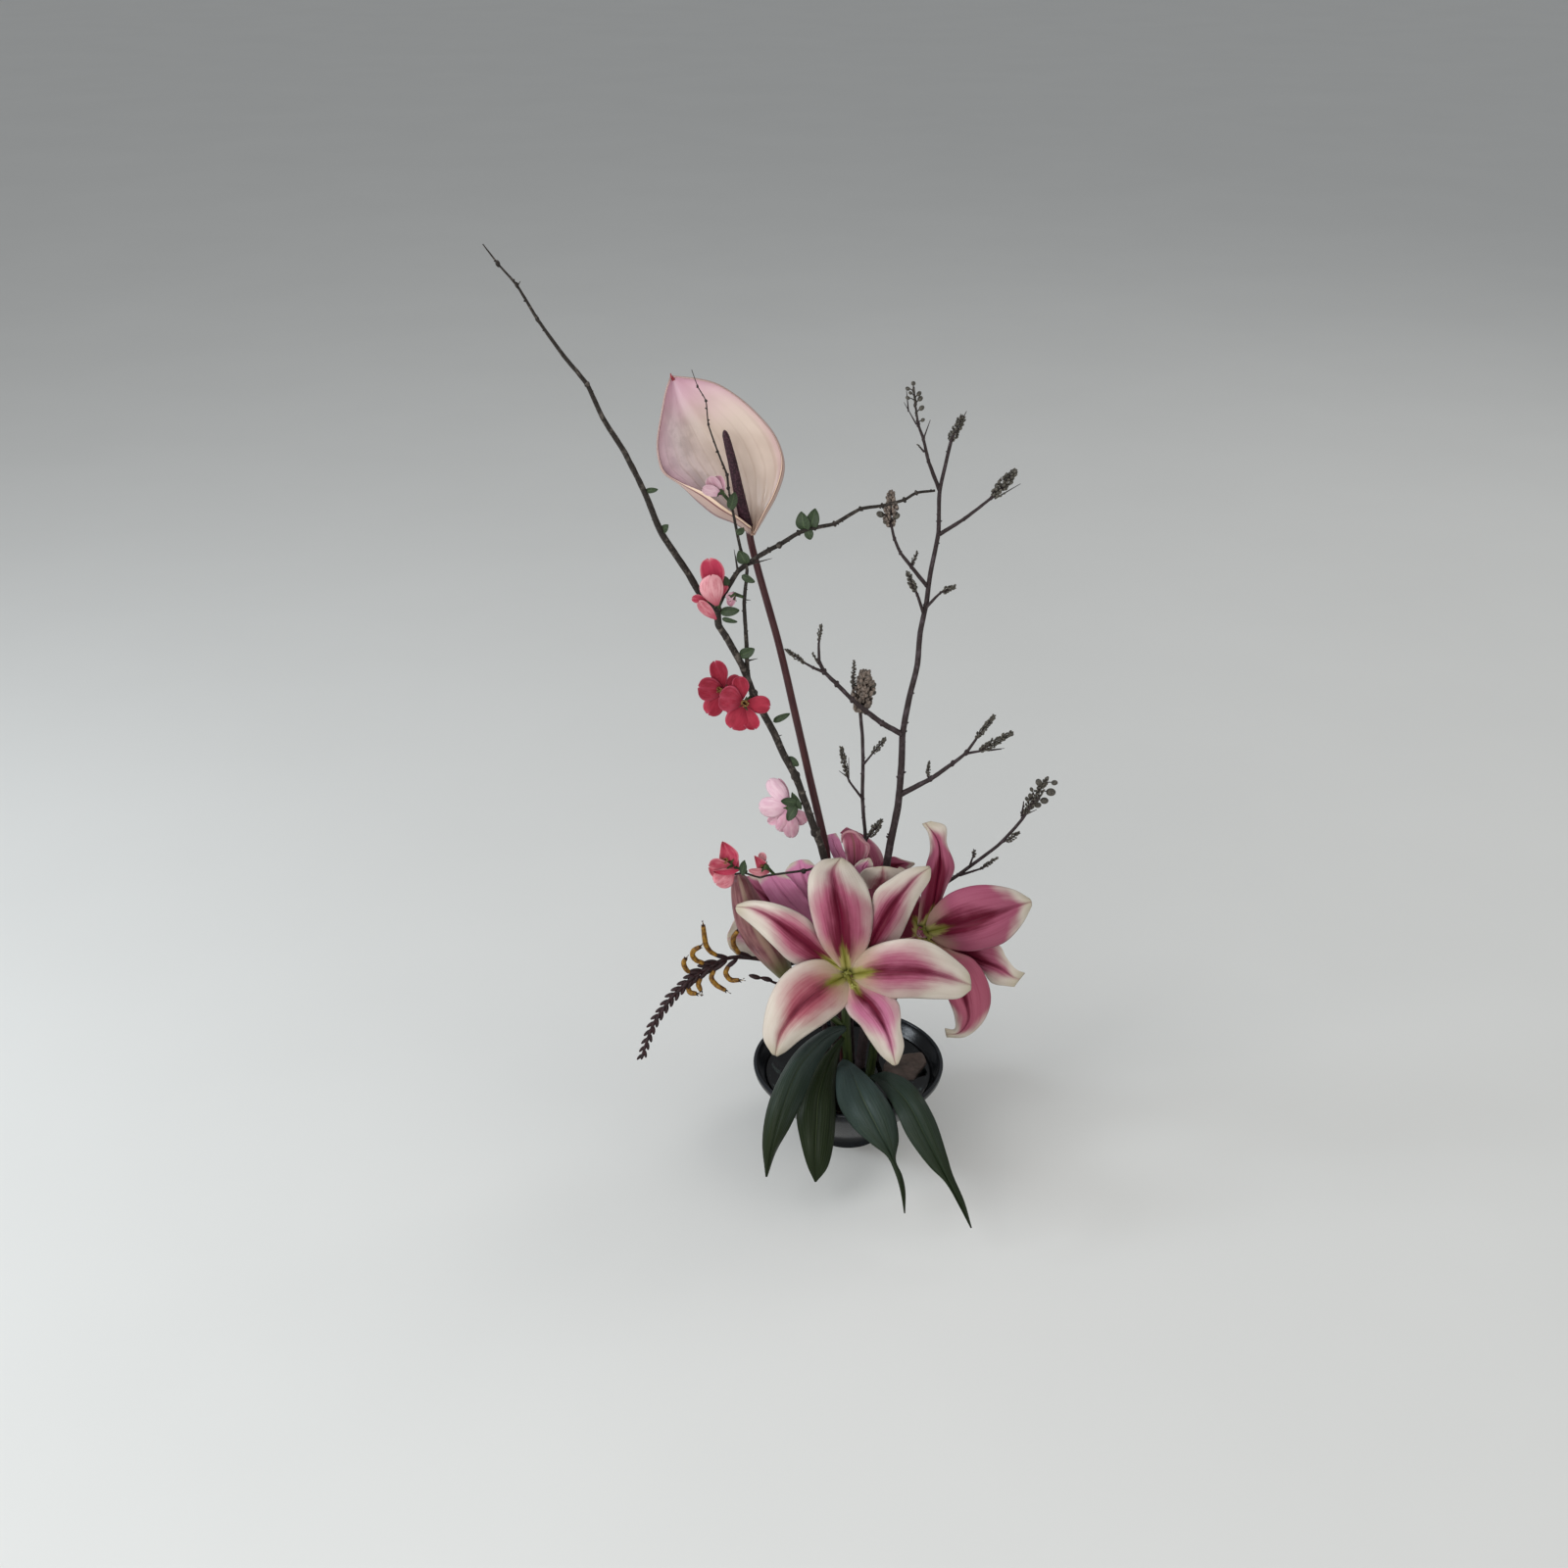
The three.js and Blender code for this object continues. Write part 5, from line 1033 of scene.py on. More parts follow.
# For each petal: how far its margins wave in millimetres, how far its pink and its crimson spread,
# whether its pink leans to salmon (1) or lilac (-1), and whether its inner face shows
FRONT_LOOKS = [
    (1.4, 1.05, 1.05, 0.2, True), (0.9, 1.2, 1.15, 0.15, True), (1.4, 1.0, 1.15, 0.0, True),
    (1.0, 0.95, 0.6, -0.1, True), (1.6, 1.1, 0.75, -0.45, True), (1.0, 0.88, 0.4, 0.5, True),
]
RIGHT_LOOKS = [
    (1.0, 2.3, 1.1, 0.0, True), (1.8, 2.2, 1.9, 0.0, True), (1.4, 2.2, 0.9, 0.3, True),
    (1.8, 1.7, 2.0, 0.0, True), (0.8, 1.8, 2.2, 0.0, True), (0.8, 1.6, 1.6, 0.0, True),
]
TOP_LOOKS = [
    (1.0, 0.9, 0.5, 0.1, False), (1.2, 0.9, 0.6, 0.2, False), (0.8, 2.9, 0.0, -0.85, True),
    (0.8, 2.3, 2.2, 0.1, True), (0.6, 1.6, 0.0, -0.9, True), (0.8, 0.6, 0.2, 0.4, True),
]
LEFT_LOOKS = [
    (0.8, 2.75, 0.1, -0.8, True), (0.8, 2.7, 1.2, -0.2, True), (0.8, 2.7, 0.1, -0.9, True),
    (1.2, 1.1, 0.2, -0.6, True), (0.8, 2.6, 0.2, -0.8, True), (0.8, 1.8, 0.2, -0.8, True),
]


# Looks of the pieces


def across_rib(tree):
    """How far a point of a petal or leaf lies from its rib (0 to 1), how far along it is, and its UV."""
    uv = own_uv(tree)
    u, t, _ = split(tree, uv)
    away = sums(tree, "ABSOLUTE", spread(tree, u, 2, -1))
    return away, t, uv


def streak_effect():
    """Fine lengthwise streaks and broad uneven patches of a petal or leaf."""
    tree, entry, leave = effect(
        "long streaks",
        [("UV", "Vector"), ("Fineness", "Float")],
        [("Streaks", "Float"), ("Patches", "Float")],
    )
    stretched = put(tree, "ShaderNodeCombineXYZ", entry["Fineness"], 2.2, 1)
    along = put(tree, "ShaderNodeVectorMath", entry["UV"], stretched, operation="MULTIPLY")
    tree.links.new(cloud(tree, along, 1, 4, 0.6), leave["Streaks"])
    tree.links.new(cloud(tree, scaled(tree, entry["UV"], (3, 2.5, 1)), 1.6, 3, 0.5), leave["Patches"])
    return tree


def bark_effect():
    """Wrinkles along a stem, lighter breathing pores, and lichen-grey weathering."""
    tree, entry, leave = effect(
        "bark",
        [("UV", "Vector"), ("Coarseness", "Float")],
        [("Height", "Float"), ("Weathering", "Float"), ("Pores", "Float")],
    )
    stretched = put(tree, "ShaderNodeCombineXYZ", 5, entry["Coarseness"], 1)
    along = put(tree, "ShaderNodeVectorMath", entry["UV"], stretched, operation="MULTIPLY")
    wrinkles = cloud(tree, along, 3, 5, 0.65)
    rings = cloud(tree, scaled(tree, entry["UV"], (0.6, 9, 1)), 2, 3, 0.5)
    tree.links.new(plus(tree, wrinkles, times(tree, rings, 0.5)), leave["Height"])
    tree.links.new(cloud(tree, scaled(tree, entry["UV"], (2, 1.3, 1)), 1.2, 3, 0.6), leave["Weathering"])
    pores = cells(tree, scaled(tree, entry["UV"], (7, 9, 1)), 1)
    tree.links.new(fade(tree, pores, 0.08, 0.16, 1.0, 0.0), leave["Pores"])
    return tree


def vein_effect():
    """Parallel veins that run from the foot of a leaf to its tip."""
    tree, entry, leave = effect(
        "parallel veins",
        [("UV", "Vector"), ("Count", "Float")],
        [("Veins", "Float")],
    )
    u, _, _ = split(tree, entry["UV"])
    drift = times(tree, minus(tree, cloud(tree, entry["UV"], 3, 2), 0.5), 0.05)
    turn = times(tree, plus(tree, u, drift), times(tree, entry["Count"], math.tau))
    wave = sums(tree, "COSINE", turn)
    tree.links.new(fade(tree, wave, 0.55, 1.0), leave["Veins"])
    return tree


STREAKS = streak_effect()
BARK = bark_effect()
VEINS = vein_effect()


def streaked(tree, uv, fineness):
    """The streaks and the patches of a petal or leaf."""
    made = use(tree, STREAKS, UV=uv, Fineness=fineness)
    return made["Streaks"], made["Patches"]


def lily_face(tree):
    """The inner face: a crimson rib band through pink to cream edges, with painted grey shade in the cream
    and a green star at the foot.
    """
    away, t, uv = across_rib(tree)
    streaks, patches = streaked(tree, uv, 34)
    rough_edge = spread(tree, streaks, 0.34, -0.17)
    uneven = spread(tree, patches, 0.5, -0.25)
    reach = plus(tree, away, plus(tree, rough_edge, uneven))
    blush, deep, warmth, starred = [mark(tree, name) for name in ("blush", "deep", "warmth", "starred")]
    pink_width = ramp(tree, t, [(0, 0.5), (0.2, 0.95), (0.5, 0.9), (0.78, 0.42), (0.97, 0.0)])
    flooded = times(tree, minus(tree, blush, 2.45), 2, clamp=True)
    pink_width = plus(tree, times(tree, pink_width, blush), flooded)
    pink = fade(tree, minus(tree, reach, pink_width), -0.6, 0.3, 1.0, 0.0)
    red_width = ramp(tree, t, [(0, 0.4), (0.2, 0.46), (0.45, 0.34), (0.7, 0.12), (0.9, 0.0)])
    red_width = times(tree, red_width, deep)
    red_width = minus(tree, red_width, fade(tree, t, 0.58, 0.98, 0.0, 0.26))
    red = fade(tree, minus(tree, reach, red_width), -0.26, 0.2, 1.0, 0.0)
    red = times(tree, red, fade(tree, deep, 0.0, 0.5))
    line_end = times(tree, fade(tree, t, 0.6, 0.95, 1.0, 0.0), fade(tree, t, 0.28, 0.42))
    line = times(tree, fade(tree, away, 0.012, 0.05, 1.0, 0.0), line_end)
    cream = blend(tree, patches, "c4b9a8", "d7cec2")
    cream = blend(tree, times(tree, streaks, 0.5), cream, "cbbcb2")
    # painted shade: grey-brown darkening of the cream along streaks towards the margins
    shade = times(tree, fade(tree, streaks, 0.45, 0.75), fade(tree, away, 0.3, 0.9))
    cream = blend(tree, times(tree, shade, 0.3), cream, "a79c86")
    cream = blend(tree, fade(tree, t, 0.86, 1.0, 0.0, 0.45), cream, "a99f7d")
    rose = blend(tree, streaks, "873750", "ac6078")
    salmon = blend(tree, streaks, "943a40", "b76466")
    lilac = blend(tree, streaks, "bd5a88", "dc9dbb")
    rose = blend(tree, fade(tree, warmth, 0.0, 1.0), rose, salmon)
    rose = blend(tree, fade(tree, warmth, 0.0, -1.0), rose, lilac)
    colour = blend(tree, pink, cream, rose)
    frayed = plus(tree, t, spread(tree, streaks, 0.16, -0.08))
    halo = times(tree, fade(tree, frayed, 0.1, 0.34, 0.6, 0.0), starred)
    colour = blend(tree, halo, colour, "c2ac8e")
    colour = blend(tree, red, colour, blend(tree, streaks, "4b0314", "731335"))
    colour = blend(tree, times(tree, line, 0.3), colour, "4f0820")
    star_width = ramp(tree, frayed, [(0, 0.9), (0.08, 0.48), (0.16, 0.2), (0.26, 0.0)])
    star = fade(tree, minus(tree, away, star_width), -0.16, 0.12, 1.0, 0.0)
    star = times(tree, star, fade(tree, frayed, 0.22, 0.32, 1.0, 0.0))
    star = times(tree, star, starred)
    green = blend(tree, fade(tree, away, 0.0, 0.35), "7d7b2e", "aca562")
    colour = blend(tree, star, colour, green)
    heart = times(tree, fade(tree, t, 0.0, 0.05, 0.8, 0.0), starred)
    colour = blend(tree, heart, colour, "3c4413")
    specks = cells(tree, scaled(tree, uv, (26, 46, 1)), 1)
    rare = fade(tree, cloud(tree, scaled(tree, uv, (9, 14, 1)), 1, 1), 0.6, 0.7)
    dots = times(tree, fade(tree, specks, 0.06, 0.13, 1.0, 0.0), rare)
    dots = times(tree, dots, fade(tree, t, 0.6, 0.8, 1.0, 0.25))
    colour = blend(tree, times(tree, dots, 0.8), colour, "4c1026")
    ribs = cloud(tree, scaled(tree, uv, (42, 3, 1)), 1, 3, 0.5)
    pimples = cells(tree, scaled(tree, uv, (60, 110, 1)), 1)
    height = plus(tree, ribs, times(tree, pimples, 0.25))
    groove = fade(tree, away, 0.0, 0.1, -0.7, 0.0)
    height = plus(tree, height, groove)
    return colour, spread(tree, streaks, 0.2, 0.42), relief(tree, height, 0.55, 0.5)


def lily_back(tree):
    """The outer face: dusky maroon-pink, paler along its margins, with a greenish raised rib."""
    away, t, uv = across_rib(tree)
    streaks, patches = streaked(tree, uv, 30)
    margin = plus(tree, away, spread(tree, patches, 0.4, -0.2))
    colour = blend(tree, fade(tree, streaks, 0.3, 0.7), "85384e", "a86076")
    colour = blend(tree, fade(tree, margin, 0.6, 1.1), colour, "c9a3a8")
    rib = fade(tree, away, 0.05, 0.16, 0.6, 0.0)
    colour = blend(tree, rib, colour, "7b5648")
    colour = blend(tree, fade(tree, t, 0.08, 0.3, 0.8, 0.0), colour, "7d7c48")
    raised = fade(tree, away, 0.0, 0.12, 1.0, 0.0)
    height = plus(tree, cloud(tree, scaled(tree, uv, (36, 3, 1)), 1, 3), raised)
    return colour, spread(tree, streaks, 0.2, 0.42), relief(tree, height, 0.5, 0.5)


def quince_face(base, flush_and_shade, pale):
    """A small petal: fine radiating veins, paler or deeper by petal, deep at its foot (partly painted
    shade), pale at its rim (partly a painted highlight).
    """
    def colour_of(tree):
        away, t, uv = across_rib(tree)
        streaks, patches = streaked(tree, uv, 14)
        depth = plus(tree, mark(tree, "deep"), spread(tree, patches, 0.8, -0.4))
        colour = blend(tree, fade(tree, depth, 0.0, 1.0), pale, base)
        colour = blend(tree, fade(tree, streaks, 0.42, 0.7, 0.0, 0.45), colour, flush_and_shade)
        # pale rim: partly the petal's own paler edge, partly a painted highlight
        rim = sums(tree, "MAXIMUM", fade(tree, t, 0.9, 1.0), fade(tree, away, 0.78, 1.0))
        colour = blend(tree, times(tree, rim, 0.38), colour, pale)
        # deep foot: partly the petal's own deeper base, partly painted shade
        colour = blend(tree, fade(tree, t, 0.0, 0.5, 0.75, 0.0), colour, flush_and_shade)
        height = plus(tree, streaks, times(tree, cloud(tree, uv, 18, 3), 0.4))
        return colour, spread(tree, patches, 0.2, 0.45), relief(tree, height, 0.5, 0.35)

    return colour_of


def bark_skin(dark, light, weathered, coarseness, pores=0.7):
    """Wrinkled bark with weathered patches and pale pores."""
    def colour_of(tree):
        bark = use(tree, BARK, UV=own_uv(tree), Coarseness=coarseness)
        height, weathering, spots = bark["Height"], bark["Weathering"], bark["Pores"]
        colour = blend(tree, fade(tree, height, 0.45, 1.05), dark, light)
        colour = blend(tree, fade(tree, weathering, 0.5, 0.72, 0.0, 0.8), colour, weathered)
        colour = blend(tree, times(tree, spots, pores), colour, "8d8270")
        return colour, spread(tree, weathering, 0.3, 0.45), relief(tree, height, 0.8, 0.7)

    return colour_of


def smooth_stem(dark, light, stain, fineness=10):
    """A smooth green or maroon stem with fine lengthwise lines and stained patches."""
    def colour_of(tree):
        uv = own_uv(tree)
        lines = cloud(tree, scaled(tree, uv, (fineness, 0.5, 1)), 1, 4, 0.6)
        patches = cloud(tree, scaled(tree, uv, (1.5, 0.5, 1)), 1, 3)
        colour = blend(tree, fade(tree, lines, 0.3, 0.7), dark, light)
        colour = blend(tree, fade(tree, patches, 0.45, 0.75, 0.0, 0.6), colour, stain)
        return colour, spread(tree, patches, 0.25, 0.25), relief(tree, lines, 0.5, 0.4)

    return colour_of


def lily_leaf_face(tree):
    """Dark green with parallel veins and a thin rib, under a painted bluish sheen that fades towards the
    tip.
    """
    away, t, uv = across_rib(tree)
    veins = use(tree, VEINS, UV=uv, Count=15)["Veins"]
    streaks, patches = streaked(tree, uv, 60)
    colour = blend(tree, patches, "0f1708", "1d270f")
    colour = blend(tree, fade(tree, streaks, 0.4, 0.75, 0.0, 0.35), colour, "2c3820")
    colour = blend(tree, times(tree, veins, 0.22), colour, "364326")
    # painted sheen: a bluish-grey highlight laid over the leaf, strongest at its foot and fading towards
    # the tip
    reach = minus(tree, 1.15, times(tree, patches, 0.5))
    bloom = fade(tree, minus(tree, t, reach), -0.75, 0.0, 1.0, 0.0)
    bloom = times(tree, bloom, mark(tree, "painted_sheen"))
    colour = blend(tree, bloom, colour, blend(tree, streaks, "2a3735", "414e4a"))
    rib = times(tree, fade(tree, away, 0.008, 0.03, 0.5, 0.0), fade(tree, t, 0.1, 0.35))
    colour = blend(tree, rib, colour, "5a6546")
    scratches = cloud(tree, scaled(tree, uv, (30, 3, 1)), 2, 2, 0.4)
    scratches = times(tree, fade(tree, scratches, 0.68, 0.74), 0.3)
    colour = blend(tree, scratches, colour, "5c664e")
    height = minus(tree, times(tree, streaks, 0.4), times(tree, veins, 0.4))
    height = plus(tree, height, fade(tree, away, 0.0, 0.05, -0.6, 0.0))
    return colour, spread(tree, streaks, 0.22, 0.3), relief(tree, height, 0.6, 0.5)


def lily_leaf_back(tree):
    """Mid green with paler parallel veins and rib."""
    away, _, uv = across_rib(tree)
    veins = use(tree, VEINS, UV=uv, Count=15)["Veins"]
    patches = cloud(tree, uv, 5, 3)
    colour = blend(tree, patches, "253622", "34482d")
    colour = blend(tree, fade(tree, away, 0.02, 0.08, 0.7, 0.0), colour, "4d633c")
    return (
        blend(tree, times(tree, veins, 0.4), colour, "465c3a"),
        spread(tree, patches, 0.2, 0.4),
        relief(tree, veins, 0.5, 0.4),
    )


def quince_leaf_face(tree):
    """Dark green with a paler rib and slanting side veins."""
    away, t, uv = across_rib(tree)
    slant = minus(tree, t, times(tree, away, 0.22))
    veins = fade(tree, sums(tree, "SINE", times(tree, slant, 44)), 0.75, 1.0)
    patches = cloud(tree, uv, 4, 3)
    colour = blend(tree, patches, "1f2b1a", "3d4e31")
    colour = blend(tree, times(tree, veins, 0.3), colour, "526344")
    colour = blend(tree, fade(tree, away, 0.03, 0.1, 0.5, 0.0), colour, "586a45")
    return colour, spread(tree, patches, 0.25, 0.36), relief(tree, minus(tree, patches, veins), 0.5, 0.3)


def spathe_face(tree):
    """Waxy and pale: mauve at the tip, a painted lilac highlight down the left side, a left half greyer
    partly by its own grey-mauve and partly by a painted whitish reflection, fawn between ribs from the
    foot, a thin red rim.
    """
    away, t, uv = across_rib(tree)
    u, _, _ = split(tree, uv)
    patches = cloud(tree, scaled(tree, uv, (2.2, 2, 1)), 1.2, 3, 0.5)
    waver = times(tree, cloud(tree, scaled(tree, uv, (14, 1.5, 1)), 1, 2), 1.6)
    fan = plus(tree, sums(tree, "SINE", times(tree, u, 88)), waver)
    ribs = times(tree, fade(tree, fan, 1.3, 2.0), fade(tree, t, 0.3, 0.8, 1.0, 0.0))
    colour = blend(tree, fade(tree, patches, 0.35, 0.65), "bba696", "d3bfb0")
    # greyer left half: partly the spathe's own grey-mauve, partly a painted whitish reflection
    left = fade(tree, u, 0.2, 0.6, 1.0, 0.0)
    grey = blend(tree, fade(tree, cloud(tree, uv, 9, 4), 0.4, 0.6), "af9e9f", "cbbaba")
    colour = blend(tree, times(tree, left, 0.85), colour, grey)
    tip = fade(tree, plus(tree, t, times(tree, patches, 0.24)), 0.74, 1.08)
    # painted lilac highlight down the far left side, joined with the spathe's own mauve tip
    left_lilac_highlight = times(tree, fade(tree, u, 0.1, 0.3, 1.0, 0.0), fade(tree, t, 0.08, 0.4))
    pink = sums(tree, "MAXIMUM", times(tree, left_lilac_highlight, 0.6), tip)
    mauve = blend(tree, patches, "c28c9f", "dcb3c6")
    colour = blend(tree, times(tree, pink, 0.85), colour, mauve)
    colour = blend(tree, fade(tree, away, 0.7, 0.86, 0.0, 0.4), colour, "bd8c9c")
    colour = blend(tree, times(tree, ribs, 0.34), colour, "ab8f7c")
    colour = blend(tree, fade(tree, t, 0.0, 0.14, 0.6, 0.0), colour, "c79b80")
    fold = times(tree, fade(tree, away, 0.838, 0.85), fade(tree, away, 0.88, 0.9, 1.0, 0.0))
    rim = sums(tree, "MAXIMUM", fade(tree, away, 0.972, 0.99), fold)
    colour = blend(tree, times(tree, rim, 0.8), colour, "74404d")
    height = plus(tree, times(tree, ribs, -1), times(tree, patches, 0.8))
    grain = cells(tree, scaled(tree, uv, (120, 120, 1)), 1)
    height = plus(tree, height, times(tree, grain, 0.12))
    return colour, spread(tree, patches, 0.18, 0.24), relief(tree, height, 0.5, 0.5)


def spathe_back(tree):
    """Dusky pink and fawn, with a red-brown line along the lip and a pale rolled strip beyond it."""
    away, t, uv = across_rib(tree)
    patches = cloud(tree, uv, 4, 3)
    colour = blend(tree, patches, "ab9a8e", "c3aba4")
    colour = blend(tree, fade(tree, t, 0.1, 0.7, 0.5, 0.0), colour, "b39d86")
    colour = blend(tree, fade(tree, away, 0.84, 0.9, 0.0, 0.4), colour, "b58c86")
    fold = times(tree, fade(tree, away, 0.838, 0.85), fade(tree, away, 0.875, 0.89, 1.0, 0.0))
    colour = blend(tree, times(tree, fold, 0.75), colour, "74404d")
    line = times(tree, fade(tree, away, 0.945, 0.955), fade(tree, away, 0.962, 0.97, 1.0, 0.0))
    colour = blend(tree, times(tree, line, 0.9), colour, "6b2f36")
    strip = times(tree, fade(tree, away, 0.962, 0.972), fade(tree, t, 0.3, 0.5, 1.0, 0.35))
    return (
        blend(tree, strip, colour, "dcc0a6"),
        spread(tree, patches, 0.2, 0.34),
        relief(tree, cloud(tree, scaled(tree, uv, (16, 2, 1)), 1, 3), 0.4, 0.4),
    )


def spadix_skin(tree):
    """Close-set tiny florets in patches of two tones."""
    uv = own_uv(tree)
    florets = cells(tree, scaled(tree, uv, (15, 7, 1)), 1)
    patches = cloud(tree, uv, 2, 2)
    colour = blend(tree, fade(tree, florets, 0.1, 0.6), "4a2a35", "29141c")
    return (
        blend(tree, fade(tree, patches, 0.4, 0.7, 0.0, 0.4), colour, "452733"),
        spread(tree, florets, 0.3, 0.4),
        relief(tree, times(tree, florets, -1), 0.4, 0.3),
    )


def lily_bud_skin(tree):
    """Dusky maroon with fine lines, three paler ridges and a green foot."""
    uv = own_uv(tree)
    u, cm_along, _ = split(tree, uv)
    lines = cloud(tree, scaled(tree, uv, (22, 0.6, 1)), 1, 4, 0.6)
    patches = cloud(tree, scaled(tree, uv, (2.2, 0.5, 1)), 1, 3)
    ridge = sums(tree, "COSINE", times(tree, u, 3 * math.tau))
    colour = blend(tree, fade(tree, lines, 0.3, 0.7), "5f2f36", "8d5f5f")
    colour = blend(tree, fade(tree, patches, 0.45, 0.75, 0.0, 0.55), colour, "75544b")
    colour = blend(tree, fade(tree, ridge, 0.7, 1.0, 0.0, 0.55), colour, "a08d76")
    foot = fade(tree, plus(tree, cm_along, patches), 0.9, 3.8, 0.85, 0.0)
    colour = blend(tree, foot, colour, "5d6138")
    return colour, spread(tree, lines, 0.25, 0.32), relief(tree, lines, 0.6, 0.6)


def mottled(dark, light, accent, scale, roughness=(0.4, 0.3), depth=0.5, share=0.5):
    """Small parts: two tones in patches, flecked with a third, with a fine uneven surface."""
    def colour_of(tree):
        place = own_place(tree)
        patches = cloud(tree, place, scale, 3)
        fine = cloud(tree, place, scale * 7, 2)
        colour = blend(tree, fade(tree, patches, 0.35, 0.65), dark, light)
        colour = blend(tree, fade(tree, fine, 0.52, 0.7, 0.0, share), colour, accent)
        return colour, spread(tree, patches, roughness[1], roughness[0]), relief(tree, fine, 0.5, depth)

    return colour_of


def glaze_skin(tree):
    """Black glaze: a faint painted blue-grey sparkle, throwing rings, a painted grey highlight on the lip,
    and duller by the foot.
    """
    place = own_place(tree)
    sparkle = cells(tree, place, 700)
    patches = cloud(tree, place, 22, 4)
    _, _, z = split(tree, place)
    rings = sums(tree, "SINE", times(tree, z, 2600))
    colour = blend(tree, fade(tree, patches, 0.35, 0.7), "07080a", "101317")
    # painted sparkle: blue-grey glints painted into the glaze colour
    painted_sparkle = times(tree, fade(tree, sparkle, 0.1, 0.3, 0.6, 0.0), fade(tree, patches, 0.4, 0.6))
    colour = blend(tree, painted_sparkle, colour, "39434f")
    # painted grey highlight along the lip
    colour = blend(tree, fade(tree, z, 0.0625, 0.0638, 0.0, 0.5), colour, "2c2f33")
    height = plus(tree, times(tree, rings, 0.1), cloud(tree, place, 260, 3))
    dull = fade(tree, z, 0.014, 0.026, 0.6, 0.14)
    return colour, spread(tree, cloud(tree, place, 500, 2), 0.16, dull), relief(tree, height, 0.3, 0.2)


def water_skin(tree):
    place = own_place(tree)
    ripples = cloud(tree, place, 55, 2)
    return (
        blend(tree, ripples, "141918", "1e2422"),
        spread(tree, ripples, 0.05, 0.03),
        relief(tree, ripples, 0.15, 0.3),
    )


def pin_metal(tree):
    place = own_place(tree)
    wear = cloud(tree, place, 90, 4)
    colour, metal = blend(tree, wear, "4d4b40", "8a8468"), fade(tree, wear, 0.3, 0.5, 0.6, 1.0)
    return colour, spread(tree, wear, 0.4, 0.25), relief(tree, wear, 0.4, 0.3), metal


def stone_skin(tree):
    """Brown-grey in uneven layers, some of them paler and tan, with fine pits."""
    place = own_place(tree)
    layers = cloud(tree, scaled(tree, place, (1, 1, 4)), 45, 5, 0.65)
    pits = cells(tree, place, 420)
    colour = blend(tree, fade(tree, layers, 0.35, 0.7), "342c26", "574a43")
    colour = blend(tree, fade(tree, layers, 0.6, 0.8, 0.0, 0.6), colour, "7b6a5d")
    height = plus(tree, layers, times(tree, pits, 0.25))
    return colour, spread(tree, layers, 0.3, 0.5), relief(tree, height, 0.8, 1.2)


def floor_skin(tree):
    place = own_place(tree)
    patches = cloud(tree, place, 3, 3)
    return blend(tree, patches, "dcdcd8", "e2e2de"), 0.8


LOOKS = {
    "lily_face": finish("lily inner face", lily_face, shine=0.2),
    "lily_back": finish("lily outer face", lily_back, shine=0.2),
    "quince_red": finish("red quince petal", quince_face("9f283c", "701324", "bf5d74"), shine=0.2),
    "quince_coral": finish("coral quince petal", quince_face("b93c55", "9c2742", "dfa3a8"), shine=0.2),
    "quince_pink": finish("pink quince petal", quince_face("c0758e", "b8829a", "dcbcc4"), shine=0.2),
    "quince_wood": finish("quince bark", bark_skin("17130f", "322b26", "6a625a", 1.2, 0.5), shine=0.25),
    "quince_leaf": finish("quince leaf", quince_leaf_face, shine=0.35),
    "calyx": finish("green calyx", mottled("24331b", "3f5329", "5a4032", 300), shine=0.3),
    "filament": finish("red filaments", mottled("5a2a1e", "7d4a35", "8a7a44", 500), shine=0.3),
    "anther": finish("yellow anthers", mottled("6f4f26", "8f7340", "4f2f1a", 500), shine=0.3),
    "anthurium_stem": finish("maroon stem", smooth_stem("33161a", "4a2526", "3b2220"), shine=0.3),
    "spathe_face": finish("waxy spathe", spathe_face, Coat_Weight=0.3, Coat_Roughness=0.22),
    "spathe_back": finish("spathe back", spathe_back, Coat_Weight=0.15, Coat_Roughness=0.3),
    "spathe_tip": finish("red spathe tip", mottled("8c2a35", "b04a52", "6a2229", 300), shine=0.3),
    "spadix": finish("spadix florets", spadix_skin, shine=0.25),
    "budded_wood": finish(
        "brown twig bark", bark_skin("211819", "382b2b", "51464a", 0.9, 0.3), shine=0.3,
    ),
    "bud_scale": finish(
        "small olive buds", mottled("242119", "4e493f", "8d877a", 420, depth=0.8, share=0.7),
    ),
    "dry_bud": finish("dry tan buds", mottled("3b322b", "7f7064", "b8a79b", 420, depth=0.8, share=0.7)),
    "lily_stem": finish("lily stem", smooth_stem("1c2611", "343f1d", "2b2a1a", 12), shine=0.3),
    "leaf_face": finish(
        "lily leaf", lily_leaf_face, shine=0.12, Coat_Weight=0.04, Coat_Roughness=0.3,
    ),
    "leaf_back": finish("lily leaf back", lily_leaf_back, shine=0.25),
    "pistil": finish("lily pistil", mottled("77762a", "9a984e", "5f5a22", 220, (0.4, 0.2)), shine=0.3),
    "lily_bud": finish("lily bud", lily_bud_skin, shine=0.25),
    "bract": finish("dark bracts", mottled("1a0d0f", "30191b", "45241f", 320, (0.4, 0.3)), shine=0.3),
    "tube": finish(
        "ochre flower tubes", mottled("5c3913", "9c7222", "38200e", 330, (0.4, 0.2), share=0.65), shine=0.3,
    ),
    "glaze": finish("black glaze", glaze_skin, shine=0.2),
    "water": finish("still water", water_skin, Transmission_Weight=1.0, IOR=1.33),
    "metal": finish("pin holder metal", pin_metal),
    "stone": finish("split stone", stone_skin, shine=0.3),
    "floor": finish("pale floor", floor_skin),
}


# Bowl, water, pin holder and stone

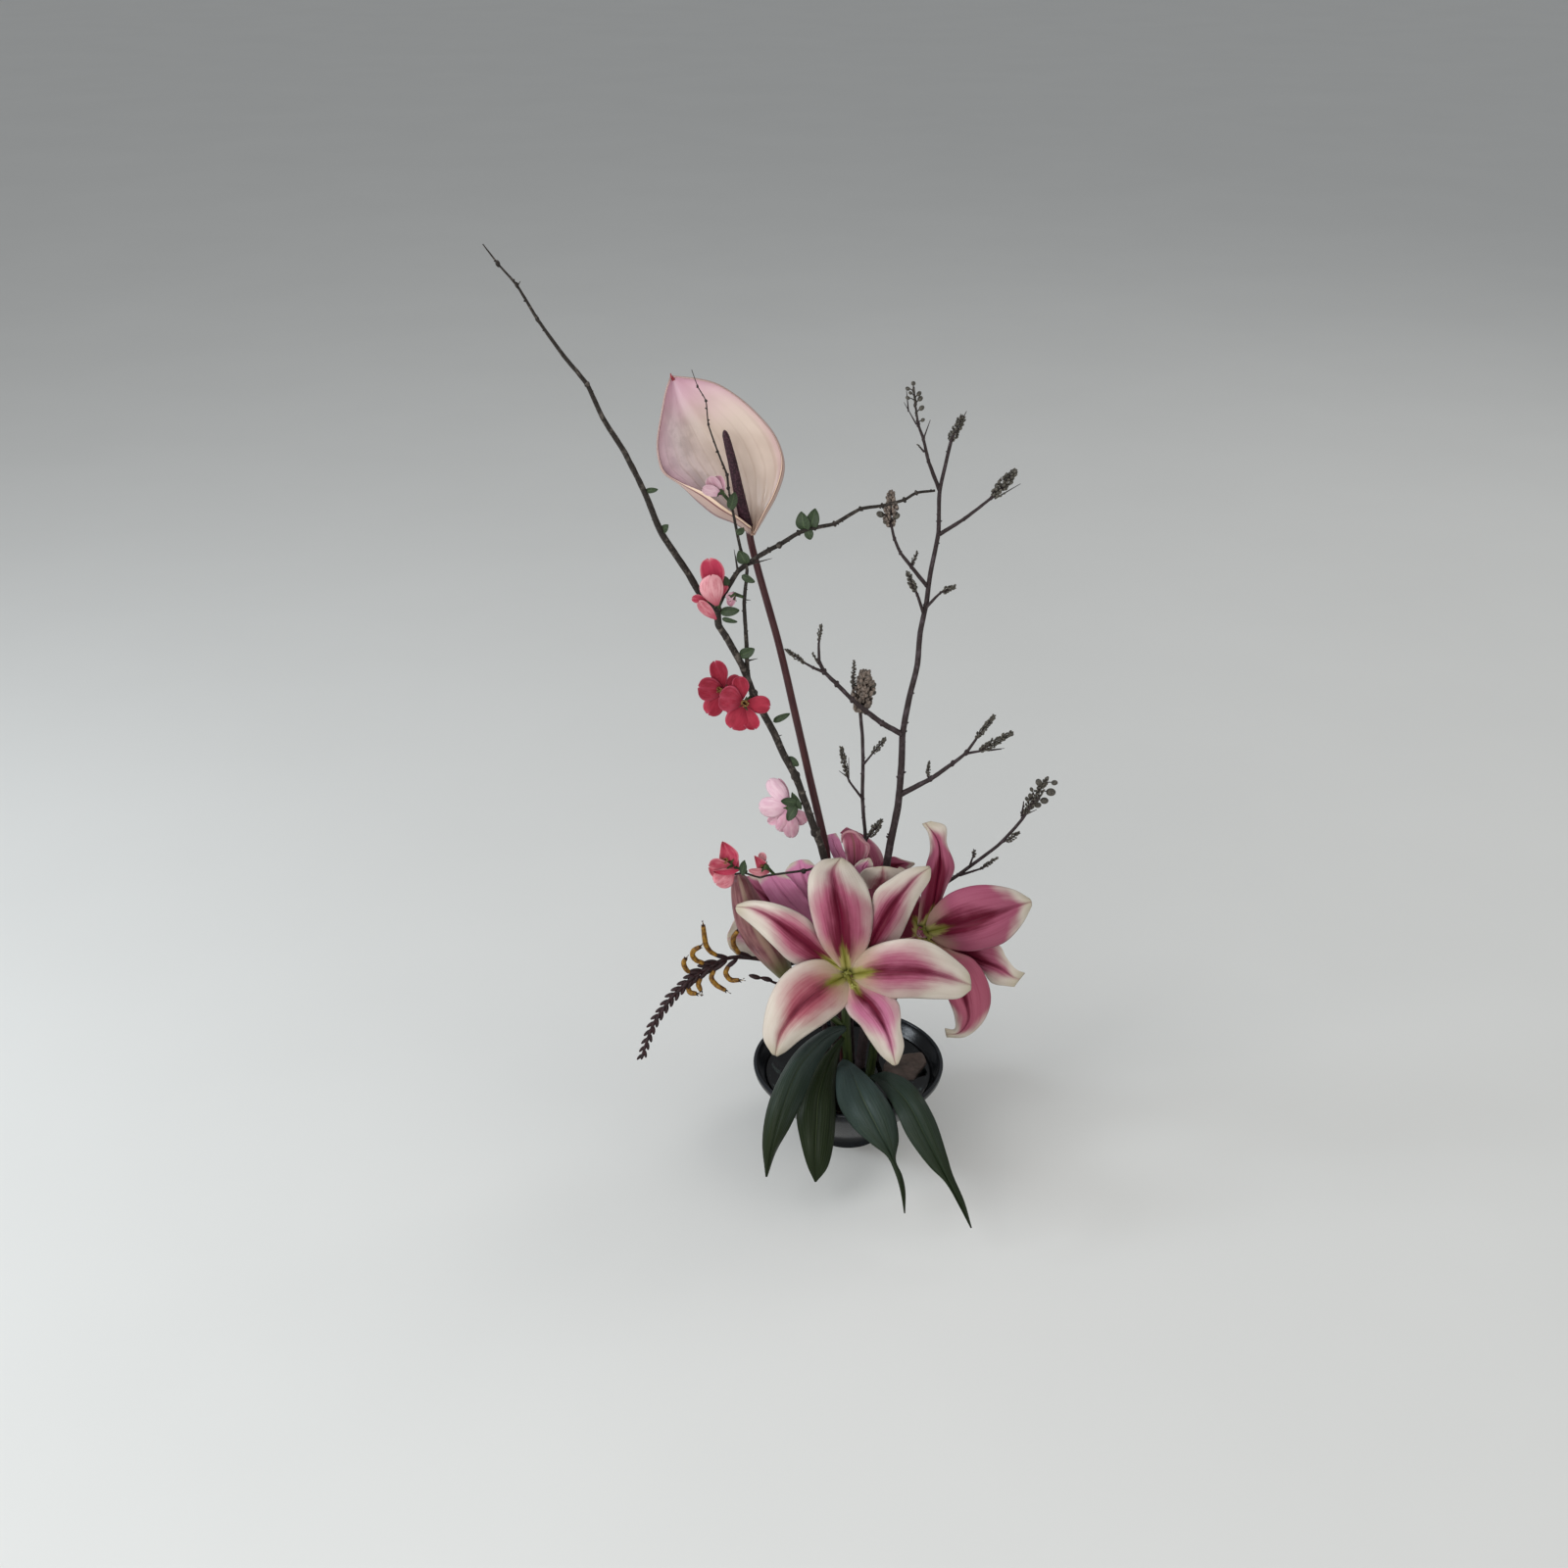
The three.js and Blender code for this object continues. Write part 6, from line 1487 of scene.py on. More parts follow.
RIM_RADIUS = 75
RIM_HEIGHT = 64
FOOT_RADIUS = 30
FOOT_HEIGHT = 5
FLOOR_RADIUS = 28
FLOOR_HEIGHT = 9
WALL = 4.2
WATER_LEVEL = 54
HOLDER_CENTRE = Vector((4, -2))
HOLDER_RADIUS = 21
HOLDER_FLOOR = 9.3
HOLDER_BASE = 7
PIN_HEIGHT = 11
PIN_RADIUS = 0.7
PIN_TIP_RADIUS = 0.12
PIN_RINGS = 7
PIN_STEP = 2.85
PIN_CLEARANCE = 4.5
FOOT_LEVEL = HOLDER_FLOOR + HOLDER_BASE
STONE_OUTLINE = [(-18, -8), (-13, 5), (3, 12), (16, 13), (19, 4), (8, -14), (-9, -17)]
STONE_THICKNESS = 6
STONE_EDGE = 1.5
STONE_FACET = 1.6
STONE_PLACE = mm(43, 0, 56)
STONE_TILT = math.radians(20)


def inner_radius(z):
    """The radius of the bowl's inner wall at a height: a cone that swells a little."""
    rise = (z - FLOOR_HEIGHT) / (RIM_HEIGHT - FLOOR_HEIGHT)
    swollen = 0.75 * rise + 0.25 * math.sin(rise * math.pi / 2)
    return FLOOR_RADIUS + (RIM_RADIUS - WALL * 0.6 - FLOOR_RADIUS) * swollen


def bowl():
    bm = bmesh.new()
    outside = [(inner_radius(z) + WALL, z - 1.5) for z in range(16, 61, 4)]
    inside = [(inner_radius(z), z) for z in range(60, 11, -4)]
    lip = []
    for k in range(9):
        turn = math.pi * (k / 8)
        lip.append((RIM_RADIUS - 1.5 + 1.5 * math.cos(turn), RIM_HEIGHT - 1.6 + 1.6 * math.sin(turn)))
    lathe(bm, [
        (0, 1.2), (FOOT_RADIUS - 5, 1.2), (FOOT_RADIUS - 4, 0.2), (FOOT_RADIUS - 3, 0),
        (FOOT_RADIUS - 0.6, 0), (FOOT_RADIUS, 0.6), (FOOT_RADIUS + 0.4, FOOT_HEIGHT),
        *outside, *lip, *inside,
        (FLOOR_RADIUS, FLOOR_HEIGHT + 0.4), (FLOOR_RADIUS - 2, FLOOR_HEIGHT), (0, FLOOR_HEIGHT),
    ], 128)
    piece(bm, "glazed_bowl", ["bowl"], [LOOKS["glaze"]])


def water():
    bm = bmesh.new()
    lathe(bm, [
        (0, FLOOR_HEIGHT + 0.3), (FLOOR_RADIUS - 0.3, FLOOR_HEIGHT + 0.3),
        *[(inner_radius(z) - 0.5, z) for z in range(14, WATER_LEVEL, 5)],
        (inner_radius(WATER_LEVEL) - 0.5, WATER_LEVEL), (inner_radius(WATER_LEVEL) - 2, WATER_LEVEL - 0.3),
        (0, WATER_LEVEL - 0.3),
    ], 96)
    piece(bm, "water_in_bowl", ["water"], [LOOKS["water"]])


def kenzan():
    bm = bmesh.new()
    middle = HOLDER_FLOOR + HOLDER_BASE / 2
    bmesh.ops.create_cone(
        bm, cap_ends=True, segments=72, radius1=HOLDER_RADIUS * MM, radius2=HOLDER_RADIUS * MM,
        depth=HOLDER_BASE * MM, matrix=Matrix.Translation(mm(*HOLDER_CENTRE, middle)),
    )
    rims = [e for e in bm.edges if e.calc_face_angle(0) > 1]
    bmesh.ops.bevel(
        bm, geom=rims, offset=0.8 * MM, offset_type="OFFSET", segments=3, profile=0.5,
        affect="EDGES", material=-1,
    )
    feet = [Vector(foot) for foot in FEET.values()]
    for ring in range(PIN_RINGS):
        radius = ring * PIN_STEP
        count = max(1, ring * 6)
        for i in range(count):
            turn = 2 * math.pi * (i + 0.5 * (ring % 2)) / count
            spot = HOLDER_CENTRE + Vector((math.cos(turn), math.sin(turn))) * radius
            if any((spot - foot).length < PIN_CLEARANCE for foot in feet):
                continue
            bmesh.ops.create_cone(
                bm, cap_ends=True, segments=8, radius1=PIN_RADIUS * MM, radius2=PIN_TIP_RADIUS * MM,
                depth=PIN_HEIGHT * MM,
                matrix=Matrix.Translation(mm(*spot, FOOT_LEVEL + PIN_HEIGHT / 2 - 0.3)),
            )
    piece(bm, "pin_holder", ["kenzan"], [LOOKS["metal"]], sharp=35)


def stone():
    bm = bmesh.new()
    corners = [bm.verts.new(mm(x, y, -STONE_THICKNESS / 2)) for x, y in STONE_OUTLINE]
    base = bm.faces.new(corners)
    raised = bmesh.ops.extrude_face_region(bm, geom=[base])["geom"]
    top = [v for v in raised if isinstance(v, bmesh.types.BMVert)]
    bmesh.ops.translate(bm, verts=top, vec=mm(0, 0, STONE_THICKNESS))
    bmesh.ops.recalc_face_normals(bm, faces=bm.faces)
    bmesh.ops.bevel(
        bm, geom=bm.edges, offset=STONE_EDGE * MM, offset_type="OFFSET", segments=2, profile=0.5,
        affect="EDGES", material=-1,
    )
    bmesh.ops.triangulate(bm, faces=bm.faces)
    for _ in range(4):
        long = [e for e in bm.edges if e.calc_length() > STONE_FACET * MM]
        bmesh.ops.subdivide_edges(bm, edges=long, cuts=1)
        bmesh.ops.triangulate(bm, faces=[f for f in bm.faces if len(f.verts) > 3])
    bm.normal_update()
    for corner in bm.verts:
        x, y, z = corner.co * 1000
        push = 0.9 * wander(x * 0.12, y * 0.12, z * 0.3) + 0.35 * wander(x * 0.5, y * 0.5, z * 0.9)
        corner.co += corner.normal * push * MM
    bmesh.ops.transform(bm, matrix=Matrix.Rotation(STONE_TILT, 4, "X"), verts=bm.verts)
    bmesh.ops.translate(bm, verts=bm.verts, vec=STONE_PLACE)
    piece(bm, "split_stone", ["stone"], [LOOKS["stone"]], sharp=60)


# Quince branch


def hidden_way(foot, *rest):
    """The part of a stem that the blooms and the bowl hide, from its foot on the pin holder up."""
    return [mm(*foot, FOOT_LEVEL), *[mm(*place) for place in rest]]


def quince_wood():
    bm = bmesh.new()
    foot = hidden_way(FEET["quince"], (-10.5, -5.5, 80), (-13, -7, 150), (-16.5, -8, 205))
    trunk, leader = through(QUINCE_TRUNK, -8, -12), through(QUINCE_LEADER, -12, -18)
    side, twig = through(QUINCE_SIDE, -12, 22), through(QUINCE_TWIG, -10, -6)
    limb(bm, foot + trunk, taper(3.3, 2.4), 16, 1.2, 0.12, 140, 1, 0.55)
    limb(bm, leader, lambda t: 2.3 * (1 - t) ** 0.7 + 0.35, 14, 1.2, 0.12, 160, 2, 0.6)
    limb(bm, side, taper(2, 0.9), 12, 1.2, 0.14, 160, 3, 0.6)
    limb(bm, twig, taper(1.6, 0.22, 1.2), 12, 1.2, 0.14, 170, 4, 0.6)
    limb(bm, through(QUINCE_LOW_TWIG, -8, -14), taper(1, 0.7), 12, 1.2, 0.14, 170, 5, 0.6)
    for start, end, radius, depth in QUINCE_THORNS:
        way = [seen(*start, depth), seen(*end, depth - 2)]
        limb(bm, way, taper(radius, 0.15), 8, 1)
    for spot, size, depth in QUINCE_KNOTS:
        pod(bm, seen(*spot, depth), Vector((0.3, 0.2, 1)), size, size * 0.9, size * 0.9, 14, 10, rough=0.5)
    chance = random.Random(31)
    for points, reach, radius in (
        (trunk, 1, 2.7), (leader, 0.99, 1.5), (side, 1, 1.4), (twig, 0.97, 0.9),
    ):
        way = Route(points, kink=0.6)
        for at_point in points[1:-1]:
            swelling = radius * chance.uniform(1.5, 2.1)
            pod(bm, at_point, Vector((-0.4, 0.2, 1)), swelling * 1.6, swelling, swelling, 10, 7, rough=0.25)
        count = round(way.length * 110)
        for i in range(count):
            t = reach * (i + chance.random()) / count
            out = way.heading(t).orthogonal()
            out.rotate(Matrix.Rotation(chance.uniform(0, 2 * math.pi), 3, way.heading(t)))
            lean = (out + way.heading(t) * chance.uniform(0.3, 1)).normalized()
            at = way.at(t) + out * radius * (1 - 0.5 * t) * 0.8 * MM
            size = chance.uniform(1.1, 2.1) * (1 - 0.3 * t)
            pod(bm, at, lean, size * 1.5, size, size, 8, 5, 0.4)
    close_ends(bm)
    lay_round_uv(bm)
    piece(bm, "quince_wood", ["quince_branch"], [LOOKS["quince_wood"]])


def small_leaf(bm, root, tip, width, chance, fold=0.25, deck=0):
    """A small oval leaf that folds a little along its rib and curls back at its tip."""
    along = tip - root
    length = along.length
    ahead = along.normalized()
    face = Vector((chance.uniform(-0.5, 0.5), -1, chance.uniform(0, 0.7)))
    side = ahead.cross(face).normalized()
    up = side.cross(ahead)
    curl = chance.uniform(-0.25, 0.1)

    def surface(t, u):
        half = width * MM * 0.5 * math.sin(math.pi * min(t ** 0.85, 0.99)) ** 0.55
        rise = fold * abs(u) * half + curl * length * t * t + 0.04 * length * math.sin(5 * t + 2 * u)
        return root + ahead * length * t + side * u * half + up * rise

    blade(bm, surface, 12, 8, deck=deck, thin=0.5)


def quince_leaves():
    bm = bmesh.new()
    chance = random.Random(7)
    for root, tip, width, depth in QUINCE_LEAVES:
        small_leaf(bm, seen(*root, depth), seen(*tip, depth - 3), width, chance)
    piece(bm, "quince_leaves", ["quince_branch"], [LOOKS["quince_leaf"]] * 2, 0.5)


def bloom_axes(facing):
    """The way that a bloom faces, and two directions across it."""
    forward = facing.normalized()
    side = Vector((0, 0, 1)).cross(forward).normalized()
    return forward, side, forward.cross(side)


def drawn_petal(bm, chance, foot, tip, width, lift, deep, point=0.0):
    """A petal from its foot to its tip, both as pixels with a depth, with a round or a drawn-out end."""
    across, down = tip[0] - foot[0], tip[1] - foot[1]
    length = math.hypot(across, down)
    wave = [chance.uniform(0, 6) for _ in range(3)]
    skew = chance.uniform(-0.08, 0.08)

    def surface(t, u):
        grow = 0.16 + 0.84 * math.sin(min(t / 0.6, 1) * math.pi / 2) ** 1.1
        close = math.sqrt(max(1 - max((t - 0.55) / 0.455, 0) ** 2.6, 0))
        notch = 0.05 * math.exp(-(u / 0.25) ** 2) * ease(0.7, 1, t)
        close = close * (1 - point) + max(1 - t, 0) ** 0.85 * 1.4 * point
        half = width * 0.5 * grow * close * (1 + 0.05 * math.sin(4 * t + wave[0] + 2 * u))
        along = t * (1 - notch)
        shift = half * u + skew * length * math.sin(math.pi * t)
        cup = -lift * (u * u - 0.3) * grow
        ripple = 0.5 * math.sin(3.4 * u + wave[1] + 4 * t) * t * t
        bulge = -abs(lift) * 0.5 * math.sin(math.pi * t)
        depth = foot[2] + (tip[2] - foot[2]) * t ** 1.15 + cup + ripple + bulge
        return seen(
            foot[0] + across * along - down / length * shift,
            foot[1] + down * along + across / length * shift,
            depth,
        )

    blade(bm, surface, 18, 14, tints={"deep": deep}, thin=0.4)


def calyx(bm, heart, forward, seat, size, chance):
    """The green cup behind a bloom, its stalk and five small sepals."""
    back = heart - forward * 3.6 * MM
    limb(bm, [seat, back + forward * MM], taper(1.1, 1.4), 10, 0.8)
    limb(bm, [back, heart + forward * 0.8 * MM], lambda t: 1.5 + 1.4 * t ** 0.6, 12, 0.6)
    for i in range(5):
        turn = 2 * math.pi * i / 5 + chance.uniform(-0.2, 0.2)
        _, side, top = bloom_axes(forward)
        out = side * math.cos(turn) + top * math.sin(turn)
        lean = (out + forward * 0.25).normalized()
        pod(bm, heart + (out * 3.2 + forward * 0.2) * MM, lean, size, size * 0.62, 0.9, 10, 7, 0.35)


def stamens(bm, heart, axes, length, count, chance):
    """A loose tuft of filaments with an anther on each."""
    forward, side, top = axes
    for i in range(count):
        turn = i * GOLDEN_TURN
        spread = 0.16 + 0.3 * chance.random()
        lean = (forward + (side * math.cos(turn) + top * math.sin(turn)) * spread).normalized()
        end = heart + lean * length * chance.uniform(0.75, 1.05) * MM
        middle = (heart + end) / 2 + forward * 0.5 * MM
        limb(bm, [heart, middle, end], taper(0.28, 0.18), 5, 1.8)
        pod(bm, end, side, 1.5, 1.0, 0.9, 7, 5, look=1)


def quince_bloom(name, spec, look):
    """A bloom or a bud: its petals, its calyx and stalk, and its stamens."""
    chance = random.Random(name)
    heart, seat = seen(*spec["centre"]), seen(*spec["seat"])
    axes = bloom_axes(Vector(spec["facing"]))
    whole = len(spec["petals"]) > 4
    petals = bmesh.new()
    for drawing in spec["petals"]:
        drawn_petal(petals, chance, *drawing)
    piece(petals, name + "_petals", [name], [LOOKS["quince_" + look]] * 2, 0.45)
    green = bmesh.new()
    calyx(green, heart, axes[0], seat, 4.6 if whole else 3.4, chance)
    close_ends(green)
    piece(green, name + "_calyx", [name], [LOOKS["calyx"]])
    inside = bmesh.new()
    stamens(inside, heart, axes, 7 if whole else 3, 20 if whole else 6, chance)
    close_ends(inside)
    piece(inside, name + "_stamens", [name], [LOOKS["filament"], LOOKS["anther"]])


# Anthurium


def anthurium_stem():
    bm = bmesh.new()
    foot = hidden_way(FEET["anthurium"], (-6, 9, 80), (-12, 10, 160))
    limb(bm, foot + through(ANTHURIUM_STEM, 10, 20), taper(3.4, 2.5), 20, 3, 0.03, 60, 6)
    close_ends(bm)
    piece(bm, "anthurium_stalk", ["anthurium_stem"], [LOOKS["anthurium_stem"]])


def spathe():
    """A cupped leaf: its lower left margin stands up towards the viewer, and its right one rolls in."""
    base = outline(**SPATHE)
    left, lip = pixel_route(SPATHE["left"]), pixel_route(SPATHE_LIP)
    right, roll = pixel_route(SPATHE["right"]), pixel_route(SPATHE_ROLL)

    def surface(t, u):
        reach = u * (1 + SPATHE_FOLD)
        if abs(reach) <= 1:
            px, py, depth = base(t, reach)
            sag = 1.6 * wander(reach * 1.6, t * 2.4) * (1 - abs(reach) ** 3)
            fan = 0.3 * math.sin(reach * 26) * max(0, 1 - t * 1.4)
            return seen(px, py, depth + sag + fan)
        over = (abs(reach) - 1) / SPATHE_FOLD
        edge, fold = (left, lip) if reach < 0 else (right, roll)
        px, py, depth = base(t, math.copysign(1, reach))
        shift = fold.at(t) - edge.at(t)
        lift = math.hypot(shift.x, shift.y) * 0.75 + 0.5
        share = math.sin(over * math.pi / 2) if over < 1 else 1
        return seen(px + shift.x * over, py + shift.y * over, depth - lift * share)

    bm = bmesh.new()
    blade(bm, surface, 84, 80, thin=0.5)
    faces = [LOOKS["spathe_face"], LOOKS["spathe_back"]]
    piece(bm, "spathe", ["anthurium_spathe"], faces, 1.3)
    tip = bmesh.new()
    hook = [seen(687.5, 387.5, 59), seen(685, 384.2, 58.2), seen(684.2, 381, 57.2)]
    limb(tip, hook, taper(1.25, 0.3, 0.8), 12, 0.4)
    close_ends(tip)
    piece(tip, "spathe_tip", ["anthurium_spathe"], [LOOKS["spathe_tip"]])


def spadix():
    bm = bmesh.new()
    points = [seen(*place) for place in SPADIX]

    def radius(t):
        rounded = math.sqrt(max(1 - max((t - 0.93) / 0.0701, 0) ** 2, 0.004))
        return (3.9 * (1 - t) ** 0.5 * 0.62 + 1.8) * rounded

    limb(bm, points, radius, 28, 0.9, 0.03, 900, 8)
    close_ends(bm)
    piece(bm, "spadix", ["anthurium_spadix"], [LOOKS["spadix"]])


# Budded branch and twigs


def panicle(wood, buds, spec, chance):
    """A close head of small buds that lean forward round an axis, with a few loose round ones."""
    start, end = seen(*spec["from"], spec["depth"]), seen(*spec["to"], spec["depth"])
    axis = end - start
    ahead = axis.normalized()
    out = axis.cross(Vector((0, 1, 0))).normalized()
    limb(wood, [start, start.lerp(end, 0.5), end], taper(0.85, 0.35), 7, 1.5)
    width = spec["spread"] * 0.5 + spec["size"] * 0.2
    dry = 1 if spec.get("dry") else 0
    count = round(axis.length * 1000 * (1.0 + width * 0.42))
    for i in range(count):
        along = 0.06 + 0.94 * (i + chance.random()) / count
        outward = out.copy()
        outward.rotate(Matrix.Rotation(i * GOLDEN_TURN + chance.uniform(-0.4, 0.4), 3, ahead))
        swell = math.sin(math.pi * min(along * 0.86 + 0.1, 1)) ** 0.6
        reach = width * swell * chance.uniform(0.55, 1.1)
        root = start.lerp(end, along)
        at = root + outward * reach * MM
        size = spec["size"] * chance.uniform(0.34, 0.58)
        pod(buds, at, outward * 0.5 + ahead, size * 1.35, size, size, 8, 6, 0.3, look=dry)
        if i % 3 == 0:
            limb(wood, [root - ahead * MM, at], taper(0.4, 0.3), 5, 1.5)
    for px, py, size in spec.get("beads", []):
        at = seen(px, py, spec["depth"] + chance.uniform(-2, 2))
        near = start.lerp(end, min(max((at - start).dot(ahead) / axis.length - 0.12, 0), 1))
        pod(buds, at, at - near, size * 1.1, size * 1.05, size * 0.85, 12, 9, look=0)
        limb(wood, [near, near.lerp(at, 0.5) + mm(0, 0, 0.6), at], taper(0.45, 0.35), 6, 1)
    for px, py, tip_x, tip_y in spec.get("prongs", []):
        way = [seen(px, py, spec["depth"]), seen(tip_x, tip_y, spec["depth"] - 2)]
        limb(wood, way, taper(0.6, 0.2), 6, 1.5)


def budded(name, foot, way, near, far, radius, branches, heads, seed, grain):
    """A branch or twig with its side twigs, heads of buds and leaf scars."""
    wood, buds = bmesh.new(), bmesh.new()
    chance = random.Random(name)
    route = Route(foot + through(way, near, far))
    limb(wood, foot + through(way, near, far), radius, 14, 1.6, 0.09, grain, seed, 0.45)
    for i, (line, root_depth, tip_depth, start, end) in enumerate(branches):
        points = through(line, root_depth, tip_depth)
        limb(wood, points, taper(start * 1.18, end * 1.18), 9, 1.4, 0.14, 200, seed + i, 0.5)
        for point in points[:-1]:
            swelling = start * 1.9
            pod(wood, point, Vector((0.3, 0.2, 1)), swelling * 1.5, swelling, swelling, 9, 6, rough=0.15)
    for i in range(int(route.length * 50)):
        t = chance.uniform(0.42, 0.97)
        side = route.heading(t).orthogonal()
        side.rotate(Matrix.Rotation(chance.uniform(0, 2 * math.pi), 3, route.heading(t)))
        at = route.at(t) + side * radius(t) * 0.8 * MM
        pod(wood, at, side + route.heading(t), radius(t) * 0.9, radius(t) * 0.7, None, 7, 5, 0.3)
    for spec in heads:
        panicle(wood, buds, spec, chance)
    close_ends(wood)
    lay_round_uv(wood)
    piece(wood, name + "_wood", [name], [LOOKS["budded_wood"]])
    piece(buds, name + "_buds", [name], [LOOKS["bud_scale"], LOOKS["dry_bud"]])


# Lilies


def lily_stem(name, stalks):
    """A stem and the stalks that leave it, each with its radius at both ends."""
    bm = bmesh.new()
    for i, (way, start, end) in enumerate(stalks):
        limb(bm, way, taper(start, end), 18, 2, 0.04, 80, i)
    close_ends(bm)
    piece(bm, name + "_stalks", [name], [LOOKS["lily_stem"]])


def lily_stems():
    front, right = seen(*FRONT_THROAT), seen(*RIGHT_THROAT)
    foot_a = [mm(*FEET["lily_a"], FOOT_LEVEL), mm(0, -17, 60), mm(-3, -19, 110), mm(-3, -21, 132)]
    foot_b = [mm(*FEET["lily_b"], FOOT_LEVEL), mm(17.5, -7, 60), mm(24, -6, 110), mm(30, -2, 135)]
    to_left = [mm(-19, -19, 121), mm(-27, -6, 133), mm(-25, 7, 148), seen(*LEFT_THROAT) + mm(2, -5, -12)]
    to_top = [mm(26, -5, 118), mm(25, -3, 150), mm(19, 1, 180), seen(*TOP_THROAT) + mm(1, 0, -12)]
    lily_stem("lily_stem_a", [
        (foot_a, 4, 3.4),
        ([mm(-3, -20, 122), mm(-3, -23, 148), front + mm(0, 15, -6)], 3.2, 2.6),
        ([mm(-3, -20, 106), mm(-17, -20, 120), mm(-36, -14, 134), mm(-49, -4, 145)], 2.8, 2.6),
        (to_left, 2.6, 2.6),
    ])
    lily_stem("lily_stem_b", [
        (foot_b, 4, 3.2),
        ([mm(29, -3, 130), mm(42, 8, 152), right + mm(-6, 9, -9)], 3, 2.6),
        (to_top, 2.6, 2.6),
    ])


def lily_leaves():
    for number, (name, spec) in enumerate(LILY_LEAVES.items()):
        base = outline(*spec, belly=1.5)

        def surface(t, u):
            px, py, depth = base(t, u)
            groove = 0.45 * math.exp(-(u / 0.07) ** 2) * math.sin(math.pi * min(t, 0.97))
            wave = 1.2 * abs(u) ** 2 * math.sin(7 * t + 2 * u + number) * math.sin(math.pi * t)
            fold = 0.25 * math.cos(u * 40) * math.sin(math.pi * t)
            return seen(px, py, depth + groove + wave + fold)

        bm = bmesh.new()
        deck = 0 if faces_viewer(base) else 1
        blade(bm, surface, 60, 32, tints={"painted_sheen": LEAF_PAINTED_SHEEN[name]}, thin=0.4, deck=deck)
        face = LOOKS["leaf_face"]
        piece(bm, name + "_blade", [name], [face, LOOKS["leaf_back"], face], 0.8)


def lily_petal(bm, spec, number, look, starred):
    """One petal: a grooved rib, gently waved margins, and the strength of its blush and crimson band."""
    base = outline(*spec)
    ruffle, blush, deep, warmth, showing = look
    chance = random.Random(number * 17)
    phase = [chance.uniform(0, 6) for _ in range(4)]
    waves = [chance.uniform(2.2, 3.4) for _ in range(2)]

    def surface(t, u):
        px, py, depth = base(t, u)
        swell = math.sin(math.pi * min(t, 1)) ** 0.7 if 0 < t < 1 else 0
        side = 0 if u < 0 else 1
        wave = math.sin(2 * math.pi * waves[side] * t + phase[side])
        margin = ruffle * abs(u) ** 3 * wave * swell
        groove = 0.6 * math.exp(-(u / 0.08) ** 2) - 0.35 * math.exp(-((abs(u) - 0.17) / 0.1) ** 2)
        dimple = 0.35 * wander(u * 2.5 + phase[2], t * 5, number)
        return seen(px, py, depth + margin + (groove + dimple) * swell)

    tints = {"blush": blush, "deep": deep, "warmth": warmth, "starred": starred}
    deck = 0 if showing == faces_viewer(base) else 1
    blade(bm, surface, 52, 30, tints=tints, deck=deck, thin=0.22)


def rolled_margin(bm, places, radius):
    """The thick rolled edge of a petal, toned like the margin of its inner face."""
    known = set(bm.faces)
    points = [seen(*place) for place in places]
    limb(bm, points, lambda t: radius * (0.35 + math.sin(math.pi * t) ** 0.6), 12, 0.8)
    layer = bm.loops.layers.uv.verify()
    blush = bm.verts.layers.float["blush"]
    for face in set(bm.faces) - known:
        for loop in face.loops:
            loop[layer].uv = (0.1 + 0.2 * loop[layer].uv.x, 0.6)
            loop.vert[blush] = 1.2


def lily_bloom(name, petals, looks, throat, back, margin=None):
    """The petals of one bloom and the throat that joins them behind."""
    bm = bmesh.new()
    for i, (spec, look) in enumerate(zip(petals, looks)):
        lily_petal(bm, spec, i + len(name), look, 0 if margin or "left" in name else 1)
    if margin:
        rolled_margin(bm, margin, 0.85)
    face, reverse = LOOKS["lily_face"], LOOKS["lily_back"]
    piece(bm, name + "_petals", [name], [face, reverse, face], 1.3)
    cup = bmesh.new()
    heart = seen(*throat)
    root = heart + back
    limb(cup, [root, root.lerp(heart, 0.6), heart - back * 0.1], taper(3.2, 5.6), 20, 1)
    close_ends(cup)
    piece(cup, name + "_throat", [name], [reverse])


def pistil(name, throat, way, length):
    """A style with a three-lobed stigma, out of a ring of short green lobes at the heart."""
    bm = bmesh.new()
    heart, ahead = seen(*throat), Vector(way).normalized()
    end = heart + ahead * length * MM
    limb(bm, [heart - ahead * MM, heart.lerp(end, 0.5) + mm(0, 0, -0.6), end], taper(1.5, 1.1), 18, 1)
    _, side, top = bloom_axes(ahead)
    for i in range(3):
        turn = 2 * math.pi * i / 3
        out = side * math.cos(turn) + top * math.sin(turn)
        pod(bm, end + (out * 1.1 + ahead * 0.2) * MM, out + ahead * 0.4, 2.8, 2.3, 2.0, 12, 8)
    for i in range(6):
        turn = 2 * math.pi * (i + 0.5) / 6
        out = side * math.cos(turn) + top * math.sin(turn)
        pod(bm, heart + (out * 3.2 + ahead * 1.4) * MM, out + ahead * 0.9, 6.4, 2.6, 1.8, 10, 8, 0.5)
    pod(bm, heart, ahead, 4, 9.5, 9.5, 16, 10)
    close_ends(bm)
    piece(bm, name + "_style", [name], [LOOKS["pistil"]])


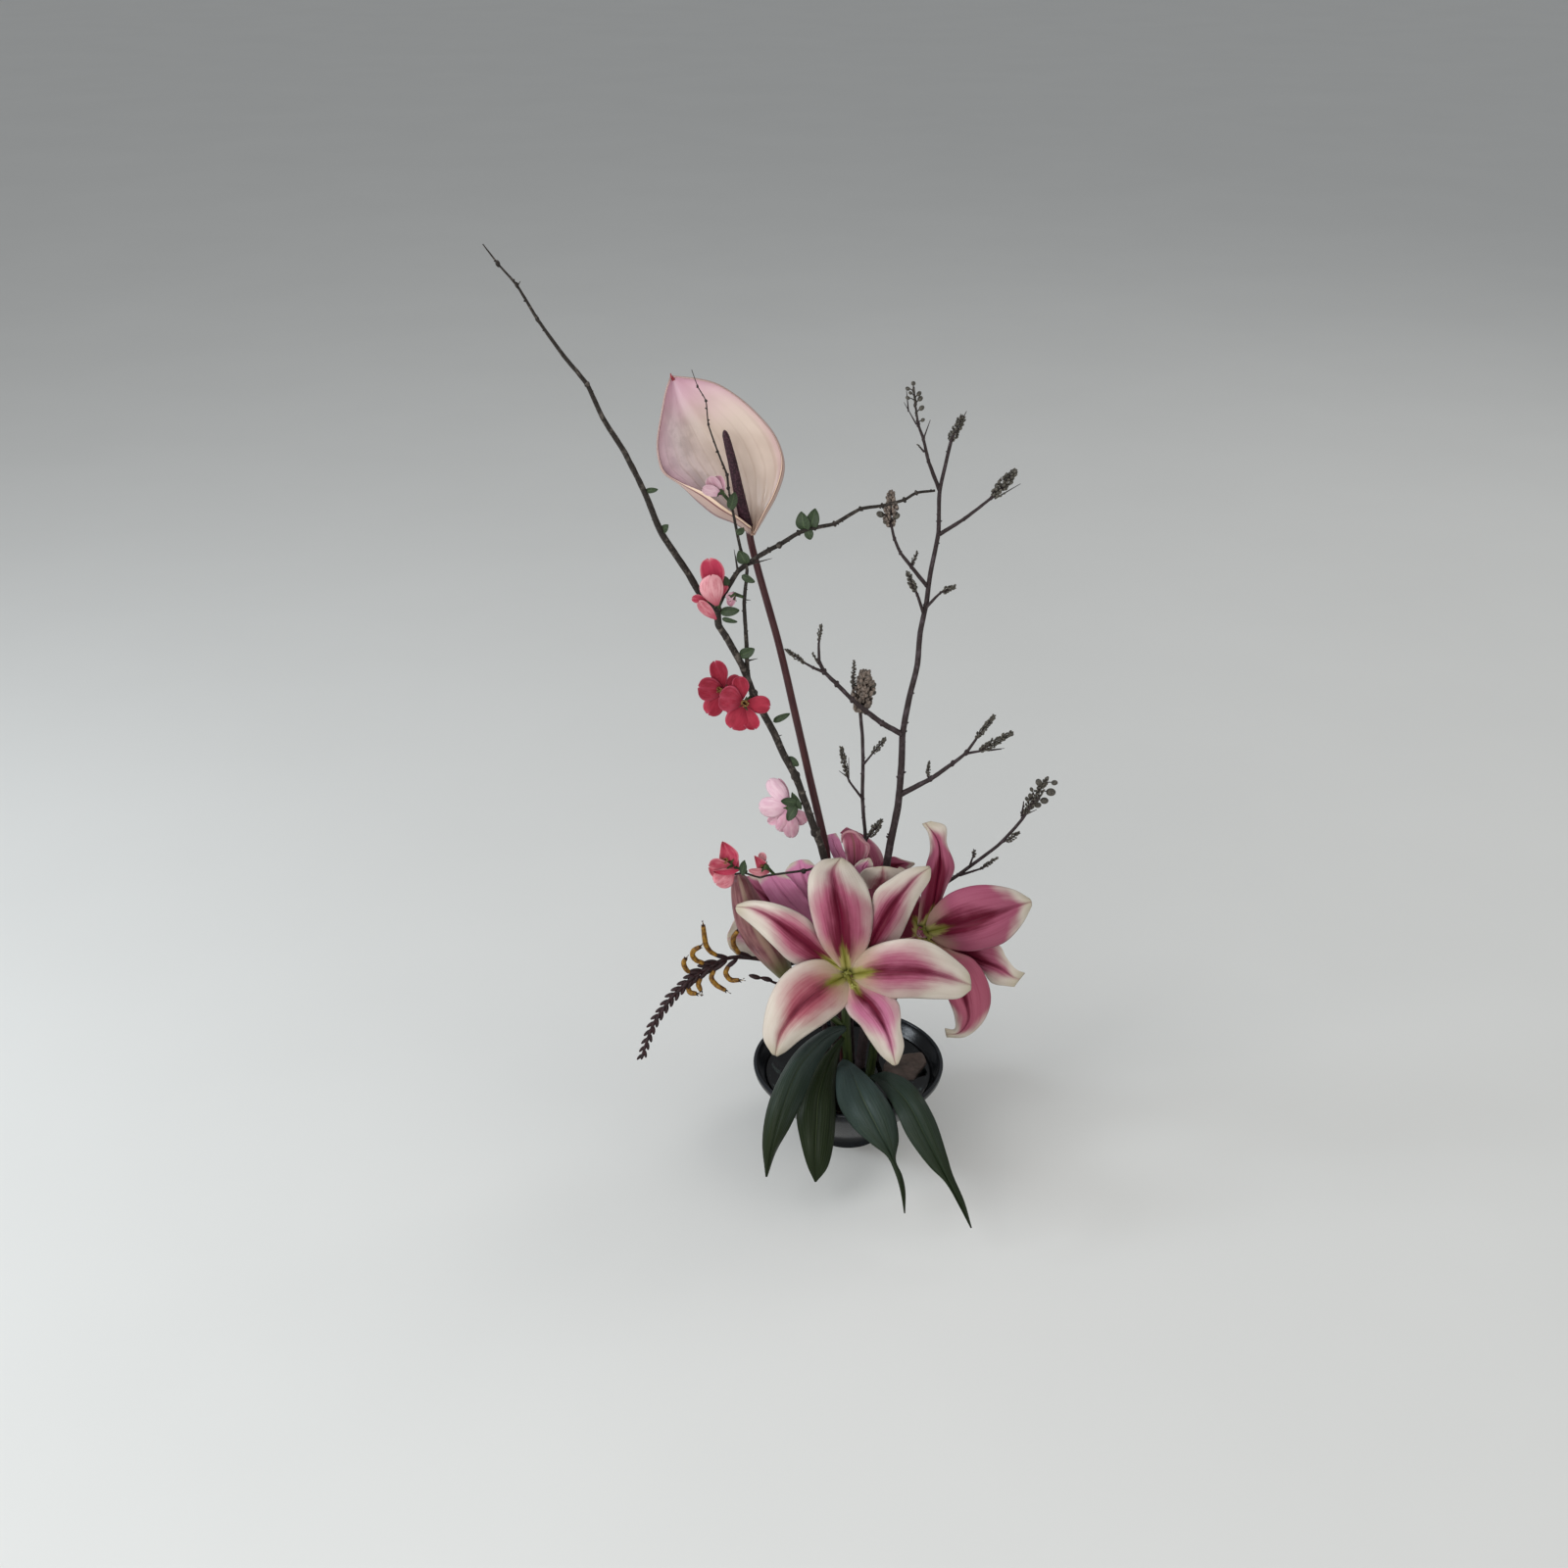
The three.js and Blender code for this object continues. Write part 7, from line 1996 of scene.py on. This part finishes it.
def lily_bud():
    bm = bmesh.new()
    points = [seen(*place) for place in BUD]
    base = points[0]

    def girth(t):
        full = 3.6 + 10.4 * math.sin(math.pi * min(0.12 + 0.8 * t, 1)) ** 1.3
        return full * math.sqrt(max(1 - max((t - 0.94) / 0.0605, 0) ** 2, 0.01))

    limb(bm, points, girth, 48, 1.2)
    middle = Route(points)
    for corner in bm.verts:
        t = min(range(41), key=lambda k: (middle.at(k / 40) - corner.co).length) / 40
        centre, ahead = middle.at(t), middle.heading(t)
        out = corner.co - centre
        side = ahead.orthogonal().normalized()
        turn = math.atan2(out.dot(ahead.cross(side)), out.dot(side))
        ridge = 0.06 * math.cos(3 * turn) - 0.07 * max(0, math.cos(3 * turn + math.pi)) ** 6
        corner.co += out * ridge * math.sin(math.pi * min(max(t, 0.02), 0.98)) ** 0.5
    neck = [base + mm(5, 1, -7), base + mm(-4, 0, 5)]
    limb(bm, neck, taper(3.4, 4.2), 16, 1)
    close_ends(bm)
    piece(bm, "lily_bud_scales", ["lily_bud"], [LOOKS["lily_bud"]])


# Montbretia spike


def spike():
    """An arching stem with ranks of bracts at its end and curved flower tubes above and below it."""
    chance = random.Random(5)
    stem, bracts, tubes = bmesh.new(), bmesh.new(), bmesh.new()
    places = [seen(*place) for place in SPIKE]
    foot = hidden_way(FEET["spike"], (-17, 9, 70), (-23, 13, 115), (-36, 15, 144))
    limb(stem, foot + places, taper(2.5, 1), 12, 2, 0.08, 160, 9)
    stub = [mm(-44, 15, 148), *[seen(*place) for place in SPIKE_STUB]]
    limb(stem, stub, taper(1.3, 0.9), 9, 1.5, 0.1, 200, 10)
    for place in stub[2:]:
        pod(bracts, place, Vector((-1, 0, 0.3)), 10, 4.2, 4.2, 10, 7, 0.3, rough=0.2)
    curve = Route(places)
    for i in range(SPIKE_BRACTS):
        t = 0.36 + 0.62 * i / (SPIKE_BRACTS - 1)
        along = curve.heading(t)
        side = along.cross(Vector((0, -1, 0.5))).normalized()
        size = 12.6 - 6.4 * t
        for hand in (-1, 0, 1):
            lean = along + side * (0.46 * hand + chance.uniform(-0.05, 0.05))
            lean = (lean + mm(0, -200, 50) * (hand == 0)).normalized()
            at = curve.at(t + 0.012 * hand - 0.01) + lean * size * 0.36 * MM + side * hand * 0.9 * MM
            pod(bracts, at, lean, size, size * 0.42, size * 0.34, 12, 9, 0.05)
    for way in SPIKE_TUBES:
        flower_tube(tubes, [seen(*place) for place in way], chance)
    for bm in (stem, tubes):
        close_ends(bm)
    piece(stem, "spike_stem", ["montbretia_spike"], [LOOKS["bract"]])
    piece(bracts, "spike_bracts", ["montbretia_spike"], [LOOKS["bract"]])
    piece(tubes, "spike_tubes", ["montbretia_spike"], [LOOKS["tube"], LOOKS["bract"]])


def flower_tube(bm, points, chance):
    """A curved tube out of a dark, narrow bract, with withered lobes at its mouth and thin styles."""
    sleeve = (points[1] - points[0]) * 1.15
    pod(bm, points[0] + sleeve * 0.5, sleeve, sleeve.length * 1150, 3.8, 3.6, 12, 10, -0.1, 0.15, 1)

    def girth(t):
        return 1.5 + 0.6 * math.sin(math.pi * (t * 0.8 + 0.1))

    way = limb(bm, points[1:], girth, 14, 0.8, 0.08, 300)
    mouth, ahead = way.at(1), way.heading(0.99)
    _, side, top = bloom_axes(ahead)
    for i in range(3):
        turn = 2 * math.pi * i / 3
        out = side * math.cos(turn) + top * math.sin(turn)
        lobe = mouth + (out * 0.8 + ahead * 0.6) * MM
        pod(bm, lobe, out * 0.5 + ahead, 3.6, 1.7, 1.1, 8, 6, 0.5, 0.15, 1)
    for i in range(2):
        aside = (side * chance.uniform(-1, 1) + top * chance.uniform(-1, 1)) * 1.4
        end = mouth + (ahead * chance.uniform(3, 5) + aside) * MM
        limb(bm, [mouth - ahead * MM, mouth + ahead * 2 * MM, end], taper(0.24, 0.16), 5, 1.2)
        pod(bm, end, ahead, 1.3, 0.7, 0.7, 6, 5, look=1)


# Floor, light and camera


def floor():
    bm = bmesh.new()
    bmesh.ops.create_grid(bm, x_segments=1, y_segments=1, size=FLOOR_SIDE / 2)
    mesh = bpy.data.meshes.new("floor")
    bm.to_mesh(mesh)
    bm.free()
    mesh.materials.append(LOOKS["floor"])
    made = bpy.data.objects.new("floor", mesh)
    bpy.context.scene.collection.objects.link(made)


# For each light: its place and what it faces in metres, its side, its power and its colour
LIGHTS = {
    "window": ((-1.6, -1.2, 2.0), (0, 0, 0.3), 1.5, 24, (0.97, 0.98, 1)),
    "side window": ((-1.9, -0.1, 1.0), (0, 0, 0.15), 0.5, 12, (0.84, 0.92, 1)),
    "front": ((-0.4, -2.0, 0.7), (0, 0, 0.25), 1.2, 16, (1, 0.99, 0.98)),
    "fill": ((1.9, -0.9, 1.4), (0, 0, 0.3), 1.4, 8, (1, 0.97, 0.94)),
    "back": ((1.7, 1.4, 2.2), (0, 0, 0.35), 1.2, 12, (1, 1, 1)),
}
SKY_COLOUR = (0.93, 0.96, 1, 1)
SKY_STRENGTH = 0.36
FLOOR_SIDE = 40


def soft_light(name, place, aim, size, power, colour):
    data = bpy.data.lights.new(name, "AREA")
    data.shape, data.size, data.energy, data.color = "SQUARE", size, power, colour
    made = bpy.data.objects.new(name, data)
    made.location = place
    made.rotation_euler = (Vector(aim) - Vector(place)).to_track_quat("-Z", "Y").to_euler()
    bpy.context.scene.collection.objects.link(made)


def studio():
    scene = bpy.context.scene
    world = bpy.data.worlds.new("studio")
    world.use_nodes = True
    background = world.node_tree.nodes["Background"]
    background.inputs[0].default_value = SKY_COLOUR
    background.inputs[1].default_value = SKY_STRENGTH
    scene.world = world
    scene.view_settings.view_transform = "Standard"
    for name, setting in LIGHTS.items():
        soft_light(name, *setting)
    camera = bpy.data.cameras.new("camera")
    camera.lens, camera.sensor_width = VIEW_LENS, VIEW_SENSOR
    made = bpy.data.objects.new("camera", camera)
    made.location = VIEW_PLACE * MM
    made.rotation_euler = (math.pi / 2 - VIEW_PITCH, 0, 0)
    scene.collection.objects.link(made)
    scene.camera = made


def arrangement():
    bowl()
    water()
    kenzan()
    stone()
    quince_wood()
    quince_leaves()
    for name, spec in QUINCE_BLOOMS.items():
        look = "red" if "red" in name else "pink" if "pink" in name else "coral"
        quince_bloom(name, spec, look)
    anthurium_stem()
    spathe()
    spadix()
    foot = hidden_way(FEET["branch"], (12, 6.5, 80), (20, 8.5, 160))
    budded(
        "budded_branch", foot, BRANCH, 10, 34, taper(4.3, 1.15, 0.9), BRANCH_TWIGS, BRANCH_PANICLES, 3, 90,
    )
    foot = hidden_way(FEET["centre_twig"], (3, 17, 80), (0, 18, 150))
    budded(
        "budded_twig_centre", foot, CENTRE_TWIG, 17, 26, taper(1.9, 1.25), CENTRE_TWIGS, CENTRE_PANICLES,
        11, 120,
    )
    foot = hidden_way(FEET["right_twig"], (24, 15, 60), (37, 24, 105), (56, 33, 160))
    budded(
        "budded_twig_right", foot, RIGHT_TWIG, 38, 46, taper(2, 1.15), RIGHT_TWIGS, RIGHT_PANICLES, 19, 120,
    )
    lily_stems()
    lily_leaves()
    lily_bloom("lily_bloom_front", FRONT_PETALS, FRONT_LOOKS, FRONT_THROAT, mm(0, 13, -5))
    lily_bloom("lily_bloom_right", RIGHT_PETALS, RIGHT_LOOKS, RIGHT_THROAT, mm(-6, 9, -8))
    lily_bloom("lily_bloom_top", TOP_PETALS, TOP_LOOKS, TOP_THROAT, mm(1, 0, -11), TOP_MARGIN)
    lily_bloom("lily_bloom_left", LEFT_PETALS, LEFT_LOOKS, LEFT_THROAT, mm(2, -5, -11))
    pistil("lily_pistil_front", FRONT_THROAT, (0.1, -0.8, 0.2), 26)
    pistil("lily_pistil_right", RIGHT_THROAT, (0.1, -0.9, 0.3), 22)
    lily_bud()
    spike()
    floor()
    studio()


arrangement()
